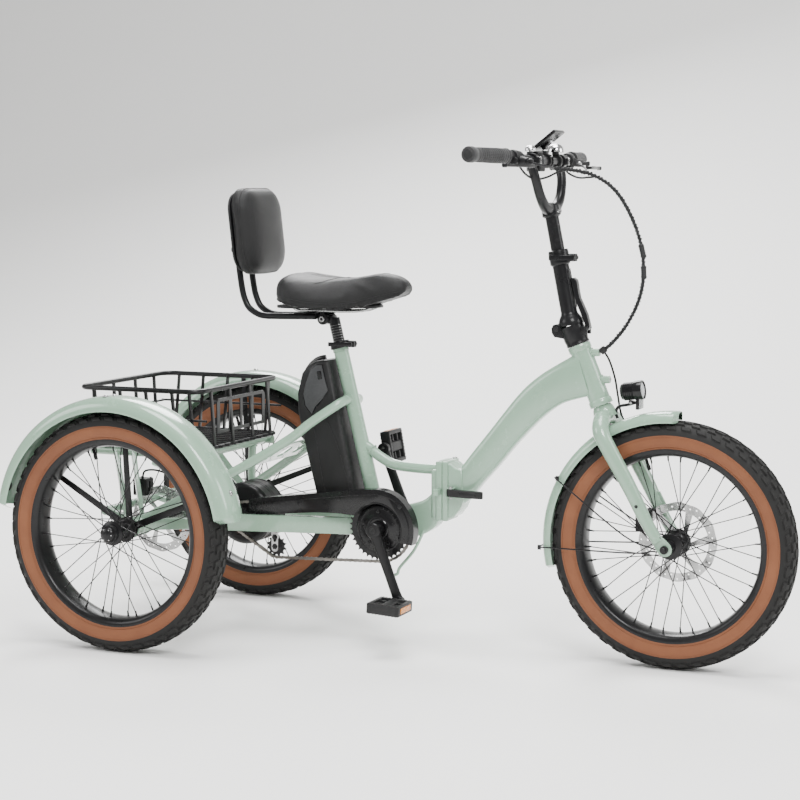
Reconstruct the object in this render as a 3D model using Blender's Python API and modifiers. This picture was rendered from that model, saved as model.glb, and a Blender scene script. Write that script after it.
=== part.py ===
"""Adult electric tricycle that folds in the middle: frame, wheels, drive, seat, basket and steering.

Everything is laid out in the rear axle's frame: +X forward, +Y to the rider's left, +Z up, with the
ground at Z = 0.  One empty then shifts the whole machine so that its bounding box is centred on X.
"""
import math

import bmesh
import bpy
from mathutils import Matrix, Vector

# ------------------------------------------------------------------ driving dimensions, in metres
CENTRE_X = 0.5853           # from the rear axle to the middle of the machine's length
WHEEL_R = 0.275             # 20 x 3.0 tyre
WHEELBASE = 1.2036
HALF_TRACK = 0.3434         # rear wheel's middle plane from the frame's
GAP = 0.0003                # between neighbouring pieces
TYRE_BED_R = 0.2125
RIM_INNER_R = 0.1955
SPOKES = 36
SPOKE_R = 0.0012
ROUND_STEPS = 24            # facets of tyres and rims
AXLE_R = 0.0085
BORE_R = 0.0095             # holes that a turning shaft runs in

FRONT_GUARD_R = 0.2955
REAR_GUARD_R = 0.311
SHEET = 0.0016              # mudguard wall

HEAD_TOP = Vector((0.982, 0, 0.707))
HEAD_BOTTOM = Vector((1.037, 0, 0.575))
HEAD_R = 0.024
STEM_LOW = Vector((0.9625, 0, 0.762))
STEM_HIGH = Vector((0.9325, 0, 0.912))
STEM_R = 0.0185
POST_R = 0.0150
BAR_CENTRE = Vector((0.902, 0, 1.112))
BAR_R = 0.0111

SEAT_TUBE_TOP = Vector((0.397, 0, 0.689))
SEAT_TUBE_FOOT = Vector((0.490, 0, 0.312))
SEAT_TUBE_R = 0.0175
SEAT_POST_R = 0.0136
CRANK_CENTRE = Vector((0.528, 0, 0.275))
CRANK_LENGTH = 0.173
CRANK_ANGLE = math.radians(-67.6)
CHAIN_Y = -0.066            # middle plane of the crank's chain
DRIVE_Y = 0.066             # middle plane of the motor's chain
PITCH = 0.0127
CHAINRING_TEETH = 36
MOTOR_CENTRE = Vector((0.160, 0, 0.281))
MOTOR_R = 0.074
MOTOR_TEETH = 13
AXLE_TEETH = 24
IDLER_CENTRE = Vector((0.262, 0, 0.2145))
IDLER_R = 0.024
HOUSING_Y = 0.250           # rear wheel bearing housing
BRAKE_Y = -0.150            # rear brake disc

FOLD_PIN = Vector((0.6688, 0.0465, 0.3645))
HINGE_FACE_X = 0.6688
HINGE_LOW = 0.296
HINGE_HIGH = 0.433
HINGE_HALF_Y = 0.034

STEM_PIN = Vector((0.9345, 0, 0.7420))
BASKET_TOP_Z = 0.585
BASKET_FLOOR_Z = 0.4500

# ------------------------------------------------------------------ scene, collections and materials
for thing in list(bpy.data.objects):
    bpy.data.objects.remove(thing, do_unlink=True)


def new_collection(name):
    """A collection linked to the scene."""
    made = bpy.data.collections.new(name)
    bpy.context.scene.collection.children.link(made)
    return made


PARTS = new_collection("adult_tricycle")
CUTTERS = new_collection("cutters")


def material(name, colour, roughness, metallic):
    """A Principled material with one colour."""
    made = bpy.data.materials.new(name)
    made.use_nodes = True
    shader = made.node_tree.nodes["Principled BSDF"]
    shader.inputs["Base Color"].default_value = (*colour, 1)
    shader.inputs["Roughness"].default_value = roughness
    shader.inputs["Metallic"].default_value = metallic
    made.diffuse_color = (*colour, 1)
    return made


GREEN = material("sage_paint", (0.41, 0.56, 0.44), 0.25, 0.0)
BLACK = material("black_paint", (0.02, 0.02, 0.022), 0.35, 0.0)
PLASTIC = material("black_plastic", (0.025, 0.025, 0.027), 0.55, 0.0)
RUBBER = material("black_rubber", (0.018, 0.018, 0.018), 0.85, 0.0)
TAN = material("tan_tyre", (0.36, 0.15, 0.07), 0.75, 0.0)
STEEL = material("bright_steel", (0.62, 0.62, 0.62), 0.3, 1.0)
LEATHER = material("black_leather", (0.02, 0.02, 0.021), 0.45, 0.0)
GREY = material("grey_casting", (0.33, 0.33, 0.34), 0.4, 0.6)


# ------------------------------------------------------------------ modelling helpers
def mesh_object(name, mesh):
    """A new object for a mesh, in the working collection."""
    made = bpy.data.objects.new(name, mesh)
    PARTS.objects.link(made)
    return made


def from_bmesh(name, shape):
    """A new object from a bmesh, which is then freed."""
    mesh = bpy.data.meshes.new(name)
    shape.to_mesh(mesh)
    shape.free()
    return mesh_object(name, mesh)


def baked(thing):
    """The object's evaluated mesh as a plain welded mesh object, in place of the original."""
    depsgraph = bpy.context.evaluated_depsgraph_get()
    depsgraph.update()
    mesh = bpy.data.meshes.new_from_object(thing.evaluated_get(depsgraph))
    shape = bmesh.new()
    shape.from_mesh(mesh)
    bmesh.ops.remove_doubles(shape, verts=shape.verts, dist=1e-5)
    bmesh.ops.recalc_face_normals(shape, faces=shape.faces)
    shape.to_mesh(mesh)
    shape.free()
    name = thing.name
    place = thing.matrix_world.copy()
    bpy.data.objects.remove(thing, do_unlink=True)
    made = mesh_object(name, mesh)
    mesh.transform(place)
    return made


def box(name, low, high, turn=None, about=None):
    """A box between two corners, turned by a matrix about a point."""
    low = Vector(low)
    high = Vector(high)
    shape = bmesh.new()
    bmesh.ops.create_cube(shape, size=1.0)
    bmesh.ops.scale(shape, vec=high - low, verts=shape.verts)
    bmesh.ops.translate(shape, vec=(low + high) / 2, verts=shape.verts)
    if turn is not None:
        bmesh.ops.rotate(shape, cent=about or (low + high) / 2, matrix=turn, verts=shape.verts)
    return from_bmesh(name, shape)


def rod(name, start, end, radius, end_radius=None, sides=12):
    """A round bar or cone from one point to another."""
    start = Vector(start)
    end = Vector(end)
    shape = bmesh.new()
    bmesh.ops.create_cone(shape, cap_ends=True, segments=sides, radius1=radius,
                          radius2=radius if end_radius is None else end_radius,
                          depth=(end - start).length)
    aim = (end - start).to_track_quat("Z", "Y").to_matrix().to_4x4()
    shape.transform(Matrix.Translation((start + end) / 2) @ aim)
    return from_bmesh(name, shape)


def beam(name, start, end, width, height):
    """A rectangular bar from one point to another; width is sideways and height upright."""
    start = Vector(start)
    end = Vector(end)
    along = (end - start).normalized()
    side = Vector((0, 0, 1)).cross(along).normalized()
    up = along.cross(side)
    turn = Matrix((along, side, up)).transposed().to_4x4()
    shape = bmesh.new()
    bmesh.ops.create_cube(shape, size=1.0)
    bmesh.ops.scale(shape, vec=((end - start).length, width, height), verts=shape.verts)
    shape.transform(Matrix.Translation((start + end) / 2) @ turn)
    return from_bmesh(name, shape)


def smooth_path(points, steps=4):
    """Points on a Catmull-Rom curve through the given ones."""
    points = [Vector(p) for p in points]
    ends = [2 * points[0] - points[1]] + points + [2 * points[-1] - points[-2]]
    out = []
    for k in range(1, len(ends) - 2):
        a, b, c, d = ends[k - 1:k + 3]
        for s in range(steps):
            t = s / steps
            out.append(0.5 * (2 * b + (c - a) * t + (2 * a - 5 * b + 4 * c - d) * t ** 2
                              + (3 * b - a - 3 * c + d) * t ** 3))
    out.append(points[-1])
    return out


def tube(name, points, radius, sides=8, radii=None, cyclic=False):
    """A bent tube or wire along the points, as one closed mesh."""
    curve = bpy.data.curves.new(name, "CURVE")
    curve.dimensions = "3D"
    curve.bevel_depth = radius
    curve.bevel_resolution = (sides - 4) // 2
    curve.use_fill_caps = not cyclic
    line = curve.splines.new("POLY")
    line.points.add(len(points) - 1)
    for k, point in enumerate(points):
        line.points[k].co = (*point, 1)
        line.points[k].radius = 1 if radii is None else radii[k] / radius
    line.use_cyclic_u = cyclic
    made = bpy.data.objects.new(name, curve)
    PARTS.objects.link(made)
    return baked(made)


def plate(name, outline, low, high, axis="Y"):
    """A flat outline given in XZ (or in YZ for axis X, XY for axis Z) and made thick between two planes."""
    curve = bpy.data.curves.new(name, "CURVE")
    curve.dimensions = "2D"
    curve.fill_mode = "BOTH"
    curve.extrude = (high - low) / 2
    line = curve.splines.new("POLY")
    line.points.add(len(outline) - 1)
    for k, (u, v) in enumerate(outline):
        line.points[k].co = (u, v, 0, 1)
    line.use_cyclic_u = True
    made = bpy.data.objects.new(name, curve)
    middle = (low + high) / 2
    if axis == "Y":
        made.matrix_world = Matrix.Translation((0, middle, 0)) @ Matrix.Rotation(math.pi / 2, 4, "X")
    elif axis == "X":
        turn = Matrix(((0, 0, 1, 0), (1, 0, 0, 0), (0, 1, 0, 0), (0, 0, 0, 1)))
        made.matrix_world = Matrix.Translation((middle, 0, 0)) @ turn
    else:
        made.matrix_world = Matrix.Translation((0, 0, middle))
    PARTS.objects.link(made)
    return baked(made)


def turned(name, profile, centre, steps=24, closed=False):
    """A turned piece about Y: profile is (radius, along Y) from the -Y end to the +Y end."""
    shape = bmesh.new()
    rows = [shape.verts.new((radius, along, 0)) for radius, along in profile]
    pairs = list(zip(rows, rows[1:]))
    if closed:
        pairs.append((rows[-1], rows[0]))
    for a, b in pairs:
        shape.edges.new((a, b))
    made = from_bmesh(name, shape)
    made.location = centre
    screw = made.modifiers.new("turn", "SCREW")
    screw.axis = "Y"
    screw.steps = steps
    screw.render_steps = steps
    screw.use_merge_vertices = True
    screw.merge_threshold = 0.0001
    bpy.context.view_layer.update()
    return baked(made)


def combine(name, solids, operation="UNION"):
    """Joins the solids into the first one, or cuts the others out of it."""
    base = solids[0]
    base.name = name
    for other in solids[1:]:
        PARTS.objects.unlink(other)
        CUTTERS.objects.link(other)
        other.hide_render = True
        other.display_type = "WIRE"
        step = base.modifiers.new("join", "BOOLEAN")
        step.operation = operation
        step.object = other
        bpy.context.view_layer.update()
        base = baked(base)
        bpy.data.objects.remove(other, do_unlink=True)
    return base


def bevelled(thing, width, segments=1, angle=40):
    """Rounds the object's sharp edges."""
    step = thing.modifiers.new("round", "BEVEL")
    step.width = width
    step.segments = segments
    step.limit_method = "ANGLE"
    step.angle_limit = math.radians(angle)
    bpy.context.view_layer.update()
    return baked(thing)


def mirrored_y(thing, name):
    """A copy of the object on the other side of the middle plane."""
    mesh = thing.data.copy()
    mesh.transform(Matrix.Scale(-1, 4, (0, 1, 0)))
    mesh.flip_normals()
    return mesh_object(name, mesh)


def on_arc(centre, radius, start, end, count):
    """Points (u, v) along an arc, angles in degrees."""
    return [(centre[0] + radius * math.cos(math.radians(start + (end - start) * k / (count - 1))),
             centre[1] + radius * math.sin(math.radians(start + (end - start) * k / (count - 1))))
            for k in range(count)]


def cam_lever(name, place, half_height, paint, parent):
    """A clamp's cam with its blade, which lies back along the ring and swings out to the right."""
    rim = on_arc((place.x, place.y), 0.0060, -60, 150, 8)
    blade = [(-0.0165, -0.0095), (-0.0480, -0.0135), (-0.0480, -0.0175), (-0.0150, -0.0145)]
    outline = rim + [(place.x + dx, place.y + dy) for dx, dy in blade]
    return finish(plate(name, outline, place.z - half_height, place.z + half_height, axis="Z"), name, paint, parent)


def finish(thing, name, paint, parent):
    """Names a sub-part, gives it its material, shades it and hangs it on its body's empty."""
    thing.name = name
    thing.data.name = name
    thing.data.materials.clear()
    thing.data.materials.append(paint)
    thing.data.shade_smooth()
    thing.data.set_sharp_from_angle(angle=math.radians(35))
    thing.parent = parent
    thing.matrix_parent_inverse = Matrix.Translation(-parent_place(parent))
    return thing


def parent_place(empty):
    """Where an empty stands in the rear axle's frame."""
    place = Vector((0, 0, 0))
    while empty is not MACHINE:
        place += empty.location
        empty = empty.parent
    return place


def pivot(name, place, parent):
    """An empty on a joint's axis, placed in the rear axle's frame."""
    made = bpy.data.objects.new(name, None)
    made.empty_display_size = 0.03
    PARTS.objects.link(made)
    made.parent = parent
    made.location = Vector(place) - parent_place(parent)
    return made


# ------------------------------------------------------------------ bodies: one empty on each joint
MACHINE = bpy.data.objects.new("machine", None)
PARTS.objects.link(MACHINE)
MACHINE.location = (-CENTRE_X, 0, 0)

REAR_AXLE = Vector((0, 0, WHEEL_R))
FRONT_AXLE = Vector((WHEELBASE, 0, WHEEL_R))
HEAD_DIR = (HEAD_TOP - HEAD_BOTTOM).normalized()
STEM_DIR = (STEM_HIGH - STEM_LOW).normalized()
SEAT_DIR = (SEAT_TUBE_TOP - SEAT_TUBE_FOOT).normalized()
CRANK_DIR = Vector((math.cos(CRANK_ANGLE), 0, math.sin(CRANK_ANGLE)))
RIGHT_PEDAL = CRANK_CENTRE + CRANK_DIR * CRANK_LENGTH + Vector((0, -0.160, 0))
LEFT_PEDAL = CRANK_CENTRE - CRANK_DIR * CRANK_LENGTH + Vector((0, 0.160, 0))

front_half = pivot("pivot_front_half", FOLD_PIN, MACHINE)
steering = pivot("pivot_steering", HEAD_TOP, front_half)
stem_fold = pivot("pivot_stem_fold", STEM_PIN, steering)
telescope = pivot("pivot_telescope", STEM_HIGH, stem_fold)
front_wheel = pivot("pivot_front_wheel", FRONT_AXLE, steering)
left_wheel = pivot("pivot_left_wheel", REAR_AXLE + Vector((0, HALF_TRACK, 0)), MACHINE)
right_wheel = pivot("pivot_right_wheel", REAR_AXLE - Vector((0, HALF_TRACK, 0)), MACHINE)
motor_turn = pivot("pivot_motor", MOTOR_CENTRE, MACHINE)
cranks = pivot("pivot_cranks", CRANK_CENTRE, MACHINE)
right_pedal_turn = pivot("pivot_right_pedal", RIGHT_PEDAL, cranks)
left_pedal_turn = pivot("pivot_left_pedal", LEFT_PEDAL, cranks)
seat_slide = pivot("pivot_seat", SEAT_TUBE_TOP, MACHINE)
battery_slide = pivot("pivot_battery", (0.36, 0, 0.50), MACHINE)


# ------------------------------------------------------------------ wheels
def tyre(name, centre, parent):
    """Fat tyre: a closed ring that sits on the rim's bed."""
    bed = TYRE_BED_R + GAP
    half = [(bed, 0.030), (0.2250, 0.0385), (0.2438, 0.0405), (0.2615, 0.0345), (0.2720, 0.0200)]
    profile = [(r, -y) for r, y in half] + [(WHEEL_R, 0)] + [(r, y) for r, y in reversed(half)]
    ring = turned(name, profile, centre, ROUND_STEPS, closed=True)
    return finish(ring, name, RUBBER, parent)


def rim(name, centre, parent):
    """Box-section rim inside the tyre."""
    half = [(TYRE_BED_R, 0.0300), (0.2070, 0.0315), (0.1990, 0.0220), (RIM_INNER_R, 0.0120)]
    profile = [(r, -y) for r, y in reversed(half)] + [(r, y) for r, y in half]
    ring = turned(name, profile, centre, ROUND_STEPS, closed=True)
    return finish(ring, name, BLACK, parent)


def spokes(centre, flange_r, flange_y):
    """All spokes of a wheel as one operand, laced two-cross on each flange."""
    shape = bmesh.new()
    reach = RIM_INNER_R * math.cos(math.pi / ROUND_STEPS) - 2 * GAP
    for k in range(SPOKES):
        side = 1 if k % 2 else -1
        pair = (k // 2) % 2
        lean = math.radians(58 if pair else -58)
        rim_angle = 2 * math.pi * (k + 0.5) / SPOKES
        hub_angle = rim_angle + lean
        drop = 0.0036 * pair
        start = Vector((flange_r * math.cos(hub_angle), side * (flange_y - drop), flange_r * math.sin(hub_angle)))
        end = Vector((reach * math.cos(rim_angle), side * (0.0115 - drop), reach * math.sin(rim_angle)))
        along = (end - start).normalized()
        start = start - along * 0.004
        aim = along.to_track_quat("Z", "Y").to_matrix().to_4x4()
        place = Matrix.Translation(centre + (start + end) / 2) @ aim
        bmesh.ops.create_cone(shape, cap_ends=True, segments=3, radius1=SPOKE_R, radius2=SPOKE_R,
                              depth=(end - start).length - 0.002, matrix=place)
    return from_bmesh("spokes", shape)


def rear_hub(name, side, parent):
    """Rear hub with its spokes, domed cap and half axle; side is +1 for the left wheel."""
    centre = REAR_AXLE + Vector((0, side * HALF_TRACK, 0))
    profile = [(0.0, 0.0555), (0.0090, 0.0545), (0.0170, 0.0500), (0.0205, 0.0440), (0.0205, 0.0310),
               (0.0285, 0.0290), (0.0285, 0.0180), (0.0175, 0.0165), (0.0175, -0.0165),
               (0.0285, -0.0180), (0.0285, -0.0290), (0.0200, -0.0310), (0.0200, -0.0430),
               (AXLE_R, -0.0435), (AXLE_R, 0.0035 - HALF_TRACK), (0.0, 0.0035 - HALF_TRACK)]
    profile = [(r, side * y) for r, y in profile]
    if side > 0:
        profile.reverse()
    body = turned(name, profile, centre, 12)
    body = combine(name, [body, spokes(centre, 0.0255, 0.0260)])
    if side > 0:
        body = combine(name, [body, sprocket("axle_sprocket", REAR_AXLE, AXLE_TEETH, DRIVE_Y, 0.004)])
    return finish(body, name, BLACK, parent)


def sprocket(name, centre, teeth, y, thickness):
    """A toothed disc in the XZ plane, without a bore."""
    pitch_r = PITCH * teeth / (2 * math.pi)
    outline = []
    for k in range(teeth):
        for part, radius in ((0.0, pitch_r - 0.0035), (0.5, pitch_r + 0.0020)):
            angle = 2 * math.pi * (k + part) / teeth
            outline.append((centre.x + radius * math.cos(angle), centre.z + radius * math.sin(angle)))
    return plate(name, outline, y - thickness / 2, y + thickness / 2)


def brake_disc(name, centre, y, radius, hub_r, parent):
    """A vented brake rotor: ring, six arms and a centre, cut from one sheet."""
    sheet = 0.0020
    disc = rod(name, centre + Vector((0, y - sheet / 2, 0)), centre + Vector((0, y + sheet / 2, 0)), radius, sides=30)
    cuts = []
    inner = radius - 0.020
    for k in range(6):
        spread = on_arc((centre.x, centre.z), inner, 60 * k + 9, 60 * k + 55, 5)
        root = on_arc((centre.x, centre.z), 0.030, 60 * k + 52, 60 * k + 4, 3)
        cuts.append(plate("window", spread + root, y - 0.005, y + 0.005))
    bore = rod("bore", centre + Vector((0, y - 0.01, 0)), centre + Vector((0, y + 0.01, 0)), hub_r, sides=16)
    return finish(combine(name, [disc, bore] + cuts, "DIFFERENCE"), name, STEEL, parent)


def front_hub(name, parent):
    """Front hub with its spokes and axle ends."""
    profile = [(0.0, -0.0800), (0.0055, -0.0800), (0.0055, -0.0450), (0.0130, -0.0430), (0.0150, -0.0320),
               (0.0290, -0.0300), (0.0290, -0.0180), (0.0190, -0.0160), (0.0190, 0.0160),
               (0.0290, 0.0180), (0.0290, 0.0280), (0.0200, 0.0300), (0.0200, 0.0420), (0.0055, 0.0430),
               (0.0055, 0.0800), (0.0, 0.0800)]
    body = turned(name, profile, FRONT_AXLE, 12)
    body = combine(name, [body, spokes(FRONT_AXLE, 0.0255, 0.0250)])
    return finish(body, name, BLACK, parent)


for label, side, parent in (("rear_left", 1, left_wheel), ("rear_right", -1, right_wheel)):
    middle = REAR_AXLE + Vector((0, side * HALF_TRACK, 0))
    tyre("tyre_" + label, middle, parent)
    rim("rim_" + label, middle, parent)
    rear_hub("hub_" + label, side, parent)
tyre("tyre_front", FRONT_AXLE, front_wheel)
rim("rim_front", FRONT_AXLE, front_wheel)
front_hub("hub_front", front_wheel)
brake_disc("brake_disc_front", FRONT_AXLE, 0.0375, 0.090, 0.0215, front_wheel)
brake_disc("brake_disc_rear", REAR_AXLE, BRAKE_Y, 0.080, AXLE_R + GAP, right_wheel)


# ------------------------------------------------------------------ mudguards and their stays
def mudguard(name, centre, radius, half_width, start, end, lip, parent, steps=16):
    """A rounded channel swept round the wheel from one angle to another, in degrees."""
    section = [(-1.0, -lip), (-0.90, -0.45 * lip), (-0.55, -0.10 * lip), (0.0, 0.0),
               (0.55, -0.10 * lip), (0.90, -0.45 * lip), (1.0, -lip)]
    shape = bmesh.new()
    rows = []
    for k in range(steps + 1):
        angle = math.radians(start + (end - start) * k / steps)
        rows.append([shape.verts.new((centre.x + (radius + drop) * math.cos(angle), centre.y + half_width * across,
                                      centre.z + (radius + drop) * math.sin(angle))) for across, drop in section])
    for near, far in zip(rows, rows[1:]):
        for k in range(len(section) - 1):
            shape.faces.new((near[k], near[k + 1], far[k + 1], far[k]))
    sheet = from_bmesh(name, shape)
    wall = sheet.modifiers.new("wall", "SOLIDIFY")
    wall.thickness = SHEET
    wall.offset = -1.0
    wall.use_even_offset = True
    bpy.context.view_layer.update()
    return finish(baked(sheet), name, GREEN, parent)


def rear_stays(name, side, parent):
    """Three flat bars from the axle housing's sleeve to the mudguard's inner lip."""
    y = side * 0.2925
    ring = rod(name, (0, y - 0.0015, WHEEL_R), (0, y + 0.0015, WHEEL_R), 0.021, sides=16)
    bars = []
    for degrees in (22, 93, 150):
        aim = Vector((math.cos(math.radians(degrees)), 0, math.sin(math.radians(degrees))))
        start = Vector((0, y, WHEEL_R)) + aim * 0.010
        end = Vector((0, y, WHEEL_R)) + aim * 0.300
        across = Vector((-aim.z, 0, aim.x)) * 0.008
        outline = [start + across, end + across, end - across, start - across]
        bars.append(plate("bar", [(p.x, p.z) for p in outline], y - 0.0012, y + 0.0012))
    whole = combine(name, [ring] + bars)
    hole = rod("hole", (0, y - 0.01, WHEEL_R), (0, y + 0.01, WHEEL_R), 0.0110, sides=16)
    return finish(combine(name, [whole, hole], "DIFFERENCE"), name, BLACK, parent)


for label, side in (("left", 1), ("right", -1)):
    middle = REAR_AXLE + Vector((0, side * HALF_TRACK, 0))
    mudguard("mudguard_rear_" + label, middle, REAR_GUARD_R, 0.0480, 8, 172, 0.032, MACHINE)
    rear_stays("mudguard_stays_rear_" + label, side, MACHINE)
mudguard("mudguard_front", FRONT_AXLE, FRONT_GUARD_R, 0.0385, 87.5, 194, 0.018, steering, steps=12)

STAY_EYE_Y = 0.0775
stay_turn = math.radians(184)
stay_end = FRONT_AXLE + Vector((math.cos(stay_turn), 0, math.sin(stay_turn))) * 0.3005
stay_low = FRONT_AXLE + Vector((-0.075, 0, -0.012))
stay_eye = FRONT_AXLE + Vector((-0.022, 0, -0.004))
wire = [(stay_eye.x, -STAY_EYE_Y, stay_eye.z), (stay_low.x, -0.0720, stay_low.z)]
wire += [(stay_end.x + 0.006, -0.0440, stay_end.z), (stay_end.x, -0.0360, stay_end.z), (stay_end.x, 0, stay_end.z)]
wire += [(x, -y, z) for x, y, z in reversed(wire[:-1])]
finish(tube("mudguard_stay_front", wire, 0.0018, 6), "mudguard_stay_front", BLACK, steering)

# ------------------------------------------------------------------ rear frame
solids = [rod("rear_frame", SEAT_TUBE_FOOT, SEAT_TUBE_TOP, SEAT_TUBE_R, sides=16)]
shell_y = 0.0340
solids.append(rod("shell", CRANK_CENTRE - Vector((0, shell_y, 0)), CRANK_CENTRE + Vector((0, shell_y, 0)), 0.0215,
                  sides=16))
foot = [(0.470, 0.335), (0.505, 0.338), (0.530, 0.312), (0.566, 0.323), (0.613, 0.337), (0.640, 0.358),
        (0.656, 0.381), (0.656, 0.297), (0.626, 0.264), (0.585, 0.249), (0.545, 0.246), (0.500, 0.258),
        (0.455, 0.262), (0.450, 0.285)]
solids.append(bevelled(plate("gusset", foot, -0.0240, 0.0240), 0.006))
link = [(0.470, 0, 0.452), (0.500, 0, 0.431), (0.536, 0, 0.4150), (0.590, 0, 0.4105), (0.660, 0, 0.4095)]
solids.append(tube("link", smooth_path(link, 2), 0.0120, 8))
solids.append(bevelled(box("plate", (0.6530, -HINGE_HALF_Y, HINGE_LOW),
                           (HINGE_FACE_X - GAP, HINGE_HALF_Y, HINGE_HIGH)), 0.004))
for low, high in ((HINGE_LOW + 0.002, 0.3270), (0.4020, HINGE_HIGH - 0.002)):
    solids.append(rod("knuckle", (FOLD_PIN.x, FOLD_PIN.y, low), (FOLD_PIN.x, FOLD_PIN.y, high), 0.0090, sides=12))
    solids.append(box("tab", (0.6550, 0.0300, low), (HINGE_FACE_X - 0.0010, FOLD_PIN.y, high)))
solids.append(box("latch_catch", (0.6560, -0.0560, 0.3570), (HINGE_FACE_X - 0.0008, -0.0300, 0.3720)))
for side in (1, -1):
    stay = [(0.4287, 0.0, 0.5616), (0.4190, side * 0.0560, 0.5560), (0.3100, side * 0.1080, 0.4700),
            (0.1850, side * 0.1680, 0.3900), (0.0100, side * HOUSING_Y, 0.2890)]
    solids.append(tube("seat_stay", stay, 0.0110, 8))
    solids.append(beam("chain_stay", (0.470, side * 0.0300, 0.2720), (0.440, side * 0.0500, 0.2720), 0.016, 0.040))
    solids.append(beam("chain_stay", (0.4500, side * 0.0450, 0.2720), (0.1450, side * 0.1200, 0.2720), 0.016, 0.040))
    solids.append(beam("link_stay", (0.1600, side * 0.1160, 0.2720), (0.0, side * HOUSING_Y, 0.2760), 0.018, 0.026))
    solids.append(rod("housing", (0, side * (HOUSING_Y - 0.018), WHEEL_R), (0, side * 0.2900, WHEEL_R), 0.0230,
                      sides=16))
    solids.append(beam("arm", (0.0, side * HOUSING_Y, 0.2760), (-0.1000, side * 0.2300, 0.3000), 0.014, 0.020))
    for foot_x, foot_z, head_x, head_z in ((-0.0340, 0.2880, -0.1110, 0.4360), (0.0080, 0.2900, -0.0640, 0.4360)):
        solids.append(beam("upright", (foot_x, side * HOUSING_Y, foot_z), (head_x, side * 0.1700, head_z), 0.010, 0.018))
    solids.append(rod("rail", (-0.1750, side * 0.1700, 0.4330), (0.1300, side * 0.1700, 0.4330), 0.0100, sides=8))
solids.append(rod("bridge", (-0.1000, -0.2400, 0.3000), (-0.1000, 0.2400, 0.3000), 0.0100, sides=8))
solids.append(rod("cross", (0.1080, -0.1700, 0.4330), (0.1080, 0.1700, 0.4330), 0.0100, sides=8))
solids.append(beam("centre_arm", (-0.1000, 0, 0.3000), (-0.0180, 0, 0.2790), 0.020, 0.014))
solids.append(rod("centre_bearing", (0, -0.0260, WHEEL_R), (0, 0.0260, WHEEL_R), 0.0210, sides=16))
for side in (1, -1):
    leg = [(0.1080, side * 0.1080, 0.4330), (0.1060, side * 0.1080, 0.4000), (0.1050, side * 0.1080, 0.3400),
           (0.1300, side * 0.1150, 0.2800)]
    solids.append(tube("hoop_leg", leg, 0.0095, 8))
solids.append(box("bridge_plate", (0.2100, -0.1480, 0.0), (0.2900, 0.1480, 0.0040),
                  Matrix.Rotation(math.radians(-36), 3, "Y"), (0.2500, 0, 0.0020)))
solids[-1].data.transform(Matrix.Translation((0.0, 0, 0.4290)))
solids.append(box("brake_bracket", (-0.1070, -0.1780, 0.2960), (-0.0300, -0.1740, 0.3300),
                  Matrix.Rotation(math.radians(-38), 3, "Y"), (-0.1000, -0.1760, 0.3000)))
bash = [(0.625, 0, 0.284), (0.600, 0, 0.225), (0.563, 0, 0.180), (0.5560, 0, 0.1640), (0.5360, 0, 0.1580)]
solids.append(tube("guard_rod", [(x, -0.030 if k else -0.018, z) for k, (x, _, z) in enumerate(bash)], 0.0036, 8))
frame = combine("rear_frame", solids)

cutters = []
post_end = SEAT_TUBE_TOP - SEAT_DIR * 0.300
cutters.append(rod("post_bore", post_end, SEAT_TUBE_TOP + SEAT_DIR * 0.02, SEAT_POST_R + 0.0009, sides=16))
cutters.append(rod("crank_bore", CRANK_CENTRE - Vector((0, 0.06, 0)), CRANK_CENTRE + Vector((0, 0.06, 0)), BORE_R,
                   sides=16))
cutters.append(rod("axle_bore", (0, -0.32, WHEEL_R), (0, 0.32, WHEEL_R), BORE_R, sides=16))
cutters.append(rod("motor_bore", MOTOR_CENTRE - Vector((0, 0.16, 0)), MOTOR_CENTRE + Vector((0, 0.16, 0)), 0.0068,
                   sides=12))
cutters.append(box("knuckle_room", (HINGE_FACE_X - 0.0120, 0.0360, 0.3270), (HINGE_FACE_X + 0.02, 0.0700, 0.4020)))
frame = combine("rear_frame", [frame] + cutters, "DIFFERENCE")
pin = rod("fold_pin", (FOLD_PIN.x, FOLD_PIN.y, HINGE_LOW - 0.003), (FOLD_PIN.x, FOLD_PIN.y, HINGE_HIGH + 0.003),
          0.0042, sides=12)
finish(combine("rear_frame", [frame, pin]), "rear_frame", GREEN, MACHINE)

# ------------------------------------------------------------------ rear caliper
pad_x = -0.0500
pad_z = WHEEL_R + 0.0720
caliper = bevelled(box("caliper_rear", (pad_x - 0.0180, BRAKE_Y - 0.0170, pad_z - 0.0180),
                       (pad_x + 0.0180, BRAKE_Y + 0.0190, pad_z + 0.0220)), 0.004)
slot = box("slot", (pad_x - 0.03, BRAKE_Y - 0.0020, pad_z - 0.03), (pad_x + 0.03, BRAKE_Y + 0.0020, pad_z + 0.0120))
finish(combine("caliper_rear", [caliper, slot], "DIFFERENCE"), "caliper_rear", BLACK, MACHINE)

# ------------------------------------------------------------------ front frame: hinge block, main tube, head tube
casting = bevelled(box("front_frame", (HINGE_FACE_X, -HINGE_HALF_Y, HINGE_LOW), (0.7060, HINGE_HALF_Y, HINGE_HIGH)),
                   0.005)
spine = [(0.700, 0.412), (0.774, 0.504), (0.812, 0.552), (0.844, 0.591), (0.872, 0.619), (0.903, 0.643),
         (0.961, 0.678), (0.986, 0.690), (1.028, 0.600), (1.000, 0.591), (0.955, 0.579), (0.921, 0.558),
         (0.873, 0.513), (0.817, 0.450), (0.753, 0.379), (0.7140, 0.332), (0.700, 0.322)]
spine_half = 0.0260
main_tube = bevelled(plate("main_tube", spine, -spine_half, spine_half), 0.010, 2)
solids = [casting, main_tube, rod("head_tube", HEAD_BOTTOM, HEAD_TOP, HEAD_R, sides=20),
          rod("headset", HEAD_BOTTOM - HEAD_DIR * 0.0045, HEAD_BOTTOM + HEAD_DIR * 0.0060, 0.0262, sides=20)]
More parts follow.
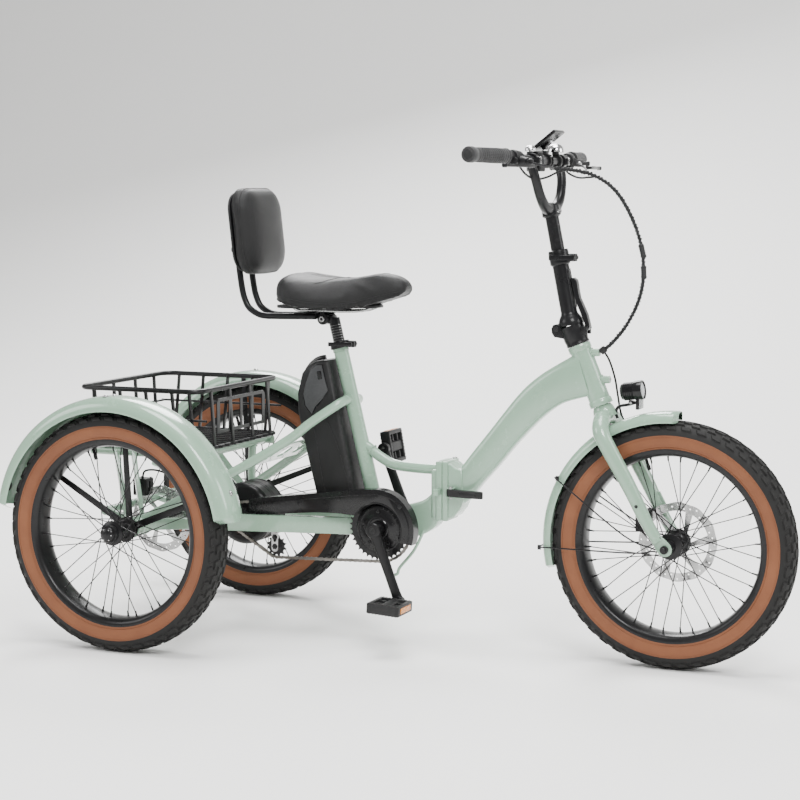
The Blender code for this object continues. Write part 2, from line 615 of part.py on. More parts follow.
for along in (0.018, 0.082):
    root = HEAD_TOP - HEAD_DIR * along
    solids.append(rod("boss", root, root + Vector((0.0420, 0, 0.0020)), 0.0100, 0.0085, sides=10))
solids.append(rod("knuckle", (FOLD_PIN.x, FOLD_PIN.y, 0.3280), (FOLD_PIN.x, FOLD_PIN.y, 0.4010), 0.0090, sides=12))
solids.append(box("tab", (HINGE_FACE_X + 0.0010, 0.0300, 0.3280), (0.6840, FOLD_PIN.y, 0.4010)))
front_frame = combine("front_frame", solids)
cutters = [rod("steerer_bore", HEAD_BOTTOM - HEAD_DIR * 0.05, HEAD_TOP + HEAD_DIR * 0.05, 0.0165, sides=16),
           rod("pin_bore", FOLD_PIN - Vector((0, 0, 0.1)), FOLD_PIN + Vector((0, 0, 0.1)), 0.0050, sides=12),
           box("room_low", (0.650, 0.0350, 0.28), (0.690, 0.07, 0.3277)),
           box("room_high", (0.650, 0.0350, 0.4013), (0.690, 0.07, 0.45))]
front_frame = combine("front_frame", [front_frame] + cutters, "DIFFERENCE")
finish(front_frame, "front_frame", GREEN, front_half)

LATCH_PIVOT = Vector((0.6950, -0.0440, 0.3645))
latch_turn = pivot("pivot_fold_latch", LATCH_PIVOT, front_half)
lever = on_arc((LATCH_PIVOT.x, LATCH_PIVOT.y), 0.0094, 90, 270, 7)
lever += [(0.7300, -0.0610), (0.7700, -0.0600), (0.7770, -0.0550), (0.7750, -0.0500), (0.7640, -0.0460),
          (0.7300, -0.0440), (0.7100, -0.0365)]
finish(bevelled(plate("fold_latch", lever, 0.3560, 0.3730, axis="Z"), 0.003), "fold_latch", BLACK, latch_turn)

# ------------------------------------------------------------------ fork, headset and stem base
leg = [(1.0468, 0.0, 0.5512), (1.0485, -0.0340, 0.5470), (1.0550, -0.0612, 0.5230), (1.0780, -0.0655, 0.4820),
       (1.1210, -0.0640, 0.4080), (1.1580, -0.0625, 0.3370), (1.1870, -0.0625, 0.2900)]
leg_r = [0.0190, 0.0190, 0.0185, 0.0175, 0.0160, 0.0140, 0.0120]
solids = []
for side in (1, -1):
    line = [(x, -side * y, z) for x, y, z in leg]
    solids.append(tube("fork", line, 0.0190, 10, leg_r))
    ear = [(1.1800, 0.3060), (1.1960, 0.3010), (1.2160, 0.2830), (1.2170, 0.2670), (1.2060, 0.2590), (1.1920, 0.2620),
           (1.1780, 0.2840)]
    solids.append(plate("dropout", ear, side * 0.0630 - 0.0035, side * 0.0630 + 0.0035))
crown_top = HEAD_BOTTOM - HEAD_DIR * (0.0050 + GAP)
solids.append(rod("neck", HEAD_BOTTOM - HEAD_DIR * 0.040, crown_top, 0.0200, 0.0225, sides=16))
solids.append(rod("steerer", HEAD_BOTTOM - HEAD_DIR * 0.030, HEAD_TOP + HEAD_DIR * 0.008, 0.0143, sides=16))
solids.append(box("caliper_lug", (1.1480, 0.0560, 0.3300), (1.1700, 0.0620, 0.3820)))
fork = combine("fork", solids)
cutters = [rod("axle_hole", FRONT_AXLE - Vector((0, 0.1, 0)), FRONT_AXLE + Vector((0, 0.1, 0)), 0.0062, sides=12)]
fork = combine("fork", [fork] + cutters, "DIFFERENCE")
finish(fork, "fork", GREEN, steering)


# the fixed half of the stem hinge, clamped on the steerer above the head tube
base_low = HEAD_TOP + HEAD_DIR * 0.0010
base_top = STEM_LOW - STEM_DIR * 0.0140
base = rod("stem_base", base_low, base_top, 0.0250, 0.0270, sides=20)
ear = [(0.9700, 0.7180), (0.9300, 0.7240), (0.9242, 0.7330), (0.9234, 0.7430), (0.9275, 0.7508), (0.9355, 0.7530),
       (0.9430, 0.7490), (0.9700, 0.7460)]
base = combine("stem_base", [base, plate("ear", ear, -0.0170, 0.0170)])
cutters = [rod("steerer_bore", base_low - HEAD_DIR * 0.02, HEAD_TOP + HEAD_DIR * 0.0100, 0.0146, sides=16),
           rod("ear_room", STEM_PIN - Vector((0, 0.0095, 0)), STEM_PIN + Vector((0, 0.0095, 0)), 0.0122, sides=16),
           box("ear_gap", (0.9200, -0.0095, STEM_PIN.z), (0.9500, 0.0095, 0.7700)),
           rod("foot_room", STEM_LOW - STEM_DIR * 0.0119, STEM_LOW + STEM_DIR * 0.04, 0.0285, sides=24)]
base = combine("stem_base", [base] + cutters, "DIFFERENCE")
pin = rod("stem_pin", STEM_PIN - Vector((0, 0.0190, 0)), STEM_PIN + Vector((0, 0.0190, 0)), 0.0041, sides=12)
finish(combine("stem_base", [base, pin]), "stem_base", BLACK, steering)

# the folding half: foot, lower tube and clamp collar
foot_low = STEM_LOW - STEM_DIR * 0.0115
solids = [rod("stem_tube", foot_low, STEM_LOW + STEM_DIR * 0.012, 0.0275, 0.0210, sides=20),
          rod("lower_tube", STEM_LOW, STEM_HIGH, STEM_R, sides=20),
          rod("collar", STEM_HIGH - STEM_DIR * 0.028, STEM_HIGH + STEM_DIR * 0.004, 0.0225, sides=20),
          rod("lug", STEM_PIN - Vector((0, 0.0088, 0)), STEM_PIN + Vector((0, 0.0088, 0)), 0.0105, sides=14),
          beam("web", (0.9370, 0, 0.7450), (0.9600, 0, 0.7640), 0.0170, 0.0110)]
collar_ear = STEM_HIGH - STEM_DIR * 0.012
solids.append(box("collar_ear", (collar_ear.x + 0.015, -0.0080, collar_ear.z - 0.009),
                  (collar_ear.x + 0.040, 0.0080, collar_ear.z + 0.009)))
stem = combine("stem_tube", solids)
cutters = [rod("post_bore", STEM_LOW + STEM_DIR * 0.020, STEM_HIGH + STEM_DIR * 0.03, POST_R + 0.0006, sides=20),
           rod("pin_bore", STEM_PIN - Vector((0, 0.05, 0)), STEM_PIN + Vector((0, 0.05, 0)), 0.0046, sides=12),
           rod("cheek_room", STEM_PIN - Vector((0, 0.05, 0)), STEM_PIN - Vector((0, 0.0088, 0)), 0.0130, sides=16),
           rod("cheek_room", STEM_PIN + Vector((0, 0.0088, 0)), STEM_PIN + Vector((0, 0.05, 0)), 0.0130, sides=16),
           box("ear_slot", (collar_ear.x + 0.018, -0.0015, collar_ear.z - 0.02),
               (collar_ear.x + 0.060, 0.0015, collar_ear.z + 0.02))]
stem = combine("stem_tube", [stem] + cutters, "DIFFERENCE")
finish(stem, "stem_tube", BLACK, stem_fold)

COLLAR_PIVOT = collar_ear + Vector((0.0340, -0.0150, 0))
collar_turn = pivot("pivot_collar_lever", COLLAR_PIVOT, stem_fold)
cam_lever("collar_lever", COLLAR_PIVOT, 0.0060, GREY, collar_turn)

STEM_LATCH_PIVOT = Vector((1.0030, 0, 0.7460))
stem_latch_turn = pivot("pivot_stem_latch", STEM_LATCH_PIVOT, steering)
blade = [(1.0000, 0.7410), (1.0060, 0.7410), (1.0090, 0.7500), (1.0020, 0.7760), (0.9850, 0.8120), (0.9790, 0.8440),
         (0.9700, 0.8560), (0.9640, 0.8550), (0.9680, 0.8400), (0.9740, 0.8120), (0.9895, 0.7740), (0.9970, 0.7560)]
finish(bevelled(plate("stem_latch", blade, -0.0090, 0.0090), 0.002), "stem_latch", GREY, stem_latch_turn)

# ------------------------------------------------------------------ telescoping post, yoke and handlebar
yoke_foot = STEM_HIGH + STEM_DIR * 0.094
CLAMP_Y = 0.0940            # middle of each clamp that holds the bar
arm = [(yoke_foot.x, 0, yoke_foot.z + 0.004), (yoke_foot.x, -0.0400, yoke_foot.z + 0.010),
       (yoke_foot.x - 0.001, -0.0680, yoke_foot.z + 0.032), (yoke_foot.x - 0.005, -0.0870, yoke_foot.z + 0.068),
       (BAR_CENTRE.x, -CLAMP_Y, BAR_CENTRE.z - 0.012)]
solids = [rod("stem_post", STEM_LOW + STEM_DIR * 0.026, yoke_foot, POST_R, sides=20),
          rod("yoke_block", yoke_foot - STEM_DIR * 0.012, yoke_foot + STEM_DIR * 0.014, 0.0210, sides=16)]
for side in (1, -1):
    solids.append(tube("arm", smooth_path([(x, side * y, z) for x, y, z in arm], 2), 0.0095, 8))
    solids.append(rod("bar_clamp", (BAR_CENTRE.x + 0.0005, side * (CLAMP_Y - 0.008), BAR_CENTRE.z),
                      (BAR_CENTRE.x + 0.0005, side * (CLAMP_Y + 0.008), BAR_CENTRE.z), 0.0165, sides=14))
post = combine("stem_post", solids)
post = combine("stem_post", [post, rod("bar_bore", BAR_CENTRE - Vector((0, 0.12, 0)), BAR_CENTRE + Vector((0, 0.12, 0)),
                                       BAR_R + 0.0005, sides=16)], "DIFFERENCE")
finish(post, "stem_post", BLACK, telescope)

half_bar = [(0.9020, 0.0, 1.1120), (0.9020, -0.1080, 1.1120), (0.8970, -0.1500, 1.1150), (0.8880, -0.2060, 1.1195),
            (0.8620, -0.3560, 1.1210)]
whole_bar = [(x, y, z) for x, y, z in reversed(half_bar)] + [(x, -y, z) for x, y, z in half_bar[1:]]
bar_solids = [tube("handlebar", whole_bar, BAR_R, 12)]

grip_dir = (Vector(half_bar[4]) - Vector(half_bar[3])).normalized()
for label, side in (("right", 1), ("left", -1)):
    flip = Vector((1, side, 1))
    start = Vector(half_bar[3]) + grip_dir * 0.0080
    end = Vector(half_bar[4]) + grip_dir * 0.0080
    grip = rod("grip", start * flip, end * flip, 0.0170, 0.0160, sides=14)
    bore = rod("bore", (start - grip_dir * 0.02) * flip, (Vector(half_bar[4]) + grip_dir * 0.0006) * flip, BAR_R + GAP,
               sides=12)
    finish(combine("grip_" + label, [grip, bore], "DIFFERENCE"), "grip_" + label, RUBBER, telescope)
    # brake lever: perch round the bar, and a blade that pulls towards the grip
    near = Vector((0.8954, -0.1600, 1.1158))
    far = Vector((0.8909, -0.1880, 1.1181))
    bar_solids.append(rod("perch", near * flip, far * flip, 0.0165, sides=14))
    bar_solids.append(beam("horn", Vector((0.8960, -0.1750, 1.1120)) * flip, Vector((0.9250, -0.1840, 1.1095)) * flip,
                           0.020, 0.012))
    blade = [(0.9330, -0.1860), (0.9450, -0.1920), (0.9410, -0.2300), (0.9320, -0.2750), (0.9270, -0.3200),
             (0.9190, -0.3200), (0.9210, -0.2750), (0.9280, -0.2320), (0.9310, -0.1980)]
    lever_turn = pivot("pivot_brake_" + label, Vector((0.9350, -side * 0.1910, 1.1080)), telescope)
    finish(plate("brake_lever_" + label, [(x, side * y) for x, y in blade], 1.0955, 1.1025, axis="Z"),
           "brake_lever_" + label, BLACK, lever_turn)

screen_turn = pivot("pivot_display", Vector((0.8990, 0, 1.1400)), telescope)
tilt = Matrix.Rotation(math.radians(-38), 3, "Y")
screen = bevelled(box("display", (0.8750, -0.0330, 1.1460), (0.9450, 0.0330, 1.1540), tilt, (0.8990, 0, 1.1460)),
                  0.0025)
neck = beam("neck", (0.8990, 0, 1.1390), (0.9010, 0, 1.1520), 0.0140, 0.0120)
finish(combine("display", [screen, neck]), "display", PLASTIC, screen_turn)
bar_solids.append(rod("display_mount", (0.9020, -0.0100, 1.1120), (0.9020, 0.0100, 1.1120), 0.0160, sides=14))
bar_solids.append(box("post_up", (0.8950, -0.0090, 1.1200), (0.9060, 0.0090, 1.1345)))
finish(combine("handlebar", bar_solids), "handlebar", BLACK, telescope)

box_y = -0.0590
control = bevelled(box("control_box", (0.8830, box_y - 0.0190, 1.0880), (0.9160, box_y + 0.0190, 1.1330)), 0.004)
bore = rod("bore", (0.9020, -0.0300, 1.1120), (0.9020, -0.0900, 1.1120), 0.0135, sides=12)
finish(combine("control_box", [control, bore], "DIFFERENCE"), "control_box", PLASTIC, telescope)

bell_centre = Vector((0.9020, 0.0640, 1.1120))
dome = [(0.0, 0.0), (0.0190, 0.0), (0.0185, 0.0060), (0.0150, 0.0130), (0.0085, 0.0175), (0.0, 0.0190)]
bell = turned("bell", [(r, y) for r, y in dome], (0, 0, 0), 16)
bell.data.transform(Matrix.Translation(bell_centre + Vector((0, 0, 0.0200))) @ Matrix.Rotation(math.pi / 2, 4, "X"))
clamp = rod("clamp", bell_centre + Vector((0, -0.0080, 0)), bell_centre + Vector((0, 0.0080, 0)), 0.0155,
            sides=14)
bell = combine("bell", [bell, clamp, rod("neck", bell_centre, bell_centre + Vector((0, 0, 0.0240)), 0.0080, sides=10)])
bore = rod("bore", (0.9020, 0.0300, 1.1120), (0.9020, 0.1000, 1.1120), BAR_R + 0.0010, sides=12)
finish(combine("bell", [bell, bore], "DIFFERENCE"), "bell", STEEL, telescope)

# ------------------------------------------------------------------ cable bundle from the bar to the head tube
loom_route = [(0.9250, -0.040, 1.0960), (0.9600, -0.015, 1.0930), (1.0100, 0.010, 1.0800), (1.0550, 0.020, 1.0480),
              (1.0920, 0.018, 0.9940), (1.1180, 0.012, 0.9300), (1.1260, 0.008, 0.8650), (1.1170, 0.004, 0.8080),
              (1.0920, 0.0, 0.7550), (1.0600, 0.0, 0.7150), (1.0380, 0.0, 0.6970)]
finish(tube("cable_loom", smooth_path(loom_route, 2), 0.0050, 6), "cable_loom", RUBBER, stem_fold)

# ------------------------------------------------------------------ headlamp, front caliper
lamp_dir = Vector((math.cos(math.radians(8)), 0, math.sin(math.radians(8))))
lamp_mid = Vector((1.1060, 0, 0.6100))
lamp = rod("headlamp", lamp_mid - lamp_dir * 0.0250, lamp_mid + lamp_dir * 0.0260, 0.0215, sides=16)
reflector = box("reflector", (1.1180, -0.0130, 0.5700), (1.1300, 0.0130, 0.6000))
bracket = tube("bracket", [(1.1180, 0, 0.5860), (1.0760, 0, 0.5740), (1.0700, 0, 0.5600), (1.0735, 0, 0.5480)], 0.0034, 6)
finish(combine("headlamp", [lamp, reflector, bracket]), "headlamp", PLASTIC, steering)

caliper = bevelled(box("caliper_front", (1.1085, 0.0260, 0.2930), (1.1440, 0.0500, 0.3430)), 0.003)
slot = box("slot", (1.1130, 0.0355, 0.2800), (1.1600, 0.0395, 0.3600))
finish(combine("caliper_front", [caliper, slot], "DIFFERENCE"), "caliper_front", BLACK, steering)

# ------------------------------------------------------------------ cranks, chainring and pedals
ring = sprocket("chainring", CRANK_CENTRE, CHAINRING_TEETH, CHAIN_Y, 0.0036)
cover = rod("cover", CRANK_CENTRE + Vector((0, CHAIN_Y - 0.0075, 0)), CRANK_CENTRE + Vector((0, CHAIN_Y, 0)), 0.0520,
            0.0560, sides=24)
ring = combine("chainring", [ring, cover])
hole = rod("hole", CRANK_CENTRE + Vector((0, -0.09, 0)), CRANK_CENTRE + Vector((0, -0.05, 0)), 0.0120 + GAP, sides=16)
finish(combine("chainring", [ring, hole], "DIFFERENCE"), "chainring", BLACK, cranks)


def crank_arm(name, side, spindle_end):
    """A crank arm with its boss, spindle half and pedal eye; side is -1 on the right."""
    aim = CRANK_DIR * (1 if side < 0 else -1)
    boss_y = side * 0.0990
    eye_y = side * 0.1060
    eye = CRANK_CENTRE + aim * CRANK_LENGTH
    spindle = rod(name, CRANK_CENTRE + Vector((0, spindle_end, 0)), CRANK_CENTRE + Vector((0, side * 0.0900, 0)), AXLE_R,
                  sides=12)
    boss = rod("boss", CRANK_CENTRE + Vector((0, side * 0.0780, 0)), CRANK_CENTRE + Vector((0, boss_y + side * 0.008, 0)),
               0.0175, sides=16)
    arm = beam("arm", CRANK_CENTRE + Vector((0, boss_y, 0)), eye + Vector((0, eye_y, 0)), 0.0120, 0.0240)
    tip = rod("tip", eye + Vector((0, eye_y - side * 0.0065, 0)), eye + Vector((0, eye_y + side * 0.0065, 0)), 0.0145,
              sides=14)
    arm = combine(name, [spindle, boss, arm, tip])
    hole = rod("hole", eye + Vector((0, eye_y - 0.02, 0)), eye + Vector((0, eye_y + 0.02, 0)), 0.0052, sides=12)
    return finish(combine(name, [arm, hole], "DIFFERENCE"), name, BLACK, cranks)


crank_arm("crank_right", -1, -0.0010)
crank_arm("crank_left", 1, 0.0010)


def pedal(name, centre, side, tilt_degrees, parent):
    """A platform pedal on its own axle, which turns in the crank's eye."""
    body = box(name, (centre.x - 0.0400, centre.y - 0.0400, centre.z - 0.0125),
               (centre.x + 0.0400, centre.y + 0.0400, centre.z + 0.0125))
    holes = []
    for dx in (-0.0210, 0.0210):
        for dy in (-0.0200, 0.0200):
            holes.append(box("hole", (centre.x + dx - 0.0110, centre.y + dy - 0.0120, centre.z - 0.03),
                             (centre.x + dx + 0.0110, centre.y + dy + 0.0120, centre.z + 0.03)))
    body = combine(name, [bevelled(body, 0.004)] + holes, "DIFFERENCE")
    axle = rod("axle", centre, centre - Vector((0, side * 0.0600, 0)), 0.0048, sides=12)
    body = combine(name, [body, axle])
    turn = Matrix.Translation(centre) @ Matrix.Rotation(math.radians(tilt_degrees), 4, "Y") @ Matrix.Translation(-centre)
    body.data.transform(turn)
    return finish(body, name, PLASTIC, parent)


pedal("pedal_right", RIGHT_PEDAL, -1, 3, right_pedal_turn)
pedal("pedal_left", LEFT_PEDAL, 1, 80, left_pedal_turn)


# ------------------------------------------------------------------ chains, tensioner, motor and chain guard
def belt(name, wheels, thickness, y, width, parent):
    """A chain as one flat band round circles (x, z, radius), given anticlockwise."""
    outer = []
    inner = []
    count = len(wheels)
    for grow, line in ((thickness, outer), (0.0, inner)):
        tangents = []
        for k in range(count):
            x1, z1, r1 = wheels[k]
            x2, z2, r2 = wheels[(k + 1) % count]
            dx, dz = x2 - x1, z2 - z1
            reach = math.hypot(dx, dz)
            lean = math.asin((r2 - r1) / reach)
            tangents.append(math.atan2(dz, dx) - math.pi / 2 - lean)
        for k in range(count):
            x, z, r = wheels[k]
            start = tangents[k - 1]
            end = tangents[k]
            while end < start:
                end += 2 * math.pi
            steps = max(2, int((end - start) / 0.5) + 1)
            reach = (r + grow) / math.cos((end - start) / steps / 2)
            for s in range(steps + 1):
                angle = start + (end - start) * s / steps
                line.append((x + reach * math.cos(angle), z + reach * math.sin(angle)))
    band = plate(name, outer, y - width / 2, y + width / 2)
    void = plate("void", inner, y - width, y + width)
    return finish(combine(name, [band, void], "DIFFERENCE"), name, STEEL, parent)


ring_r = PITCH * CHAINRING_TEETH / (2 * math.pi) + 0.0026
cog_r = PITCH * MOTOR_TEETH / (2 * math.pi) + 0.0026
gear_r = PITCH * AXLE_TEETH / (2 * math.pi) + 0.0026
belt("drive_chain", [(CRANK_CENTRE.x, CRANK_CENTRE.z, ring_r), (MOTOR_CENTRE.x, MOTOR_CENTRE.z, cog_r),
                     (IDLER_CENTRE.x, IDLER_CENTRE.z, IDLER_R + 0.0008)], 0.0045, CHAIN_Y, 0.0080, MACHINE)
belt("motor_chain", [(MOTOR_CENTRE.x, MOTOR_CENTRE.z, cog_r), (0.0, WHEEL_R, gear_r)], 0.0045, DRIVE_Y, 0.0080, MACHINE)

idler_turn = pivot("pivot_idler", IDLER_CENTRE + Vector((0, CHAIN_Y, 0)), MACHINE)
wheel = rod("idler_wheel", IDLER_CENTRE + Vector((0, CHAIN_Y - 0.0050, 0)), IDLER_CENTRE + Vector((0, CHAIN_Y + 0.0050, 0)),
            IDLER_R, sides=20)
axle = rod("axle", IDLER_CENTRE + Vector((0, CHAIN_Y - 0.0110, 0)), IDLER_CENTRE + Vector((0, CHAIN_Y + 0.0180, 0)),
           0.0040, sides=10)
finish(combine("idler_wheel", [wheel, axle]), "idler_wheel", PLASTIC, idler_turn)
hanger = [(IDLER_CENTRE.x - 0.0085, 0.2510), (IDLER_CENTRE.x - 0.0085, IDLER_CENTRE.z)]
hanger += on_arc((IDLER_CENTRE.x, IDLER_CENTRE.z - 0.004), 0.0085, 180, 360, 7)
hanger += [(IDLER_CENTRE.x + 0.0085, 0.2510)]
arm = plate("tensioner", hanger, CHAIN_Y - 0.0105, CHAIN_Y - 0.0075)
hole = rod("hole", IDLER_CENTRE + Vector((0, CHAIN_Y - 0.03, 0)), IDLER_CENTRE + Vector((0, CHAIN_Y, 0)), 0.0050,
           sides=12)
finish(combine("tensioner", [arm, hole], "DIFFERENCE"), "tensioner", STEEL, MACHINE)

motor_profile = [(0.0, -0.1300), (0.0058, -0.1300), (0.0058, -0.0540), (0.0640, -0.0490), (MOTOR_R, -0.0380),
                 (MOTOR_R, 0.0380), (0.0640, 0.0490), (0.0058, 0.0540), (0.0058, 0.1300), (0.0, 0.1300)]
motor = turned("motor", motor_profile, MOTOR_CENTRE, 20)
motor = combine("motor", [motor, sprocket("cog", MOTOR_CENTRE, MOTOR_TEETH, DRIVE_Y, 0.0036),
                          sprocket("cog", MOTOR_CENTRE, MOTOR_TEETH, CHAIN_Y, 0.0036)])
finish(motor, "motor", BLACK, motor_turn)


def guard_outline(inset, rear):
    """Outline of the chain guard's face, drawn in by an inset along its length and open at the rear."""
    middle = (CRANK_CENTRE.x, CRANK_CENTRE.z)
    back = [(rear, 0.2860 + inset), (rear, 0.3240 - inset), (0.2490, 0.3320 - inset),
            (0.4500, 0.3600 - inset)]
    hood = on_arc(middle, 0.0930 - inset, 96, -20, 10)
    inner = on_arc(middle, 0.0600, -26, 152, 9)
    return back + hood + inner + [(0.3730, 0.3060 + inset), (0.2810, 0.2950 + inset)]


guard = plate("chain_guard", guard_outline(0.0, 0.1980), -0.0850, -0.0560)
pocket = plate("pocket", guard_outline(0.0022, 0.1940), -0.0828, -0.0400)
mouth = rod("mouth", CRANK_CENTRE + Vector((0, -0.0828, 0)), CRANK_CENTRE + Vector((0, -0.03, 0)), 0.0830, sides=24)
guard = combine("chain_guard", [guard, pocket, mouth], "DIFFERENCE")
finish(guard, "chain_guard", PLASTIC, MACHINE)

# ------------------------------------------------------------------ battery
case = [(0.3800, 0.6560), (0.3500, 0.6520), (0.3290, 0.6400), (0.3150, 0.6230), (0.3030, 0.5740), (0.3050, 0.5270),
        (0.3260, 0.4370), (0.3500, 0.3420), (0.3560, 0.3340), (0.4520, 0.3340), (0.4530, 0.3480)]
finish(bevelled(plate("battery", case, -0.0400, 0.0400), 0.012, 2, 60), "battery", PLASTIC, battery_slide)

# ------------------------------------------------------------------ seat post, saddle and backrest
ring = rod("seat_clamp", SEAT_TUBE_TOP + SEAT_DIR * -0.0080, SEAT_TUBE_TOP + SEAT_DIR * 0.0080, 0.0235, sides=20)
ear_mid = SEAT_TUBE_TOP + Vector((0.0300, 0, 0.0030))
ring = combine("seat_clamp", [ring, box("ear", (ear_mid.x - 0.0140, -0.0080, ear_mid.z - 0.0070),
                                        (ear_mid.x + 0.0100, 0.0080, ear_mid.z + 0.0070))])
cutters = [rod("bore", SEAT_TUBE_TOP - SEAT_DIR * 0.03, SEAT_TUBE_TOP + SEAT_DIR * 0.0003, SEAT_TUBE_R + GAP, sides=16),
           rod("bore", SEAT_TUBE_TOP - SEAT_DIR * 0.03, SEAT_TUBE_TOP + SEAT_DIR * 0.0300, SEAT_POST_R + 0.0008, sides=16)]
finish(combine("seat_clamp", [ring] + cutters, "DIFFERENCE"), "seat_clamp", BLACK, MACHINE)

QR_PIVOT = ear_mid + Vector((0.0020, -0.0150, 0))
seat_lever_turn = pivot("pivot_seat_lever", QR_PIVOT, MACHINE)
cam_lever("seat_lever", QR_PIVOT, 0.0050, BLACK, seat_lever_turn)

post_top = SEAT_TUBE_TOP + SEAT_DIR * 0.0640
solids = [rod("seat_post", SEAT_TUBE_TOP - SEAT_DIR * 0.2000, post_top, SEAT_POST_R, sides=16),
          rod("clamp", (post_top.x - 0.0180, -0.0260, 0.7500), (post_top.x - 0.0180, 0.0260, 0.7500), 0.0140, sides=14),
          beam("bridge", (post_top.x - 0.0180, 0, 0.7500), (post_top.x + 0.0020, 0, 0.7480), 0.0300, 0.0200)]
finish(combine("seat_post", solids), "seat_post", BLACK, seat_slide)

rail_low = 0.7720
base_outline = [(0.2760, 0.0900), (0.3000, 0.1100), (0.3400, 0.1120), (0.4000, 0.0780), (0.4500, 0.0460),
                (0.4900, 0.0320), (0.5050, 0.0)]
base_outline = base_outline + [(x, -y) for x, y in reversed(base_outline[:-1])]
pan = plate("saddle_pan", base_outline, 0.7780, 0.7850, axis="Z")
block = box("rail_block", (post_top.x - 0.0400, -0.0220, 0.7643), (post_top.x + 0.0140, 0.0220, 0.7800))
rails = [box("rail", (0.2960, side * 0.0200 - 0.0035, 0.7660), (0.4700, side * 0.0200 + 0.0035, 0.7800))
         for side in (1, -1)]
finish(combine("saddle_pan", [pan, block] + rails), "saddle_pan", PLASTIC, seat_slide)


def saddle_half_width(x):
    """Half the saddle's width at a station along it."""
    stations = [(0.2640, 0.070), (0.2850, 0.108), (0.3200, 0.128), (0.3550, 0.125), (0.4000, 0.096), (0.4500, 0.060),
                (0.5000, 0.042), (0.5500, 0.034), (0.5800, 0.018)]
    for (x0, w0), (x1, w1) in zip(stations, stations[1:]):
        if x <= x1:
            return w0 + (w1 - w0) * (x - x0) / (x1 - x0)
    return stations[-1][1]


shape = bmesh.new()
rows = []
stations = [(0.2640, 0.8440, 0.8000), (0.2800, 0.8540, 0.7880), (0.3150, 0.8500, 0.7860), (0.3600, 0.8440, 0.7860),
            (0.4100, 0.8440, 0.7860), (0.4600, 0.8500, 0.7860), (0.5100, 0.8560, 0.7920), (0.5500, 0.8540, 0.8020),
            (0.5780, 0.8380, 0.8160)]
for x, top, bottom in stations:
    half = saddle_half_width(x)
    lift = top - bottom
    section = [(-1.0, 0.30), (-0.90, 0.78), (-0.55, 0.98), (0.0, 1.0), (0.55, 0.98), (0.90, 0.78), (1.0, 0.30),
               (0.85, 0.0), (0.0, 0.0), (-0.85, 0.0)]
    rows.append([shape.verts.new((x, half * a, bottom + lift * b)) for a, b in section])
for near, far in zip(rows, rows[1:]):
    for k in range(len(near)):
        j = (k + 1) % len(near)
        shape.faces.new((near[k], near[j], far[j], far[k]))
shape.faces.new(rows[0])
shape.faces.new(list(reversed(rows[-1])))
bmesh.ops.recalc_face_normals(shape, faces=shape.faces)
finish(from_bmesh("saddle", shape), "saddle", LEATHER, seat_slide)

# two bent tubes from under the saddle to the back, joined by a strap at each end
solids = []
for side in (1, -1):
    y = side * 0.0300
    bend = [(0.3500, y, 0.7560), (0.2300, y, 0.7540), (0.1960, y, 0.7580), (0.1720, y, 0.7720), (0.1590, y, 0.7980),
            (0.1500, y, 0.8600), (0.1380, y, 0.9500), (0.1300, y, 1.0100)]
    solids.append(tube("backrest_frame", bend, 0.0075, 8))
solids.append(box("strap_low", (0.3200, -0.0340, 0.7530), (0.3420, 0.0340, 0.7590)))
strap = box("strap_high", (0.1280, -0.0340, 0.9900), (0.1340, 0.0340, 1.0060))
solids.append(strap)
solids.append(box("clamp_plate", (0.3360, -0.0300, 0.7560), (0.3520, 0.0300, 0.7636)))
frame = combine("backrest_frame", solids)
room = rod("room", (post_top.x - 0.0180, -0.0400, 0.7500), (post_top.x - 0.0180, 0.0400, 0.7500), 0.0143, sides=14)
finish(combine("backrest_frame", [frame, room], "DIFFERENCE"), "backrest_frame", BLACK, seat_slide)

BACK_LEAN = Matrix.Rotation(math.radians(-6.5), 3, "Y")
BACK_MID = Vector((0.1870, 0, 0.9530))
back_dir = BACK_LEAN @ Vector((0, 0, 1))


def back_block(name, x_low, x_high, half_y, half_z, corner, paint, parent, crown=0.0):
    """A rounded rectangular slab square to the backrest's lean."""
    outline = []
    for cy, cz, start in ((half_y - corner, half_z - corner, 0), (corner - half_y, half_z - corner, 90),
                          (corner - half_y, corner - half_z, 180), (half_y - corner, corner - half_z, 270)):
        outline += on_arc((cy, cz), corner, start, start + 90, 5)
    slab = plate(name, outline, x_low, x_high, axis="X")
    if crown:
        slab = bevelled(slab, crown, 2, 60)
    slab.data.transform(Matrix.Translation(BACK_MID) @ BACK_LEAN.to_4x4())
    return finish(slab, name, paint, parent)


pad_turn = pivot("pivot_backrest_pad", BACK_MID, seat_slide)
back_block("backrest_pad", -0.0240, 0.0320, 0.1000, 0.1030, 0.0500, LEATHER, pad_turn, crown=0.0140)
shell = back_block("backrest_shell", -0.0300, -0.0243, 0.0900, 0.0930, 0.0450, PLASTIC, pad_turn)
knob_mid = BACK_MID + BACK_LEAN @ Vector((-0.0665, 0, -0.0380))
back_turn = pivot("pivot_backrest_knob", knob_mid, pad_turn)
slide_block = box("slide_block", (-0.0580, -0.0180, -0.0620), (-0.0303, 0.0180, -0.0140))
slide_block.data.transform(Matrix.Translation(BACK_MID) @ BACK_LEAN.to_4x4())
hole = rod("hole", BACK_MID + BACK_LEAN @ Vector((-0.0700, 0, -0.0380)), BACK_MID + BACK_LEAN @ Vector((-0.0400, 0, -0.0380)),
           0.0040, sides=10)
shell.parent = None
slide_block.data.transform(Matrix.Translation(BACK_LEAN @ Vector((0.0005, 0, 0))))
shell = combine("backrest_shell", [shell, slide_block])
finish(combine("backrest_shell", [shell, hole], "DIFFERENCE"), "backrest_shell", PLASTIC, pad_turn)
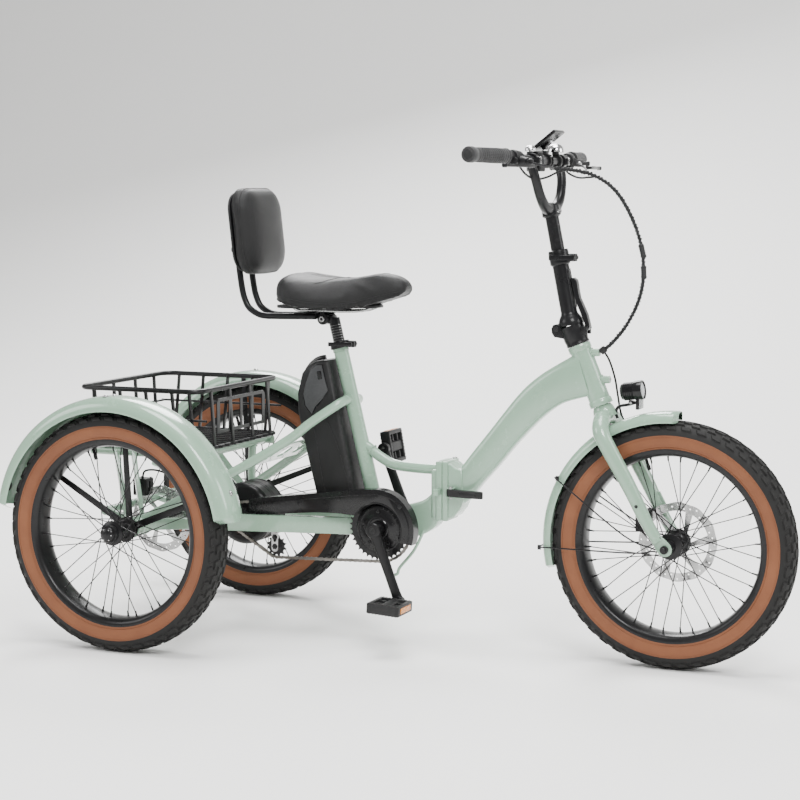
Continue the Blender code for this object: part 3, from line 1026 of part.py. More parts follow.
knob = rod("backrest_knob", BACK_MID + BACK_LEAN @ Vector((-0.0720, 0, -0.0380)),
           BACK_MID + BACK_LEAN @ Vector((-0.0583, 0, -0.0380)), 0.0190, sides=16)
stud = rod("stud", BACK_MID + BACK_LEAN @ Vector((-0.0620, 0, -0.0380)), BACK_MID + BACK_LEAN @ Vector((-0.0410, 0, -0.0380)),
           0.0035, sides=10)
finish(combine("backrest_knob", [knob, stud]), "backrest_knob", PLASTIC, back_turn)

# ------------------------------------------------------------------ basket
WIRE_R = 0.0050


def rounded_rectangle(x_low, x_high, half_y, z, corner):
    """Points round a level rectangle with rounded corners."""
    loop = []
    for cx, cy, start in ((x_high - corner, half_y - corner, 0), (x_low + corner, half_y - corner, 90),
                          (x_low + corner, corner - half_y, 180), (x_high - corner, corner - half_y, 270)):
        loop += [(x, y, z) for x, y in on_arc((cx, cy), corner, start, start + 90, 4)]
    return loop


solids = [tube("basket", rounded_rectangle(-0.1900, 0.1300, 0.2000, BASKET_TOP_Z, 0.030), 0.0060, 8, cyclic=True),
          tube("floor_rim", rounded_rectangle(-0.1820, 0.1400, 0.1760, BASKET_FLOOR_Z, 0.024), WIRE_R, 6, cyclic=True)]
for side in (1, -1):
    for x in (-0.1500, -0.0800, -0.0100, 0.0600, 0.1060):
        solids.append(beam("slat", (x, side * 0.1760, BASKET_FLOOR_Z), (x, side * 0.2000, BASKET_TOP_Z), 0.004, 0.012))
for y in (-0.1400, -0.0500, 0.0500, 0.1400):
    solids.append(beam("slat", (-0.1820, y, BASKET_FLOOR_Z), (-0.1900, y, BASKET_TOP_Z), 0.012, 0.004))
    solids.append(beam("slat", (0.1400, y, BASKET_FLOOR_Z), (0.1300, y, BASKET_TOP_Z), 0.012, 0.004))
for y in (-0.1280, -0.0960, -0.0640, -0.0320, 0.0, 0.0320, 0.0640, 0.0960, 0.1280):
    solids.append(rod("floor_wire", (-0.1820, y, BASKET_FLOOR_Z + 0.0004), (0.1400, y, BASKET_FLOOR_Z + 0.0004), 0.0035,
                      sides=4))
front_panel = box("panel", (0.1330, -0.1200, 0.4780), (0.1360, 0.1200, 0.5560))
solids.append(front_panel)
finish(combine("basket", solids), "basket", BLACK, MACHINE)

for leftover in list(CUTTERS.objects):
    bpy.data.objects.remove(leftover, do_unlink=True)
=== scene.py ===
import math

import bmesh
import bpy
from mathutils import Matrix, Vector


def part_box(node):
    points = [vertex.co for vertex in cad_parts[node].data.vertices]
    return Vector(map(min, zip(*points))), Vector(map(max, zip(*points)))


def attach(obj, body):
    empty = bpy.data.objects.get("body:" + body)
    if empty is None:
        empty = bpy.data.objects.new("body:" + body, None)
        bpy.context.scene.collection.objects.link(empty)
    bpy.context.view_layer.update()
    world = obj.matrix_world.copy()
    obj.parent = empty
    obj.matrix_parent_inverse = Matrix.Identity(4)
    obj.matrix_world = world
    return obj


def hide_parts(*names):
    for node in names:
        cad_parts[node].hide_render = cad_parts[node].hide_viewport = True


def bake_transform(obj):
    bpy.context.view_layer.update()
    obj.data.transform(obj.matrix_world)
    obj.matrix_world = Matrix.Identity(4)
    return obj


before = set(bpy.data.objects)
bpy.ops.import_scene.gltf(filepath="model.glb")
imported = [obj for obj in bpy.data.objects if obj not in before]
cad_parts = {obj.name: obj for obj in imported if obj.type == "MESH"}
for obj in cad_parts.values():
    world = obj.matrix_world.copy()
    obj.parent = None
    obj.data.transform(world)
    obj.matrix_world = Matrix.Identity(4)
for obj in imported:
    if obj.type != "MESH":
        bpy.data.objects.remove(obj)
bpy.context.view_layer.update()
print("frame loaded")

lowTyre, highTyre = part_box("tyre_rear_left")
rearX = (lowTyre.x + highTyre.x) / 2          # the rear axle in the row frame
shift = Matrix.Translation((rearX, 0, 0))


# ---- small mesh kit: every helper adds closed shapes to one growing mesh

def turnTo(direction):
    return Vector(direction).normalized().to_track_quat("Z", "Y").to_matrix().to_4x4()


def roundPath(points, steps=6, closed=False):
    pts = [Vector(p) for p in points]
    if closed:
        ring = [pts[-1]] + pts + pts[:2]
    else:
        ring = [2 * pts[0] - pts[1]] + pts + [2 * pts[-1] - pts[-2]]
    out = []
    for k in range(1, len(ring) - 2):
        a, b, c, d = ring[k - 1:k + 3]
        for s in range(steps):
            t = s / steps
            out.append(0.5 * (2 * b + (c - a) * t + (2 * a - 5 * b + 4 * c - d) * t ** 2
                              + (3 * b - a - 3 * c + d) * t ** 3))
    if not closed:
        out.append(pts[-1])
    return out


def radiusAt(radii, k, count):
    if isinstance(radii, (int, float)):
        return radii
    place = k / max(1, count - 1) * (len(radii) - 1)
    low = min(int(place), len(radii) - 2)
    return radii[low] + (radii[low + 1] - radii[low]) * (place - low)


def addSweep(bm, path, section, scale=1.0, mat=0, closed=False, up=(0, 0, 1)):
    # sweeps a 2D section (list of pairs) along a path, keeping its side level
    path = [Vector(p) for p in path]
    count = len(path)
    rows = []
    normal = None
    for k, p in enumerate(path):
        if closed:
            along = (path[(k + 1) % count] - path[k - 1]).normalized()
        else:
            along = (path[min(k + 1, count - 1)] - path[max(k - 1, 0)]).normalized()
        if normal is None:
            normal = Vector(up) - along * along.dot(Vector(up))
            if normal.length < 0.05:
                normal = along.orthogonal()
        else:
            normal = normal - along * along.dot(normal)
        normal.normalize()
        side = along.cross(normal)
        s = radiusAt(scale, k, count)
        rows.append([bm.verts.new(p + side * (u * s) + normal * (v * s)) for u, v in section])
    faces = []
    size = len(section)
    pairs = list(zip(rows, rows[1:]))
    if closed:
        pairs.append((rows[-1], rows[0]))
    for a, b in pairs:
        for i in range(size):
            j = (i + 1) % size
            faces.append(bm.faces.new((a[i], a[j], b[j], b[i])))
    if not closed:
        faces.append(bm.faces.new(list(reversed(rows[0]))))
        faces.append(bm.faces.new(rows[-1]))
    for f in faces:
        f.material_index = mat
    return rows


def ringSection(sides):
    return [(math.cos(2 * math.pi * k / sides), math.sin(2 * math.pi * k / sides)) for k in range(sides)]


def addTube(bm, path, radius, sides=16, mat=0, closed=False):
    return addSweep(bm, path, ringSection(sides), radius, mat, closed)


def addRod(bm, start, end, radius, endRadius=None, sides=24, mat=0, edge=0.0008):
    # a bar with small rounded edges at both ends
    start, end = Vector(start), Vector(end)
    r2 = radius if endRadius is None else endRadius
    length = (end - start).length
    e = min(edge, radius * 0.45, r2 * 0.45, length * 0.45)
    profile = [(radius - e, 0.0), (radius, e), (r2, length - e), (r2 - e, length)]
    addLathe(bm, profile, start, end - start, sides, mat)


def addLathe(bm, profile, origin, axis, sides=32, mat=0, closed=False):
    # turns (radius, along) pairs about the axis; ends are capped unless the profile is closed
    place = Matrix.Translation(Vector(origin)) @ turnTo(axis)
    rows = []
    for r, along in profile:
        if r < 1e-6:
            rows.append([bm.verts.new(place @ Vector((0, 0, along)))])
            continue
        rows.append([bm.verts.new(place @ Vector((r * math.cos(2 * math.pi * k / sides),
                                                  r * math.sin(2 * math.pi * k / sides), along)))
                     for k in range(sides)])
    faces = []
    pairs = list(zip(rows, rows[1:]))
    if closed:
        pairs.append((rows[-1], rows[0]))
    for a, b in pairs:
        for k in range(sides):
            j = (k + 1) % sides
            if len(a) == 1 and len(b) == 1:
                continue
            if len(a) == 1:
                faces.append(bm.faces.new((a[0], b[j], b[k])))
            elif len(b) == 1:
                faces.append(bm.faces.new((a[k], a[j], b[0])))
            else:
                faces.append(bm.faces.new((a[k], a[j], b[j], b[k])))
    if not closed:
        if len(rows[0]) > 1:
            faces.append(bm.faces.new(list(reversed(rows[0]))))
        if len(rows[-1]) > 1:
            faces.append(bm.faces.new(rows[-1]))
    for f in faces:
        f.material_index = mat
    return rows


def addPart(bm, part, place=None, mat=0):
    # copies a finished small mesh into the growing one
    if place is not None:
        part.transform(place)
    mesh = bpy.data.meshes.new("part")
    for f in part.faces:
        f.material_index = mat
    part.to_mesh(mesh)
    part.free()
    bm.from_mesh(mesh)
    bpy.data.meshes.remove(mesh)


def addBox(bm, size, place, bevel=0.002, segments=2, mat=0):
    part = bmesh.new()
    bmesh.ops.create_cube(part, size=1.0)
    bmesh.ops.scale(part, vec=Vector(size), verts=part.verts)
    if bevel:
        bmesh.ops.bevel(part, geom=list(part.edges), offset=bevel, segments=segments, affect="EDGES",
                        profile=0.6)
    addPart(bm, part, place, mat)


def addBoxAt(bm, low, high, bevel=0.002, mat=0, turn=None, segments=2):
    low, high = Vector(low), Vector(high)
    place = Matrix.Translation((low + high) / 2)
    if turn is not None:
        place = place @ turn
    addBox(bm, high - low, place, bevel, segments, mat)


def addBeam(bm, start, end, width, height, bevel=0.002, mat=0):
    start, end = Vector(start), Vector(end)
    along = (end - start).normalized()
    side = Vector((0, 0, 1)).cross(along)
    side = side.normalized() if side.length > 1e-4 else Vector((0, 1, 0))
    up = along.cross(side)
    place = Matrix.Translation((start + end) / 2) @ Matrix((along, side, up)).transposed().to_4x4()
    addBox(bm, ((end - start).length, width, height), place, bevel, 2, mat)


def addPlate(bm, outline, low, high, bevel=0.001, mat=0, axis="Y", segments=2):
    # a flat outline in XZ (axis Y), XY (axis Z) or YZ (axis X), made thick, with rounded rims
    part = bmesh.new()
    if axis == "Y":
        verts = [part.verts.new((u, low, v)) for u, v in outline]
        push = Vector((0, high - low, 0))
    elif axis == "Z":
        verts = [part.verts.new((u, v, low)) for u, v in outline]
        push = Vector((0, 0, high - low))
    else:
        verts = [part.verts.new((low, u, v)) for u, v in outline]
        push = Vector((high - low, 0, 0))
    face = part.faces.new(verts)
    made = bmesh.ops.extrude_face_region(part, geom=[face])
    bmesh.ops.translate(part, vec=push, verts=[v for v in made["geom"] if isinstance(v, bmesh.types.BMVert)])
    bmesh.ops.recalc_face_normals(part, faces=part.faces)
    if bevel:
        rims = [e for e in part.edges
                if abs(sum(f.normal.dot(push.normalized()) ** 2 for f in e.link_faces) - 1) < 0.3]
        bmesh.ops.bevel(part, geom=rims, offset=bevel, segments=segments, affect="EDGES", profile=0.6)
    addPart(bm, part, None, mat)


def arcPoints(centre, radius, start, end, count):
    return [(centre[0] + radius * math.cos(math.radians(start + (end - start) * k / (count - 1))),
             centre[1] + radius * math.sin(math.radians(start + (end - start) * k / (count - 1))))
            for k in range(count)]


def addHoled(bm, outline, holes, low, high, mat=0, turn=None):
    # a flat sheet in XZ with holes through it, filled as a curve and turned into mesh
    curve = bpy.data.curves.new("sheet", "CURVE")
    curve.dimensions = "2D"
    curve.fill_mode = "BOTH"
    curve.extrude = (high - low) / 2
    for loop in [outline] + holes:
        line = curve.splines.new("POLY")
        line.points.add(len(loop) - 1)
        for k, (u, v) in enumerate(loop):
            line.points[k].co = (u, v, 0, 1)
        line.use_cyclic_u = True
    holder = bpy.data.objects.new("sheet", curve)
    bpy.context.scene.collection.objects.link(holder)
    bpy.context.view_layer.update()
    mesh = bpy.data.meshes.new_from_object(holder.evaluated_get(bpy.context.evaluated_depsgraph_get()))
    bpy.data.objects.remove(holder)
    part = bmesh.new()
    part.from_mesh(mesh)
    bpy.data.meshes.remove(mesh)
    bmesh.ops.remove_doubles(part, verts=part.verts, dist=1e-5)
    place = Matrix.Translation((0, (low + high) / 2, 0)) @ Matrix.Rotation(math.pi / 2, 4, "X")
    if turn is not None:
        place = turn @ place
    addPart(bm, part, place, mat)


def addWeld(bm, centre, axis, radius, mat=0, bead=0.0019):
    # a rippled fillet ring where two tubes meet
    place = Matrix.Translation(Vector(centre)) @ turnTo(axis)
    count = 40
    path = [place @ Vector((radius * math.cos(2 * math.pi * k / count),
                            radius * math.sin(2 * math.pi * k / count), 0))
            for k in range(count)]
    radii = [bead * (1.0 + 0.22 * (k % 2)) for k in range(count)]
    addSweep(bm, path, ringSection(8), radii, mat, closed=True)


def addBolt(bm, centre, axis, radius=0.004, height=0.004, mat=0):
    # a socket head cap screw
    axis = Vector(axis).normalized()
    profile = [(radius * 0.98, -0.001), (radius, 0.0005), (radius, height * 0.85), (radius * 0.88, height),
               (radius * 0.5, height), (radius * 0.46, height * 0.45), (0.0, height * 0.45)]
    addLathe(bm, profile, Vector(centre), axis, 16, mat)


def piece(name, bm, materials, body=None, stands=(), sharp=38):
    # turns the mesh into an object in the row frame, parents it to its body and hides the CAD nodes it stands
    # for
    bmesh.ops.recalc_face_normals(bm, faces=bm.faces)
    bm.transform(shift)
    mesh = bpy.data.meshes.new(name)
    bm.to_mesh(mesh)
    bm.free()
    made = bpy.data.objects.new(name, mesh)
    bpy.context.scene.collection.objects.link(made)
    for m in materials:
        mesh.materials.append(m)
    mesh.shade_smooth()
    mesh.set_sharp_from_angle(angle=math.radians(sharp))
    if body:
        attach(made, body)
    if stands:
        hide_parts(*stands)
    return made


# ---- shader groups shared by the materials

def newGroup(name, inputs, outputs):
    tree = bpy.data.node_groups.new(name, "ShaderNodeTree")
    for label, kind, value in inputs:
        socket = tree.interface.new_socket(name=label, in_out="INPUT", socket_type=kind)
        socket.default_value = value
    for label, kind in outputs:
        tree.interface.new_socket(name=label, in_out="OUTPUT", socket_type=kind)
    return tree, tree.nodes.new("NodeGroupInput"), tree.nodes.new("NodeGroupOutput")


def mathNode(tree, operation, a, b=None, clamp=False):
    node = tree.nodes.new("ShaderNodeMath")
    node.operation = operation
    node.use_clamp = clamp
    for k, value in enumerate((a, b)):
        if value is None:
            continue
        if isinstance(value, (int, float)):
            node.inputs[k].default_value = value
        else:
            tree.links.new(value, node.inputs[k])
    return node.outputs[0]


def noiseNode(tree, vector, scale, detail=4, rough=0.55):
    node = tree.nodes.new("ShaderNodeTexNoise")
    node.inputs["Detail"].default_value = detail
    node.inputs["Roughness"].default_value = rough
    tree.links.new(vector, node.inputs["Vector"])
    if isinstance(scale, (int, float)):
        node.inputs["Scale"].default_value = scale
    else:
        tree.links.new(scale, node.inputs["Scale"])
    return node.outputs["Fac"]


def spread(tree, value, low, high, toLow=0.0, toHigh=1.0):
    node = tree.nodes.new("ShaderNodeMapRange")
    node.inputs["From Min"].default_value = low
    node.inputs["From Max"].default_value = high
    node.inputs["To Min"].default_value = toLow
    node.inputs["To Max"].default_value = toHigh
    tree.links.new(value, node.inputs["Value"])
    return node.outputs["Result"]


def makeWearGroup():
    tree, inside, outside = newGroup("edgeWear", [("Vector", "NodeSocketVector", (0, 0, 0)),
                                                  ("Scale", "NodeSocketFloat", 60.0),
                                                  ("Amount", "NodeSocketFloat", 0.5)],
                                     [("Mask", "NodeSocketFloat")])
    shape = tree.nodes.new("ShaderNodeNewGeometry")
    edge = spread(tree, shape.outputs["Pointiness"], 0.52, 0.62)
    chips = spread(tree, noiseNode(tree, inside.outputs["Vector"], inside.outputs["Scale"], 6, 0.65), 0.5,
                   0.62)
    mask = mathNode(tree, "MULTIPLY", edge, chips)
    mask = mathNode(tree, "MULTIPLY", mask, inside.outputs["Amount"], True)
    tree.links.new(mask, outside.inputs["Mask"])
    return tree


def makeDustGroup():
    tree, inside, outside = newGroup("roadDust", [("Vector", "NodeSocketVector", (0, 0, 0)),
                                                  ("Height", "NodeSocketFloat", 0.5),
                                                  ("Amount", "NodeSocketFloat", 0.3)],
                                     [("Mask", "NodeSocketFloat")])
    split = tree.nodes.new("ShaderNodeSeparateXYZ")
    tree.links.new(inside.outputs["Vector"], split.inputs[0])
    low = mathNode(tree, "DIVIDE", split.outputs["Z"], inside.outputs["Height"])
    low = mathNode(tree, "SUBTRACT", 1.0, low, True)
    cloud = spread(tree, noiseNode(tree, inside.outputs["Vector"], 9.0, 6, 0.6), 0.35, 0.75)
    speck = spread(tree, noiseNode(tree, inside.outputs["Vector"], 420.0, 2, 0.5), 0.45, 0.75)
    mix = mathNode(tree, "MULTIPLY_ADD", speck, 0.6)
    mix.node.inputs[2].default_value = 0.4
    mask = mathNode(tree, "MULTIPLY", mathNode(tree, "MULTIPLY", low, cloud), mix)
    mask = mathNode(tree, "MULTIPLY", mask, inside.outputs["Amount"], True)
    tree.links.new(mask, outside.inputs["Mask"])
    return tree


def makeGrainGroup():
    tree, inside, outside = newGroup("mouldGrain", [("Vector", "NodeSocketVector", (0, 0, 0)),
                                                    ("Scale", "NodeSocketFloat", 900.0)],
                                     [("Height", "NodeSocketFloat"), ("Tone", "NodeSocketFloat")])
    cells = tree.nodes.new("ShaderNodeTexVoronoi")
    cells.feature = "SMOOTH_F1"
    tree.links.new(inside.outputs["Vector"], cells.inputs["Vector"])
    tree.links.new(inside.outputs["Scale"], cells.inputs["Scale"])
    fine = noiseNode(tree, inside.outputs["Vector"], inside.outputs["Scale"], 3, 0.6)
    height = mathNode(tree, "ADD", cells.outputs["Distance"], mathNode(tree, "MULTIPLY", fine, 0.6))
    tree.links.new(height, outside.inputs["Height"])
    tree.links.new(noiseNode(tree, inside.outputs["Vector"], 14.0, 5, 0.6), outside.inputs["Tone"])
    return tree


def makeStreakGroup():
    tree, inside, outside = newGroup("brushStreaks", [("Vector", "NodeSocketVector", (0, 0, 0)),
                                                      ("Stretch", "NodeSocketVector", (1, 1, 1))],
                                     [("Height", "NodeSocketFloat"), ("Stain", "NodeSocketFloat")])
    pull = tree.nodes.new("ShaderNodeVectorMath")
    pull.operation = "MULTIPLY"
    tree.links.new(inside.outputs["Vector"], pull.inputs[0])
    tree.links.new(inside.outputs["Stretch"], pull.inputs[1])
    tree.links.new(noiseNode(tree, pull.outputs[0], 900.0, 4, 0.7), outside.inputs["Height"])
    tree.links.new(noiseNode(tree, inside.outputs["Vector"], 40.0, 5, 0.6), outside.inputs["Stain"])
    return tree


wearGroup = makeWearGroup()
dustGroup = makeDustGroup()
grainGroup = makeGrainGroup()
streakGroup = makeStreakGroup()


# ---- materials

def startMaterial(name, settings):
    made = bpy.data.materials.new(name)
    made.use_nodes = True
    tree = made.node_tree
    shader = tree.nodes["Principled BSDF"]
    for label, value in settings.items():
        shader.inputs[label].default_value = value
    where = tree.nodes.new("ShaderNodeTexCoord").outputs["Object"]
    return made, tree, shader, where


def useGroup(tree, group, where, **values):
    node = tree.nodes.new("ShaderNodeGroup")
    node.node_tree = group
    tree.links.new(where, node.inputs["Vector"])
    for label, value in values.items():
        node.inputs[label].default_value = value
    return node


def blendColour(tree, mask, first, second):
    node = tree.nodes.new("ShaderNodeMix")
    node.data_type = "RGBA"
    for socket, value in ((node.inputs[6], first), (node.inputs[7], second)):
        if isinstance(value, tuple):
            socket.default_value = (*value, 1)
        else:
            tree.links.new(value, socket)
    tree.links.new(mask, node.inputs[0])
    return node.outputs[2]


def addBump(tree, shader, height, strength, distance, after=None):
    node = tree.nodes.new("ShaderNodeBump")
    node.inputs["Strength"].default_value = strength
    node.inputs["Distance"].default_value = distance
    tree.links.new(height, node.inputs["Height"])
    if after is not None:
        tree.links.new(after, node.inputs["Normal"])
    tree.links.new(node.outputs["Normal"], shader.inputs["Normal"])
    return node.outputs["Normal"]


def makePaint(name, look):
    made, tree, shader, where = startMaterial(name, {"Coat Weight": look["coat"], "Coat Roughness": 0.06,
                                                     "Metallic": look["metal"], "IOR": 1.5,
                                                     "Specular IOR Level": look.get("shine", 0.5)})
    tone = noiseNode(tree, where, 5.0, 5, 0.6)
    colour = blendColour(tree, spread(tree, tone, 0.3, 0.7), look["dark"], look["light"])
    wear = useGroup(tree, wearGroup, where, Scale=140.0, Amount=look["wear"])
    colour = blendColour(tree, wear.outputs["Mask"], colour, look["under"])
    dust = useGroup(tree, dustGroup, where, Height=0.75, Amount=look["dust"])
    colour = blendColour(tree, dust.outputs["Mask"], colour, (0.42, 0.38, 0.32))
    tree.links.new(colour, shader.inputs["Base Color"])
    rough = mathNode(tree, "MULTIPLY_ADD", dust.outputs["Mask"], 0.4)
    rough.node.inputs[2].default_value = look["rough"]
    smear = spread(tree, noiseNode(tree, where, 28.0, 6, 0.65), 0.3, 0.8, 0.0, 0.09)
    tree.links.new(mathNode(tree, "ADD", rough, smear), shader.inputs["Roughness"])
    peel = noiseNode(tree, where, look["peel"], 2, 0.5)
    addBump(tree, shader, peel, look["bump"], 0.0004)
    return made


def makePlastic(name, look):
    made, tree, shader, where = startMaterial(name, {"IOR": 1.47, "Sheen Weight": look.get("sheen", 0.0),
                                                     "Specular IOR Level": 0.32})
    grain = useGroup(tree, grainGroup, where, Scale=look["grain"])
    colour = blendColour(tree, spread(tree, grain.outputs["Tone"], 0.3, 0.75), look["dark"], look["light"])
    wear = useGroup(tree, wearGroup, where, Scale=170.0, Amount=look["wear"])
    colour = blendColour(tree, wear.outputs["Mask"], colour, look["worn"])
    dust = useGroup(tree, dustGroup, where, Height=0.8, Amount=look["dust"])
    colour = blendColour(tree, dust.outputs["Mask"], colour, (0.40, 0.36, 0.30))
    tree.links.new(colour, shader.inputs["Base Color"])
    rough = spread(tree, grain.outputs["Tone"], 0.25, 0.8, look["rough"] - 0.06, look["rough"] + 0.1)
    tree.links.new(rough, shader.inputs["Roughness"])
    addBump(tree, shader, grain.outputs["Height"], look["bump"], 0.0006)
    return made


def makeMetal(name, look):
    made, tree, shader, where = startMaterial(name, {"Metallic": 1.0})
    streak = useGroup(tree, streakGroup, where, Stretch=look["stretch"])
    colour = blendColour(tree, spread(tree, streak.outputs["Stain"], 0.35, 0.75), look["light"], look["dark"])
    dust = useGroup(tree, dustGroup, where, Height=0.6, Amount=look["dust"])
    colour = blendColour(tree, dust.outputs["Mask"], colour, (0.30, 0.26, 0.21))
    tree.links.new(colour, shader.inputs["Base Color"])
    rough = spread(tree, streak.outputs["Stain"], 0.3, 0.8, look["rough"], look["rough"] + look["vary"])
    tree.links.new(rough, shader.inputs["Roughness"])
    addBump(tree, shader, streak.outputs["Height"], look["bump"], 0.0004)
    return made


def makeLeather(name, look):
    made, tree, shader, where = startMaterial(name, {"IOR": 1.45, "Sheen Weight": 0.03,
                                                     "Sheen Roughness": 0.5, "Specular IOR Level": 0.30})
    warp = tree.nodes.new("ShaderNodeVectorMath")
    warp.operation = "MULTIPLY_ADD"
    drift = tree.nodes.new("ShaderNodeTexNoise")
    drift.inputs["Scale"].default_value = 60.0
    tree.links.new(where, drift.inputs["Vector"])
    tree.links.new(drift.outputs["Color"], warp.inputs[0])
    warp.inputs[1].default_value = (0.006, 0.006, 0.006)
    tree.links.new(where, warp.inputs[2])
    cells = tree.nodes.new("ShaderNodeTexVoronoi")
    cells.feature = "DISTANCE_TO_EDGE"
    cells.inputs["Scale"].default_value = look["grain"]
    tree.links.new(warp.outputs[0], cells.inputs["Vector"])
    pores = spread(tree, cells.outputs["Distance"], 0.0, 0.16)
    crease = spread(tree, noiseNode(tree, where, 34.0, 7, 0.7), 0.42, 0.6)
    tone = noiseNode(tree, where, 11.0, 5, 0.6)
    colour = blendColour(tree, spread(tree, tone, 0.3, 0.75), look["dark"], look["light"])
    colour = blendColour(tree, mathNode(tree, "SUBTRACT", 1.0, pores), colour, look["pore"])
    tree.links.new(colour, shader.inputs["Base Color"])
    rough = mathNode(tree, "ADD", spread(tree, tone, 0.3, 0.8, look["rough"], look["rough"] + 0.14),
                     spread(tree, pores, 0.0, 1.0, 0.12, 0.0))
    tree.links.new(rough, shader.inputs["Roughness"])
    first = addBump(tree, shader, crease, 0.10, 0.0010)
    addBump(tree, shader, pores, 0.42, 0.00045, first)
    return made


def makeTread(name, look):
    made, tree, shader, where = startMaterial(name, {"IOR": 1.45, "Specular IOR Level": 0.30})
    grain = useGroup(tree, grainGroup, where, Scale=look["grain"])
    colour = blendColour(tree, spread(tree, grain.outputs["Tone"], 0.3, 0.75), look["dark"], look["light"])
    dust = useGroup(tree, dustGroup, where, Height=1.2, Amount=look["dust"])
    colour = blendColour(tree, dust.outputs["Mask"], colour, look["soil"])
    tree.links.new(colour, shader.inputs["Base Color"])
    tree.links.new(spread(tree, grain.outputs["Tone"], 0.2, 0.8, look["rough"], look["rough"] + 0.15),
                   shader.inputs["Roughness"])
    addBump(tree, shader, grain.outputs["Height"], look["bump"], 0.0006)
    return made


def makeClear(name, look):
    made, tree, shader, where = startMaterial(name, {"Transmission Weight": look["clear"], "IOR": 1.49,
                                                     "Metallic": 0.0})
    haze = noiseNode(tree, where, 30.0, 5, 0.6)
    colour = blendColour(tree, spread(tree, haze, 0.3, 0.8), look["light"], look["dark"])
    tree.links.new(colour, shader.inputs["Base Color"])
    tree.links.new(spread(tree, haze, 0.3, 0.8, look["rough"], look["rough"] + 0.08),
                   shader.inputs["Roughness"])
    prism = tree.nodes.new("ShaderNodeTexVoronoi")
    prism.inputs["Scale"].default_value = look["prism"]
    tree.links.new(where, prism.inputs["Vector"])
    addBump(tree, shader, prism.outputs["Distance"], look["bump"], 0.0012)
    return made


greenPaint = makePaint("greenPaint", {"light": (0.250, 0.385, 0.283), "dark": (0.222, 0.348, 0.252),
                                      "under": (0.55, 0.58, 0.55),
                                      "coat": 0.7, "metal": 0.0, "rough": 0.22, "wear": 0.12, "dust": 0.02,
                                      "peel": 260.0, "bump": 0.05})
blackPaint = makePaint("blackPaint", {"light": (0.010, 0.010, 0.011), "dark": (0.006, 0.006, 0.0065),
                                      "under": (0.08, 0.08, 0.08),
                                      "coat": 0.05, "metal": 0.0, "rough": 0.26, "wear": 0.20, "dust": 0.02,
                                      "shine": 0.22,
                                      "peel": 420.0, "bump": 0.12})
blackPlastic = makePlastic("blackPlastic", {"light": (0.013, 0.013, 0.014), "dark": (0.008, 0.008, 0.0085),
                                            "worn": (0.10, 0.10, 0.10), "grain": 1300.0, "rough": 0.46,
                                            "bump": 0.16,
                                            "wear": 0.2, "dust": 0.03})
glossPlastic = makePlastic("glossPlastic", {"light": (0.008, 0.008, 0.009), "dark": (0.005, 0.005, 0.0055),
                                            "worn": (0.06, 0.06, 0.06), "grain": 700.0, "rough": 0.18,
                                            "bump": 0.03,
                                            "wear": 0.1, "dust": 0.03})
greyPlastic = makePlastic("greyPlastic", {"light": (0.055, 0.056, 0.059), "dark": (0.038, 0.039, 0.041),
                                          "worn": (0.25, 0.25, 0.25), "grain": 1100.0, "rough": 0.40,
                                          "bump": 0.14,
                                          "wear": 0.2, "dust": 0.02})
gripRubber = makePlastic("gripRubber", {"light": (0.030, 0.030, 0.031), "dark": (0.018, 0.018, 0.019),
                                        "worn": (0.10, 0.10, 0.10), "grain": 1500.0, "rough": 0.66,
                                        "bump": 0.25,
                                        "wear": 0.3, "dust": 0.0, "sheen": 0.15})
cableRubber = makePlastic("cableRubber", {"light": (0.012, 0.012, 0.013), "dark": (0.007, 0.007, 0.008),
                                          "worn": (0.06, 0.06, 0.06), "grain": 900.0, "rough": 0.5,
                                          "bump": 0.10,
                                          "wear": 0.1, "dust": 0.0})
treadRubber = makeTread("treadRubber", {"light": (0.014, 0.0138, 0.0134), "dark": (0.008, 0.008, 0.008),
                                        "soil": (0.10, 0.085, 0.07),
                                        "grain": 800.0, "rough": 0.62, "bump": 0.25, "dust": 0.08})
tanWall = makeTread("tanWall", {"light": (0.205, 0.078, 0.036), "dark": (0.158, 0.057, 0.026),
                                "soil": (0.20, 0.15, 0.11),
                                "grain": 1100.0, "rough": 0.58, "bump": 0.20, "dust": 0.04})
leather = makeLeather("leather", {"light": (0.012, 0.012, 0.0125), "dark": (0.007, 0.007, 0.0075),
                                  "pore": (0.004, 0.004, 0.004),
                                  "grain": 620.0, "rough": 0.36})
thread = makePlastic("thread", {"light": (0.022, 0.022, 0.023), "dark": (0.014, 0.014, 0.0145),
                                "worn": (0.1, 0.1, 0.1),
                                "grain": 2600.0, "rough": 0.7, "bump": 0.3, "wear": 0.0, "dust": 0.0})
steel = makeMetal("steel", {"light": (0.46, 0.46, 0.46), "dark": (0.34, 0.34, 0.34), "rough": 0.20,
                            "vary": 0.16,
                            "stretch": (0.25, 1.0, 1.0), "bump": 0.08, "dust": 0.05})
chrome = makeMetal("chrome", {"light": (0.86, 0.86, 0.87), "dark": (0.74, 0.74, 0.75), "rough": 0.06,
                              "vary": 0.08,
                              "stretch": (1.0, 1.0, 1.0), "bump": 0.01, "dust": 0.0})
chainSteel = makeMetal("chainSteel", {"light": (0.20, 0.19, 0.175), "dark": (0.12, 0.11, 0.10), "rough": 0.26,
                                      "vary": 0.22,
                                      "stretch": (1.0, 1.0, 1.0), "bump": 0.10, "dust": 0.08})
amberClear = makeClear("amberClear", {"light": (1.0, 0.36, 0.04), "dark": (0.85, 0.24, 0.02), "clear": 0.35,
                                      "rough": 0.12,
                                      "prism": 420.0, "bump": 0.7})
redClear = makeClear("redClear", {"light": (0.55, 0.02, 0.015), "dark": (0.40, 0.012, 0.01), "clear": 0.25,
                                  "rough": 0.12,
                                  "prism": 420.0, "bump": 0.7})
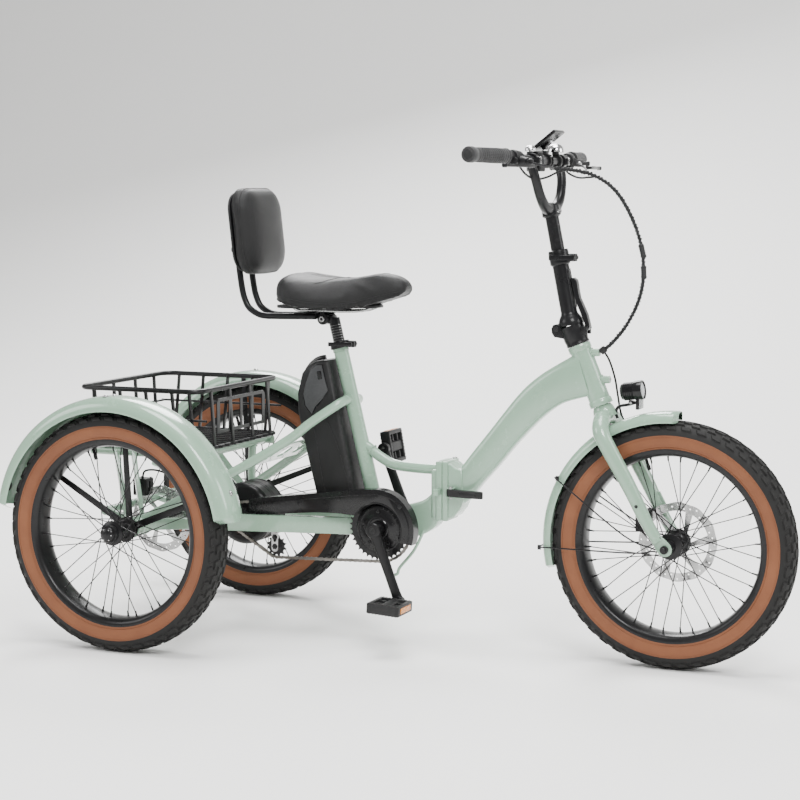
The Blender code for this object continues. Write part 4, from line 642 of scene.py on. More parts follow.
lampClear = makeClear("lampClear", {"light": (0.95, 0.96, 0.97), "dark": (0.88, 0.90, 0.92), "clear": 0.75,
                                    "rough": 0.05,
                                    "prism": 260.0, "bump": 0.35})
screenGlass = makeClear("screenGlass", {"light": (0.020, 0.022, 0.026), "dark": (0.012, 0.013, 0.016),
                                        "clear": 0.0, "rough": 0.07,
                                        "prism": 90.0, "bump": 0.01})
print("materials made")


# ---- wheels

wheelLook = {"radius": 0.2750, "tanTo": 0.2455, "knobRows": ((0.0072, 0.0100, 0.0034),
                                                            (0.0205, 0.0088, 0.0036),
                                                                   (0.0318, 0.0080, 0.0036)),
             "knobs": 48, "spokes": 36, "spokeRadius": 0.0012, "sides": 128}
halfTrack = 0.3434
wheelBase = 1.2036
hubZ = 0.275
frontAxle = Vector((wheelBase, 0, hubZ))


def tyreSection():
    # half of the tyre's outside from bead to crown, as (radius, across)
    return [(0.2128, 0.0290), (0.2140, 0.0312), (0.2170, 0.0338), (0.2225, 0.0372), (0.2310, 0.0394),
            (0.2400, 0.0400),
            (0.2455, 0.0397), (0.2520, 0.0380), (0.2585, 0.0346), (0.2640, 0.0296), (0.2678, 0.0228),
            (0.2701, 0.0146),
            (0.2710, 0.0064), (0.2712, 0.0)]


def crownAt(across):
    section = tyreSection()[6:]
    for (r0, y0), (r1, y1) in zip(section, section[1:]):
        if y1 <= across <= y0:
            return r0 + (r1 - r0) * (y0 - across) / max(1e-6, y0 - y1)
    return section[-1][0]


def addTyre(bm, centre, tanIndex, treadIndex):
    half = tyreSection()
    profile = [(r, -y) for r, y in half] + [(r, y) for r, y in reversed(half[:-1])]
    profile = profile + [(0.2120, 0.0240), (0.2120, -0.0240)]
    start = len(bm.faces)
    addLathe(bm, profile, centre, (0, 1, 0), wheelLook["sides"], treadIndex, closed=True)
    bm.faces.ensure_lookup_table()
    for f in bm.faces[start:]:
        middle = f.calc_center_median() - centre
        if math.hypot(middle.x, middle.z) < wheelLook["tanTo"]:
            f.material_index = tanIndex
    # fine moulded rings on both sidewalls
    for side in (1, -1):
        for r, y in ((0.2185, 0.0357), (0.2425, 0.0404)):
            ring = [centre + Vector((r * math.cos(2 * math.pi * k / 96), side * y,
                                     r * math.sin(2 * math.pi * k / 96)))
                    for k in range(96)]
            addSweep(bm, ring, ringSection(6), 0.0007, tanIndex, closed=True, up=(0, 1, 0))


def addKnobs(bm, centre, mat):
    count = wheelLook["knobs"]
    for row, (across, halfWide, tall) in enumerate(wheelLook["knobRows"]):
        for side in (1, -1):
            for k in range(count):
                angle = 2 * math.pi * (k + (0.5 if (row + (side > 0)) % 2 else 0.0)) / count
                low = crownAt(min(0.0396, across + 0.0015))
                inner = crownAt(max(0.0, across - 0.0015))
                tilt = math.atan2(low - inner, 0.003)
                out = Vector((0, side * math.sin(-tilt), math.cos(tilt)))
                wide = Vector((0, side * math.cos(tilt), math.sin(tilt)))
                long = Vector((1, 0, 0))
                base = Vector((0, side * across, crownAt(across) - 0.0012))
                length = 0.0118 if row != 1 else 0.0104
                corners = []
                for h, shrink in ((0.0, 1.0), (tall + 0.0012, 0.78)):
                    for a, b in ((-1, -1), (1, -1), (1, 1), (-1, 1)):
                        skew = 0.0022 * b * side * (1 if row == 0 else -1)
                        corners.append(base + out * h + wide * (b * halfWide * 0.55 * shrink)
                                       + long * ((a * length * shrink) + skew))
                spin = Matrix.Rotation(angle, 3, "Y")
                top = max(math.hypot(c.x, c.z) for c in corners)
                trim = max(0.0, top - wheelLook["radius"] + 0.0001)
                verts = []
                for i, c in enumerate(corners):
                    if i > 3 and trim:
                        c = c - out * trim
                    verts.append(bm.verts.new(centre + spin @ c))
                for loop in ((0, 1, 5, 4), (1, 2, 6, 5), (2, 3, 7, 6), (3, 0, 4, 7), (4, 5, 6, 7),
                             (3, 2, 1, 0)):
                    bm.faces.new([verts[i] for i in loop]).material_index = mat


def addRim(bm, centre, mat, nippleMat):
    half = [(0.2126, 0.0288), (0.2152, 0.0300), (0.2160, 0.0312), (0.2150, 0.0322), (0.2100, 0.0322),
            (0.2048, 0.0306),
            (0.2008, 0.0266), (0.1982, 0.0196), (0.1966, 0.0110), (0.1960, 0.0)]
    profile = [(r, -y) for r, y in half] + [(r, y) for r, y in reversed(half[:-1])]
    addLathe(bm, profile, centre, (0, 1, 0), wheelLook["sides"], mat, closed=True)
    for k in range(wheelLook["spokes"]):
        angle = 2 * math.pi * (k + 0.5) / wheelLook["spokes"]
        out = Vector((math.cos(angle), 0, math.sin(angle)))
        side = Vector((0, (1 if k % 2 else -1) * 0.0095, 0))
        addLathe(bm, [(0.0036, 0.0), (0.0036, 0.0012), (0.0022, 0.0016), (0.0018, 0.0120), (0.0011, 0.0128)],
                 centre + side + out * 0.1972, -out + side * -4.0, 8, nippleMat)
    # valve
    out = Vector((math.cos(1.9), 0, math.sin(1.9)))
    addLathe(bm, [(0.0036, 0.0), (0.0036, 0.014), (0.0044, 0.016), (0.0044, 0.026), (0.0, 0.0268)],
             centre + out * 0.1975, -out, 12, mat)


def addSpokes(bm, centre, flangeRadius, flangeY, mat):
    count = wheelLook["spokes"]
    for k in range(count):
        side = 1 if k % 2 else -1
        pair = (k // 2) % 2
        rimAngle = 2 * math.pi * (k + 0.5) / count
        hubAngle = rimAngle + math.radians(58 if pair else -58)
        yHub = side * (flangeY - 0.0026 * pair + 0.0013)
        start = centre + Vector((flangeRadius * math.cos(hubAngle), yHub, flangeRadius * math.sin(hubAngle)))
        end = centre + Vector((0.186 * math.cos(rimAngle), side * 0.0105, 0.186 * math.sin(rimAngle)))
        addTube(bm, [start - Vector((0, side * 0.0030, 0)), start, start.lerp(end, 0.03), end],
                wheelLook["spokeRadius"], 6, mat)


def makeTyreAndRim(label, centre, body):
    bm = bmesh.new()
    addTyre(bm, centre, 0, 1)
    addKnobs(bm, centre, 1)
    piece("tyreDetail_" + label, bm, [tanWall, treadRubber], body, ["tyre_" + label], 30)
    bm = bmesh.new()
    addRim(bm, centre, 0, 1)
    piece("rimDetail_" + label, bm, [blackPaint, blackPaint], body, ["rim_" + label], 40)


def addToothedDisc(bm, centre, teeth, y, thickness, mat, holes=(), pitch=0.0127):
    pitchRadius = pitch * teeth / (2 * math.pi)
    outline = []
    for k in range(teeth):
        for part, grow in ((-0.32, -0.0034), (-0.16, -0.0008), (-0.06, 0.0022), (0.06, 0.0022),
                           (0.16, -0.0008), (0.32, -0.0034)):
            angle = 2 * math.pi * (k + 0.5 + part) / teeth
            outline.append((centre.x + (pitchRadius + grow) * math.cos(angle),
                            centre.z + (pitchRadius + grow) * math.sin(angle)))
    addHoled(bm, outline, list(holes), y - thickness / 2, y + thickness / 2, mat)


def makeRearHub(label, side, body):
    centre = Vector((0, side * halfTrack, hubZ))
    bm = bmesh.new()
    profile = [(0.0, 0.0555), (0.0060, 0.0552), (0.0105, 0.0540), (0.0150, 0.0512), (0.0180, 0.0478),
               (0.0190, 0.0440),
               (0.0205, 0.0436), (0.0207, 0.0400), (0.0202, 0.0396), (0.0202, 0.0385), (0.0207, 0.0381),
               (0.0207, 0.0330),
               (0.0196, 0.0318), (0.0250, 0.0300), (0.0280, 0.0288), (0.0286, 0.0275), (0.0286, 0.0262),
               (0.0280, 0.0250),
               (0.0210, 0.0236), (0.0178, 0.0205), (0.0168, 0.0120), (0.0164, 0.0), (0.0168, -0.0120),
               (0.0178, -0.0205),
               (0.0210, -0.0236), (0.0280, -0.0250), (0.0286, -0.0262), (0.0286, -0.0275), (0.0280, -0.0288),
               (0.0200, -0.0310), (0.0200, -0.0420), (0.0186, -0.0430), (0.0085, -0.0434),
               (0.0085, 0.0036 - halfTrack),
               (0.0078, 0.0030 - halfTrack)]
    addLathe(bm, list(reversed(profile)), centre, (0, side, 0), 40, 0)
    addSpokes(bm, centre, 0.0262, 0.0262, 0)
    for k in range(6):
        angle = math.pi * k / 3
        place = Vector((0.0132 * math.cos(angle), side * 0.0508, 0.0132 * math.sin(angle)))
        addLathe(bm, [(0.0016, 0.0), (0.0016, 0.0018), (0.0010, 0.0022)], centre + place, (0, side, 0), 8, 1)
    if side > 0:
        gear = Vector((0, 0, hubZ))
        holes = [arcPoints((0.030 * math.cos(a), hubZ + 0.030 * math.sin(a)), 0.0070, 0, 342, 20)
                 for a in [2 * math.pi * k / 6 for k in range(6)]]
        addToothedDisc(bm, gear, 24, 0.066, 0.0036, 1, holes)
        addLathe(bm, [(0.0086, 0.058), (0.0180, 0.058), (0.0190, 0.060), (0.0190, 0.072), (0.0180, 0.074),
                      (0.0086, 0.074)],
                 gear, (0, 1, 0), 32, 1)
    piece("hubDetail_rear_" + label, bm, [blackPaint, steel], body, ["hub_rear_" + label], 40)


def makeFrontHub():
    bm = bmesh.new()
    profile = [(0.0, -0.0800), (0.0045, -0.0800), (0.0052, -0.0792), (0.0052, -0.0752), (0.0090, -0.0750),
               (0.0094, -0.0742),
               (0.0094, -0.0700), (0.0054, -0.0696), (0.0054, -0.0560), (0.0110, -0.0556), (0.0110, -0.0480),
               (0.0130, -0.0420),
               (0.0150, -0.0320), (0.0282, -0.0296), (0.0288, -0.0284), (0.0288, -0.0264), (0.0282, -0.0252),
               (0.0215, -0.0236), (0.0182, -0.0205), (0.0174, -0.0100), (0.0172, 0.0), (0.0174, 0.0100),
               (0.0182, 0.0205),
               (0.0215, 0.0236), (0.0282, 0.0252), (0.0288, 0.0264), (0.0288, 0.0284), (0.0282, 0.0296),
               (0.0200, 0.0300),
               (0.0200, 0.0400), (0.0170, 0.0425), (0.0110, 0.0430), (0.0110, 0.0556), (0.0054, 0.0560),
               (0.0054, 0.0696),
               (0.0094, 0.0700), (0.0094, 0.0742), (0.0090, 0.0750), (0.0052, 0.0752), (0.0052, 0.0792),
               (0.0045, 0.0800),
               (0.0, 0.0800)]
    addLathe(bm, profile, frontAxle, (0, 1, 0), 40, 0)
    addSpokes(bm, frontAxle, 0.0262, 0.0262, 0)
    piece("hubDetail_front", bm, [blackPaint], "wheel_front", ["hub_front"], 40)


discLook = {"thickness": 0.0018, "arms": 6, "holes": 36}


def makeDisc(name, centre, y, radius, boreRadius, node, body):
    outline = []
    steps = 144
    for k in range(steps):
        angle = 2 * math.pi * k / steps
        reach = radius - 0.0011 + 0.0010 * math.cos(12 * angle)
        outline.append((centre.x + reach * math.cos(angle), centre.z + reach * math.sin(angle)))
    middle = (centre.x, centre.z)
    holes = [list(reversed(arcPoints(middle, boreRadius, 0, 350, 36)))]
    ringInner = radius - 0.0195
    armRoot = boreRadius + 0.010
    for k in range(discLook["arms"]):
        a = 60 * k
        outer = arcPoints(middle, ringInner, a + 16, a + 62, 9)
        inner = arcPoints(middle, armRoot, a + 44, a + 2, 6)
        outerToInner = [((1 - t) * outer[-1][0] + t * inner[0][0], (1 - t) * outer[-1][1] + t * inner[0][1])
                        for t in (0.33, 0.66)]
        holes.append(outer + outerToInner + inner)
    for k in range(discLook["holes"]):
        a = 2 * math.pi * k / discLook["holes"]
        r = radius - (0.0062 if k % 3 == 0 else 0.0102 if k % 3 == 1 else 0.0142)
        holes.append(arcPoints((centre.x + r * math.cos(a), centre.z + r * math.sin(a)), 0.0021, 0, 330, 12))
    bm = bmesh.new()
    addHoled(bm, outline, holes, y - discLook["thickness"] / 2, y + discLook["thickness"] / 2, 0)
    for k in range(6):
        a = math.pi * k / 3 + 0.3
        spot = Vector((centre.x + (boreRadius + 0.005) * math.cos(a), y + 0.0008,
                       centre.z + (boreRadius + 0.005) * math.sin(a)))
        addBolt(bm, spot, (0, 1 if y > 0 else -1, 0), 0.0030, 0.0020, 1)
    piece(name, bm, [steel, blackPaint], body, [node], 30)


for side, label, body in ((1, "left", "wheel_left"), (-1, "right", "wheel_right")):
    makeTyreAndRim("rear_" + label, Vector((0, side * halfTrack, hubZ)), body)
    makeRearHub(label, side, body)
makeTyreAndRim("front", frontAxle, "wheel_front")
makeFrontHub()
makeDisc("discDetail_front", frontAxle, 0.0375, 0.0895, 0.0205, "brake_disc_front", "wheel_front")
makeDisc("discDetail_rear", Vector((0, 0, hubZ)), -0.150, 0.0795, 0.0088, "brake_disc_rear", "wheel_right")
print("wheels made")


# ---- mudguards

guardLook = {"section": ((-1.0, -1.0), (-1.012, -0.86), (-0.985, -0.62), (-0.90, -0.34), (-0.72, -0.13),
                         (-0.45, -0.035),
                         (-0.18, -0.004), (0.0, 0.0), (0.18, -0.004), (0.45, -0.035), (0.72, -0.13),
                         (0.90, -0.34),
                         (0.985, -0.62), (1.012, -0.86), (1.0, -1.0)),
             "sheet": 0.0014, "steps": 72}


def makeMudguard(name, node, centre, radius, halfWidth, start, end, lip, body, bolts):
    section = [(a * halfWidth, b * lip) for a, b in guardLook["section"]]
    back = [(a * 0.972, b - guardLook["sheet"] if abs(a) < 0.9 * halfWidth else b) for a,
            b in reversed(section)]
    loop = section + back
    bm = bmesh.new()
    rows = []
    steps = guardLook["steps"]
    for k in range(steps + 1):
        t = k / steps
        angle = math.radians(start + (end - start) * t)
        close = 1.0 - 0.55 * max(0.0, 1.0 - min(t, 1 - t) / 0.012) ** 2      # rounded ends
        rows.append([bm.verts.new(centre + Vector(((radius + b) * math.cos(angle), a * close,
                                                   (radius + b) * math.sin(angle))))
                     for a, b in loop])
    size = len(loop)
    for near, far in zip(rows, rows[1:]):
        for i in range(size):
            j = (i + 1) % size
            bm.faces.new((near[i], near[j], far[j], far[i]))
    bm.faces.new(list(reversed(rows[0])))
    bm.faces.new(rows[-1])
    for degrees, across in bolts:
        angle = math.radians(degrees)
        out = Vector((math.cos(angle), 0, math.sin(angle)))
        spot = centre + out * (radius - 0.0012) + Vector((0, across, 0))
        addLathe(bm, [(0.0075, 0.0), (0.0075, 0.0010), (0.0050, 0.0013), (0.0048, 0.0028), (0.0036, 0.0040),
                      (0.0, 0.0043)],
                 spot, out, 20, 1)
    piece(name, bm, [greenPaint, steel], body, [node], 50)


def makeRearStays(name, node, side):
    y = side * 0.2925
    bm = bmesh.new()
    addLathe(bm, [(0.0112, -0.0016), (0.0208, -0.0016), (0.0212, -0.0008), (0.0212, 0.0008), (0.0208, 0.0016),
                  (0.0112, 0.0016)],
             (0, y, hubZ), (0, 1, 0), 40, 0, closed=True)
    for degrees in (22, 93, 150):
        aim = Vector((math.cos(math.radians(degrees)), 0, math.sin(math.radians(degrees))))
        across = Vector((-aim.z, 0, aim.x))
        near, far = Vector((0, 0, hubZ)) + aim * 0.016, Vector((0, 0, hubZ)) + aim * 0.2995
        outline = [(p.x, p.z) for p in (near + across * 0.0085, near - across * 0.0085, far - across * 0.0060,
                                        far + aim * 0.0035, far + across * 0.0060)]
        addPlate(bm, outline, y - 0.0013, y + 0.0013, 0.0005, 0)
        for reach in (0.0245, 0.288):
            addBolt(bm, Vector((0, y + side * 0.0012, hubZ)) + aim * reach, (0, side, 0), 0.0042, 0.0030, 1)
    piece(name, bm, [blackPaint, steel], "frame", [node], 40)


def makeFrontStay():
    turn = math.radians(184)
    end = frontAxle + Vector((math.cos(turn), 0, math.sin(turn))) * 0.2995
    eye = frontAxle + Vector((-0.022, 0, -0.004))
    half = [(eye.x + 0.006, -0.0775, eye.z), (eye.x - 0.006, -0.0772, eye.z),
            (frontAxle.x - 0.075, -0.0720, frontAxle.z - 0.012),
            (end.x + 0.030, -0.0465, end.z + 0.002), (end.x + 0.002, -0.0400, end.z),
            (end.x - 0.001, -0.0330, end.z),
            (end.x - 0.001, 0.0, end.z)]
    bm = bmesh.new()
    path = roundPath(half + [(x, -y, z) for x, y, z in reversed(half[:-1])], 5)
    addTube(bm, path, 0.0018, 10, 0)
    # second pair of wires to the upper bolt, and the clips on the guard
    upper = frontAxle + Vector((math.cos(math.radians(152)), 0, math.sin(math.radians(152)))) * 0.292
    for side in (1, -1):
        addTube(bm, roundPath([(eye.x + 0.004, side * 0.0750, eye.z + 0.004),
                               (eye.x - 0.070, side * 0.0710, eye.z + 0.030),
                               (upper.x + 0.012, side * 0.0450, upper.z - 0.008),
                               (upper.x, side * 0.0395, upper.z)], 5),
                0.0018, 10, 0)
        for spot in (upper, end):
            addBox(bm, (0.008, 0.0030, 0.011), Matrix.Translation((spot.x + 0.002, side * 0.0385, spot.z)),
                   0.001, 2, 0)
    piece("frontStayDetail", bm, [blackPaint], "steering", ["mudguard_stay_front"], 40)


for side, label in ((1, "left"), (-1, "right")):
    makeMudguard("mudguardDetail_rear_" + label, "mudguard_rear_" + label,
                 Vector((0, side * halfTrack, hubZ)), 0.311, 0.0472,
                 8, 172, 0.0330, "frame", ((20, 0.0), (91, 0.0), (93, 0.018 * side), (155, 0.0)))
    makeRearStays("rearStays_" + label, "mudguard_stays_rear_" + label, side)
    bm = bmesh.new()
    angle = math.radians(164)
    out = Vector((math.cos(angle), 0, math.sin(angle)))
    spot = Vector((0, side * halfTrack, hubZ)) + out * 0.3090
    addLathe(bm, [(0.0110, -0.002), (0.0120, 0.0), (0.0120, 0.0030), (0.0105, 0.0042)], spot, out, 32, 0)
    addLathe(bm, [(0.0098, 0.0040), (0.0092, 0.0050), (0.0, 0.0056)], spot, out, 32, 1)
    piece("rearReflector_" + label, bm, [blackPlastic, redClear], "frame")
makeMudguard("mudguardDetail_front", "mudguard_front", frontAxle, 0.2955, 0.0378, 87.5, 194, 0.0240,
             "steering", ((120, 0.0),))
makeFrontStay()
print("mudguards made")


# ---- frame

frameLook = {"weldBead": 0.0017, "tubeSides": 28}
headTop = Vector((0.982, 0, 0.707))
headBottom = Vector((1.037, 0, 0.575))
headDir = (headTop - headBottom).normalized()
seatTop = Vector((0.397, 0, 0.689))
seatFoot = Vector((0.490, 0, 0.312))
seatDir = (seatTop - seatFoot).normalized()
crankCentre = Vector((0.528, 0, 0.275))
motorCentre = Vector((0.160, 0, 0.281))
sides = frameLook["tubeSides"]


def mirrorPair(points, side):
    return [(x, y * side, z) for x, y, z in points]


bm = bmesh.new()
addTube(bm, [seatFoot - seatDir * 0.012, seatFoot, seatTop], 0.0175, sides, 0)
addRod(bm, seatTop - seatDir * 0.016, seatTop + seatDir * 0.0005, 0.0190, None, 32, 0)
addLathe(bm, [(0.0150, -0.0342), (0.0208, -0.0342), (0.0218, -0.0332), (0.0218, 0.0332), (0.0208, 0.0342),
              (0.0150, 0.0342)],
         crankCentre, (0, 1, 0), 40, 0, closed=True)
gusset = [(0.470, 0.335), (0.505, 0.338), (0.530, 0.312), (0.566, 0.323), (0.613, 0.337), (0.640, 0.358),
          (0.656, 0.381),
          (0.656, 0.297), (0.626, 0.264), (0.585, 0.249), (0.545, 0.246), (0.500, 0.258), (0.455, 0.262),
          (0.450, 0.285)]
smoothed = [(p.x, p.z) for p in roundPath([(x, 0, z) for x, z in gusset], 3, closed=True)]
addPlate(bm, smoothed, -0.024, 0.024, 0.009, 0, segments=4)
addBoxAt(bm, (0.6400, -0.0300, 0.2990), (0.6560, 0.0300, 0.4130), 0.006, 0, segments=3)
linkTube = [(0.463, 0, 0.4560), (0.472, 0, 0.4505), (0.500, 0, 0.4310), (0.536, 0, 0.4150),
            (0.590, 0, 0.4105), (0.658, 0, 0.4095)]
addTube(bm, roundPath(linkTube, 5), 0.0120, sides, 0)
addWeld(bm, (0.4790, 0, 0.4455), (0.8, 0, -0.55), 0.0135, 0, frameLook["weldBead"])
addWeld(bm, (0.6520, 0, 0.4095), (1, 0, 0), 0.0120, 0, frameLook["weldBead"])
# folding joint, rear half: plate, knuckles and pin
addBoxAt(bm, (0.6530, -0.0340, 0.2960), (0.6685, 0.0340, 0.4330), 0.0035, 0, segments=3)
for low, high in ((0.2980, 0.3270), (0.4020, 0.4310)):
    addRod(bm, (0.6688, 0.0465, low), (0.6688, 0.0465, high), 0.0090, None, 28, 0)
    addBoxAt(bm, (0.6560, 0.0300, low + 0.001), (0.6680, 0.0440, high - 0.001), 0.0015, 0)
    for z, way in ((low, -1), (high, 1)):
        if way * (z - 0.3645) > 0.05:
            addBolt(bm, (0.6688, 0.0465, z), (0, 0, way), 0.0058, 0.0030, 2)
addBoxAt(bm, (0.6560, -0.0560, 0.3570), (0.6680, -0.0300, 0.3720), 0.003, 0)
for side in (1, -1):
    stay = [(0.4270, 0.0000, 0.5680), (0.4240, side * 0.0300, 0.5625), (0.4160, side * 0.0580, 0.5540),
            (0.3600, side * 0.0840, 0.5120),
            (0.3100, side * 0.1080, 0.4700), (0.1850, side * 0.1680, 0.3900), (0.0100, side * 0.2500, 0.2890)]
    addTube(bm, roundPath(stay, 5), 0.0110, sides, 0)
    addWeld(bm, (0.4257, side * 0.0175, 0.5660), (0, 1, -0.1), 0.0112, 0, frameLook["weldBead"])
    addBeam(bm, (0.478, side * 0.026, 0.272), (0.438, side * 0.050, 0.272), 0.016, 0.040, 0.004, 0)
    addBeam(bm, (0.4520, side * 0.0440, 0.2720), (0.1430, side * 0.1205, 0.2720), 0.016, 0.040, 0.0045, 0)
    addBeam(bm, (0.1600, side * 0.1160, 0.2720), (0.0000, side * 0.2500, 0.2760), 0.018, 0.026, 0.003, 0)
    addLathe(bm, [(0.0100, 0.2310), (0.0222, 0.2310), (0.0235, 0.2330), (0.0235, 0.2400), (0.0222, 0.2420),
                  (0.0222, 0.2810),
                  (0.0235, 0.2830), (0.0235, 0.2890), (0.0222, 0.2905), (0.0160, 0.2905), (0.0150, 0.2890),
                  (0.0100, 0.2890)],
             (0, 0, hubZ), (0, side, 0), 40, 0, closed=True)
    addBeam(bm, (0.0, side * 0.250, 0.2760), (-0.1030, side * 0.230, 0.3005), 0.014, 0.020, 0.003, 0)
    for low, high in (((-0.0340, side * 0.25, 0.2880), (-0.1110, side * 0.17, 0.4360)),
                      ((0.0080, side * 0.25, 0.2900), (-0.0640, side * 0.17, 0.4360))):
        addBeam(bm, low, high, 0.010, 0.018, 0.002, 0)
    addTube(bm, [(-0.1760, side * 0.17, 0.4330), (-0.1740, side * 0.17, 0.4330),
                 (0.1290, side * 0.17, 0.4330), (0.1310, side * 0.17, 0.4330)],
            0.0100, sides, 0)
    addTube(bm, roundPath([(0.1080, side * 0.1080, 0.4330), (0.1060, side * 0.1080, 0.4000),
                           (0.1050, side * 0.1080, 0.3400),
                           (0.1180, side * 0.1110, 0.2980), (0.1300, side * 0.1150, 0.2780)], 5), 0.0095,
                           sides, 0)
    addWeld(bm, (0.1080, side * 0.1080, 0.4235), (0, 0, 1), 0.0098, 0, frameLook["weldBead"])
    addWeld(bm, (0.1080, side * 0.1600, 0.4330), (0, 1, 0), 0.0098, 0, frameLook["weldBead"])
addTube(bm, [(-0.1, -0.240, 0.3000), (-0.1, -0.238, 0.3000), (-0.1, 0.238, 0.3000), (-0.1, 0.240, 0.3000)],
        0.0100, sides, 0)
addTube(bm, [(0.108, -0.170, 0.433), (0.108, 0.170, 0.433)], 0.0100, sides, 0)
addBeam(bm, (-0.1, 0, 0.3000), (-0.016, 0, 0.2785), 0.020, 0.014, 0.002, 0)
addLathe(bm, [(0.0100, -0.026), (0.0200, -0.026), (0.0212, -0.0248), (0.0212, 0.0248), (0.0200, 0.026),
              (0.0100, 0.026)],
         (0, 0, hubZ), (0, 1, 0), 40, 0, closed=True)
# plate between the seat stays with its round windows
plateTurn = Matrix.Translation((0.25, 0, 0.431)) @ Matrix.Rotation(math.radians(-36), 4,
                                                            "Y") @ Matrix.Rotation(math.pi / 2, 4, "X")
windows = [arcPoints((0.0, y), 0.022, 0, 345, 24) for y in (-0.078, 0.0, 0.078)]
plateEdge = [(-0.040, -0.140), (0.040, -0.118), (0.040, 0.118), (-0.040, 0.140)]
addHoled(bm, plateEdge, windows, -0.0020, 0.0020, 0, plateTurn)
addWeld(bm, seatFoot + seatDir * 0.026, seatDir, 0.0180, 0, frameLook["weldBead"])
for side in (1, -1):
    addWeld(bm, (0.528, side * 0.0240, 0.275), (0, 1, 0), 0.0222, 0, frameLook["weldBead"])
# battery bosses, hinge bolts and the guard over the front chainring
for k in (0.10, 0.17, 0.24):
    addBolt(bm, seatFoot + seatDir * k + Vector((-0.0172, 0, -0.004)), (-1, 0, -0.24), 0.0036, 0.0026, 2)
guard = [(0.625, -0.018, 0.284), (0.600, -0.030, 0.225), (0.563, -0.030, 0.180), (0.556, -0.030, 0.164),
         (0.536, -0.030, 0.158)]
addTube(bm, roundPath(guard, 6), 0.0036, 14, 0)
piece("rearFrameDetail", bm, [greenPaint, blackPaint, steel], "frame", ["rear_frame"], 40)

# clamp ring at the top of the seat tube
earMid = Vector((0.427, 0, 0.692))
bm = bmesh.new()
addLathe(bm, [(0.0185, -0.0080), (0.0222, -0.0080), (0.0228, -0.0072), (0.0230, -0.0040), (0.0222, 0.0),
              (0.0230, 0.0040),
              (0.0228, 0.0072), (0.0222, 0.0080), (0.0142, 0.0080), (0.0142, 0.0060), (0.0185, 0.0060)],
         seatTop, seatDir, 48, 0, closed=True)
for y in (-0.0048, 0.0048):
    addBoxAt(bm, (earMid.x - 0.012, y - 0.0030, earMid.z - 0.0075), (earMid.x + 0.0095, y + 0.0030,
                                                            earMid.z + 0.0075), 0.002, 0,
             segments=3)
addLathe(bm, [(0.0, -0.0150), (0.0050, -0.0146), (0.0066, -0.0130), (0.0066, -0.0085), (0.0026, -0.0080),
              (0.0026, 0.0080)],
         earMid + Vector((0.002, 0, 0)), (0, -1, 0), 20, 1)
piece("seatClampDetail", bm, [blackPaint, blackPlastic], "frame", ["seat_clamp"], 35)


def addCamLever(bm, place, halfHeight, mat, pinMat):
    rim = [(place.x + u, place.y + v) for u, v in arcPoints((0, 0), 0.0060, -60, 150, 22)]
    blade = [(-0.0165, -0.0095), (-0.0300, -0.0118), (-0.0440, -0.0130), (-0.0476, -0.0138),
             (-0.0480, -0.0160), (-0.0466, -0.0174),
             (-0.0300, -0.0158), (-0.0150, -0.0145)]
    outline = rim + [(place.x + u, place.y + v) for u, v in blade]
    addPlate(bm, outline, place.z - halfHeight, place.z + halfHeight, 0.0013, mat, "Z", 3)
    for way in (1, -1):
        addBolt(bm, place + Vector((0, 0, way * (halfHeight - 0.0004))), (0, 0, way), 0.0034, 0.0014, pinMat)


bm = bmesh.new()
addCamLever(bm, earMid + Vector((0.0020, -0.0150, 0)), 0.0050, 0, 1)
piece("seatLeverDetail", bm, [glossPlastic, blackPaint], "seat_lever", ["seat_lever"], 35)

# front frame: one swept beam whose height changes along its run
beamStations = ((0.7000, 0.4100, 0.7010, 0.3270), (0.7150, 0.4300, 0.7260, 0.3440),
                (0.7400, 0.4620, 0.7600, 0.3860),
                (0.7740, 0.5040, 0.7960, 0.4260), (0.8120, 0.5520, 0.8360, 0.4740),
                (0.8440, 0.5910, 0.8730, 0.5140),
                (0.8720, 0.6190, 0.8960, 0.5370), (0.9030, 0.6430, 0.9210, 0.5580),
                (0.9320, 0.6610, 0.9480, 0.5755),
                (0.9610, 0.6780, 0.9780, 0.5860), (0.9860, 0.6920, 1.0160, 0.5960))


def addBeamLoft(bm, stations, halfWidth, mat, rows=28):
    top = roundPath([(a, 0, b) for a, b, c, d in stations], 3)
    low = roundPath([(c, 0, d) for a, b, c, d in stations], 3)
    rings = []
    for a, b in zip(top, low):
        middle, half = (a + b) / 2, (a - b) / 2
        ring = []
        for k in range(rows):
            angle = 2 * math.pi * k / rows
            c, s = math.cos(angle), math.sin(angle)
            power = 0.55
            across = math.copysign(abs(c) ** power, c)
            tall = math.copysign(abs(s) ** power, s)
            ring.append(bm.verts.new(middle + half * tall + Vector((0, halfWidth * across, 0))))
        rings.append(ring)
    for a, b in zip(rings, rings[1:]):
        for k in range(rows):
            j = (k + 1) % rows
            bm.faces.new((a[k], a[j], b[j], b[k])).material_index = mat
    bm.faces.new(list(reversed(rings[0]))).material_index = mat
    bm.faces.new(rings[-1]).material_index = mat


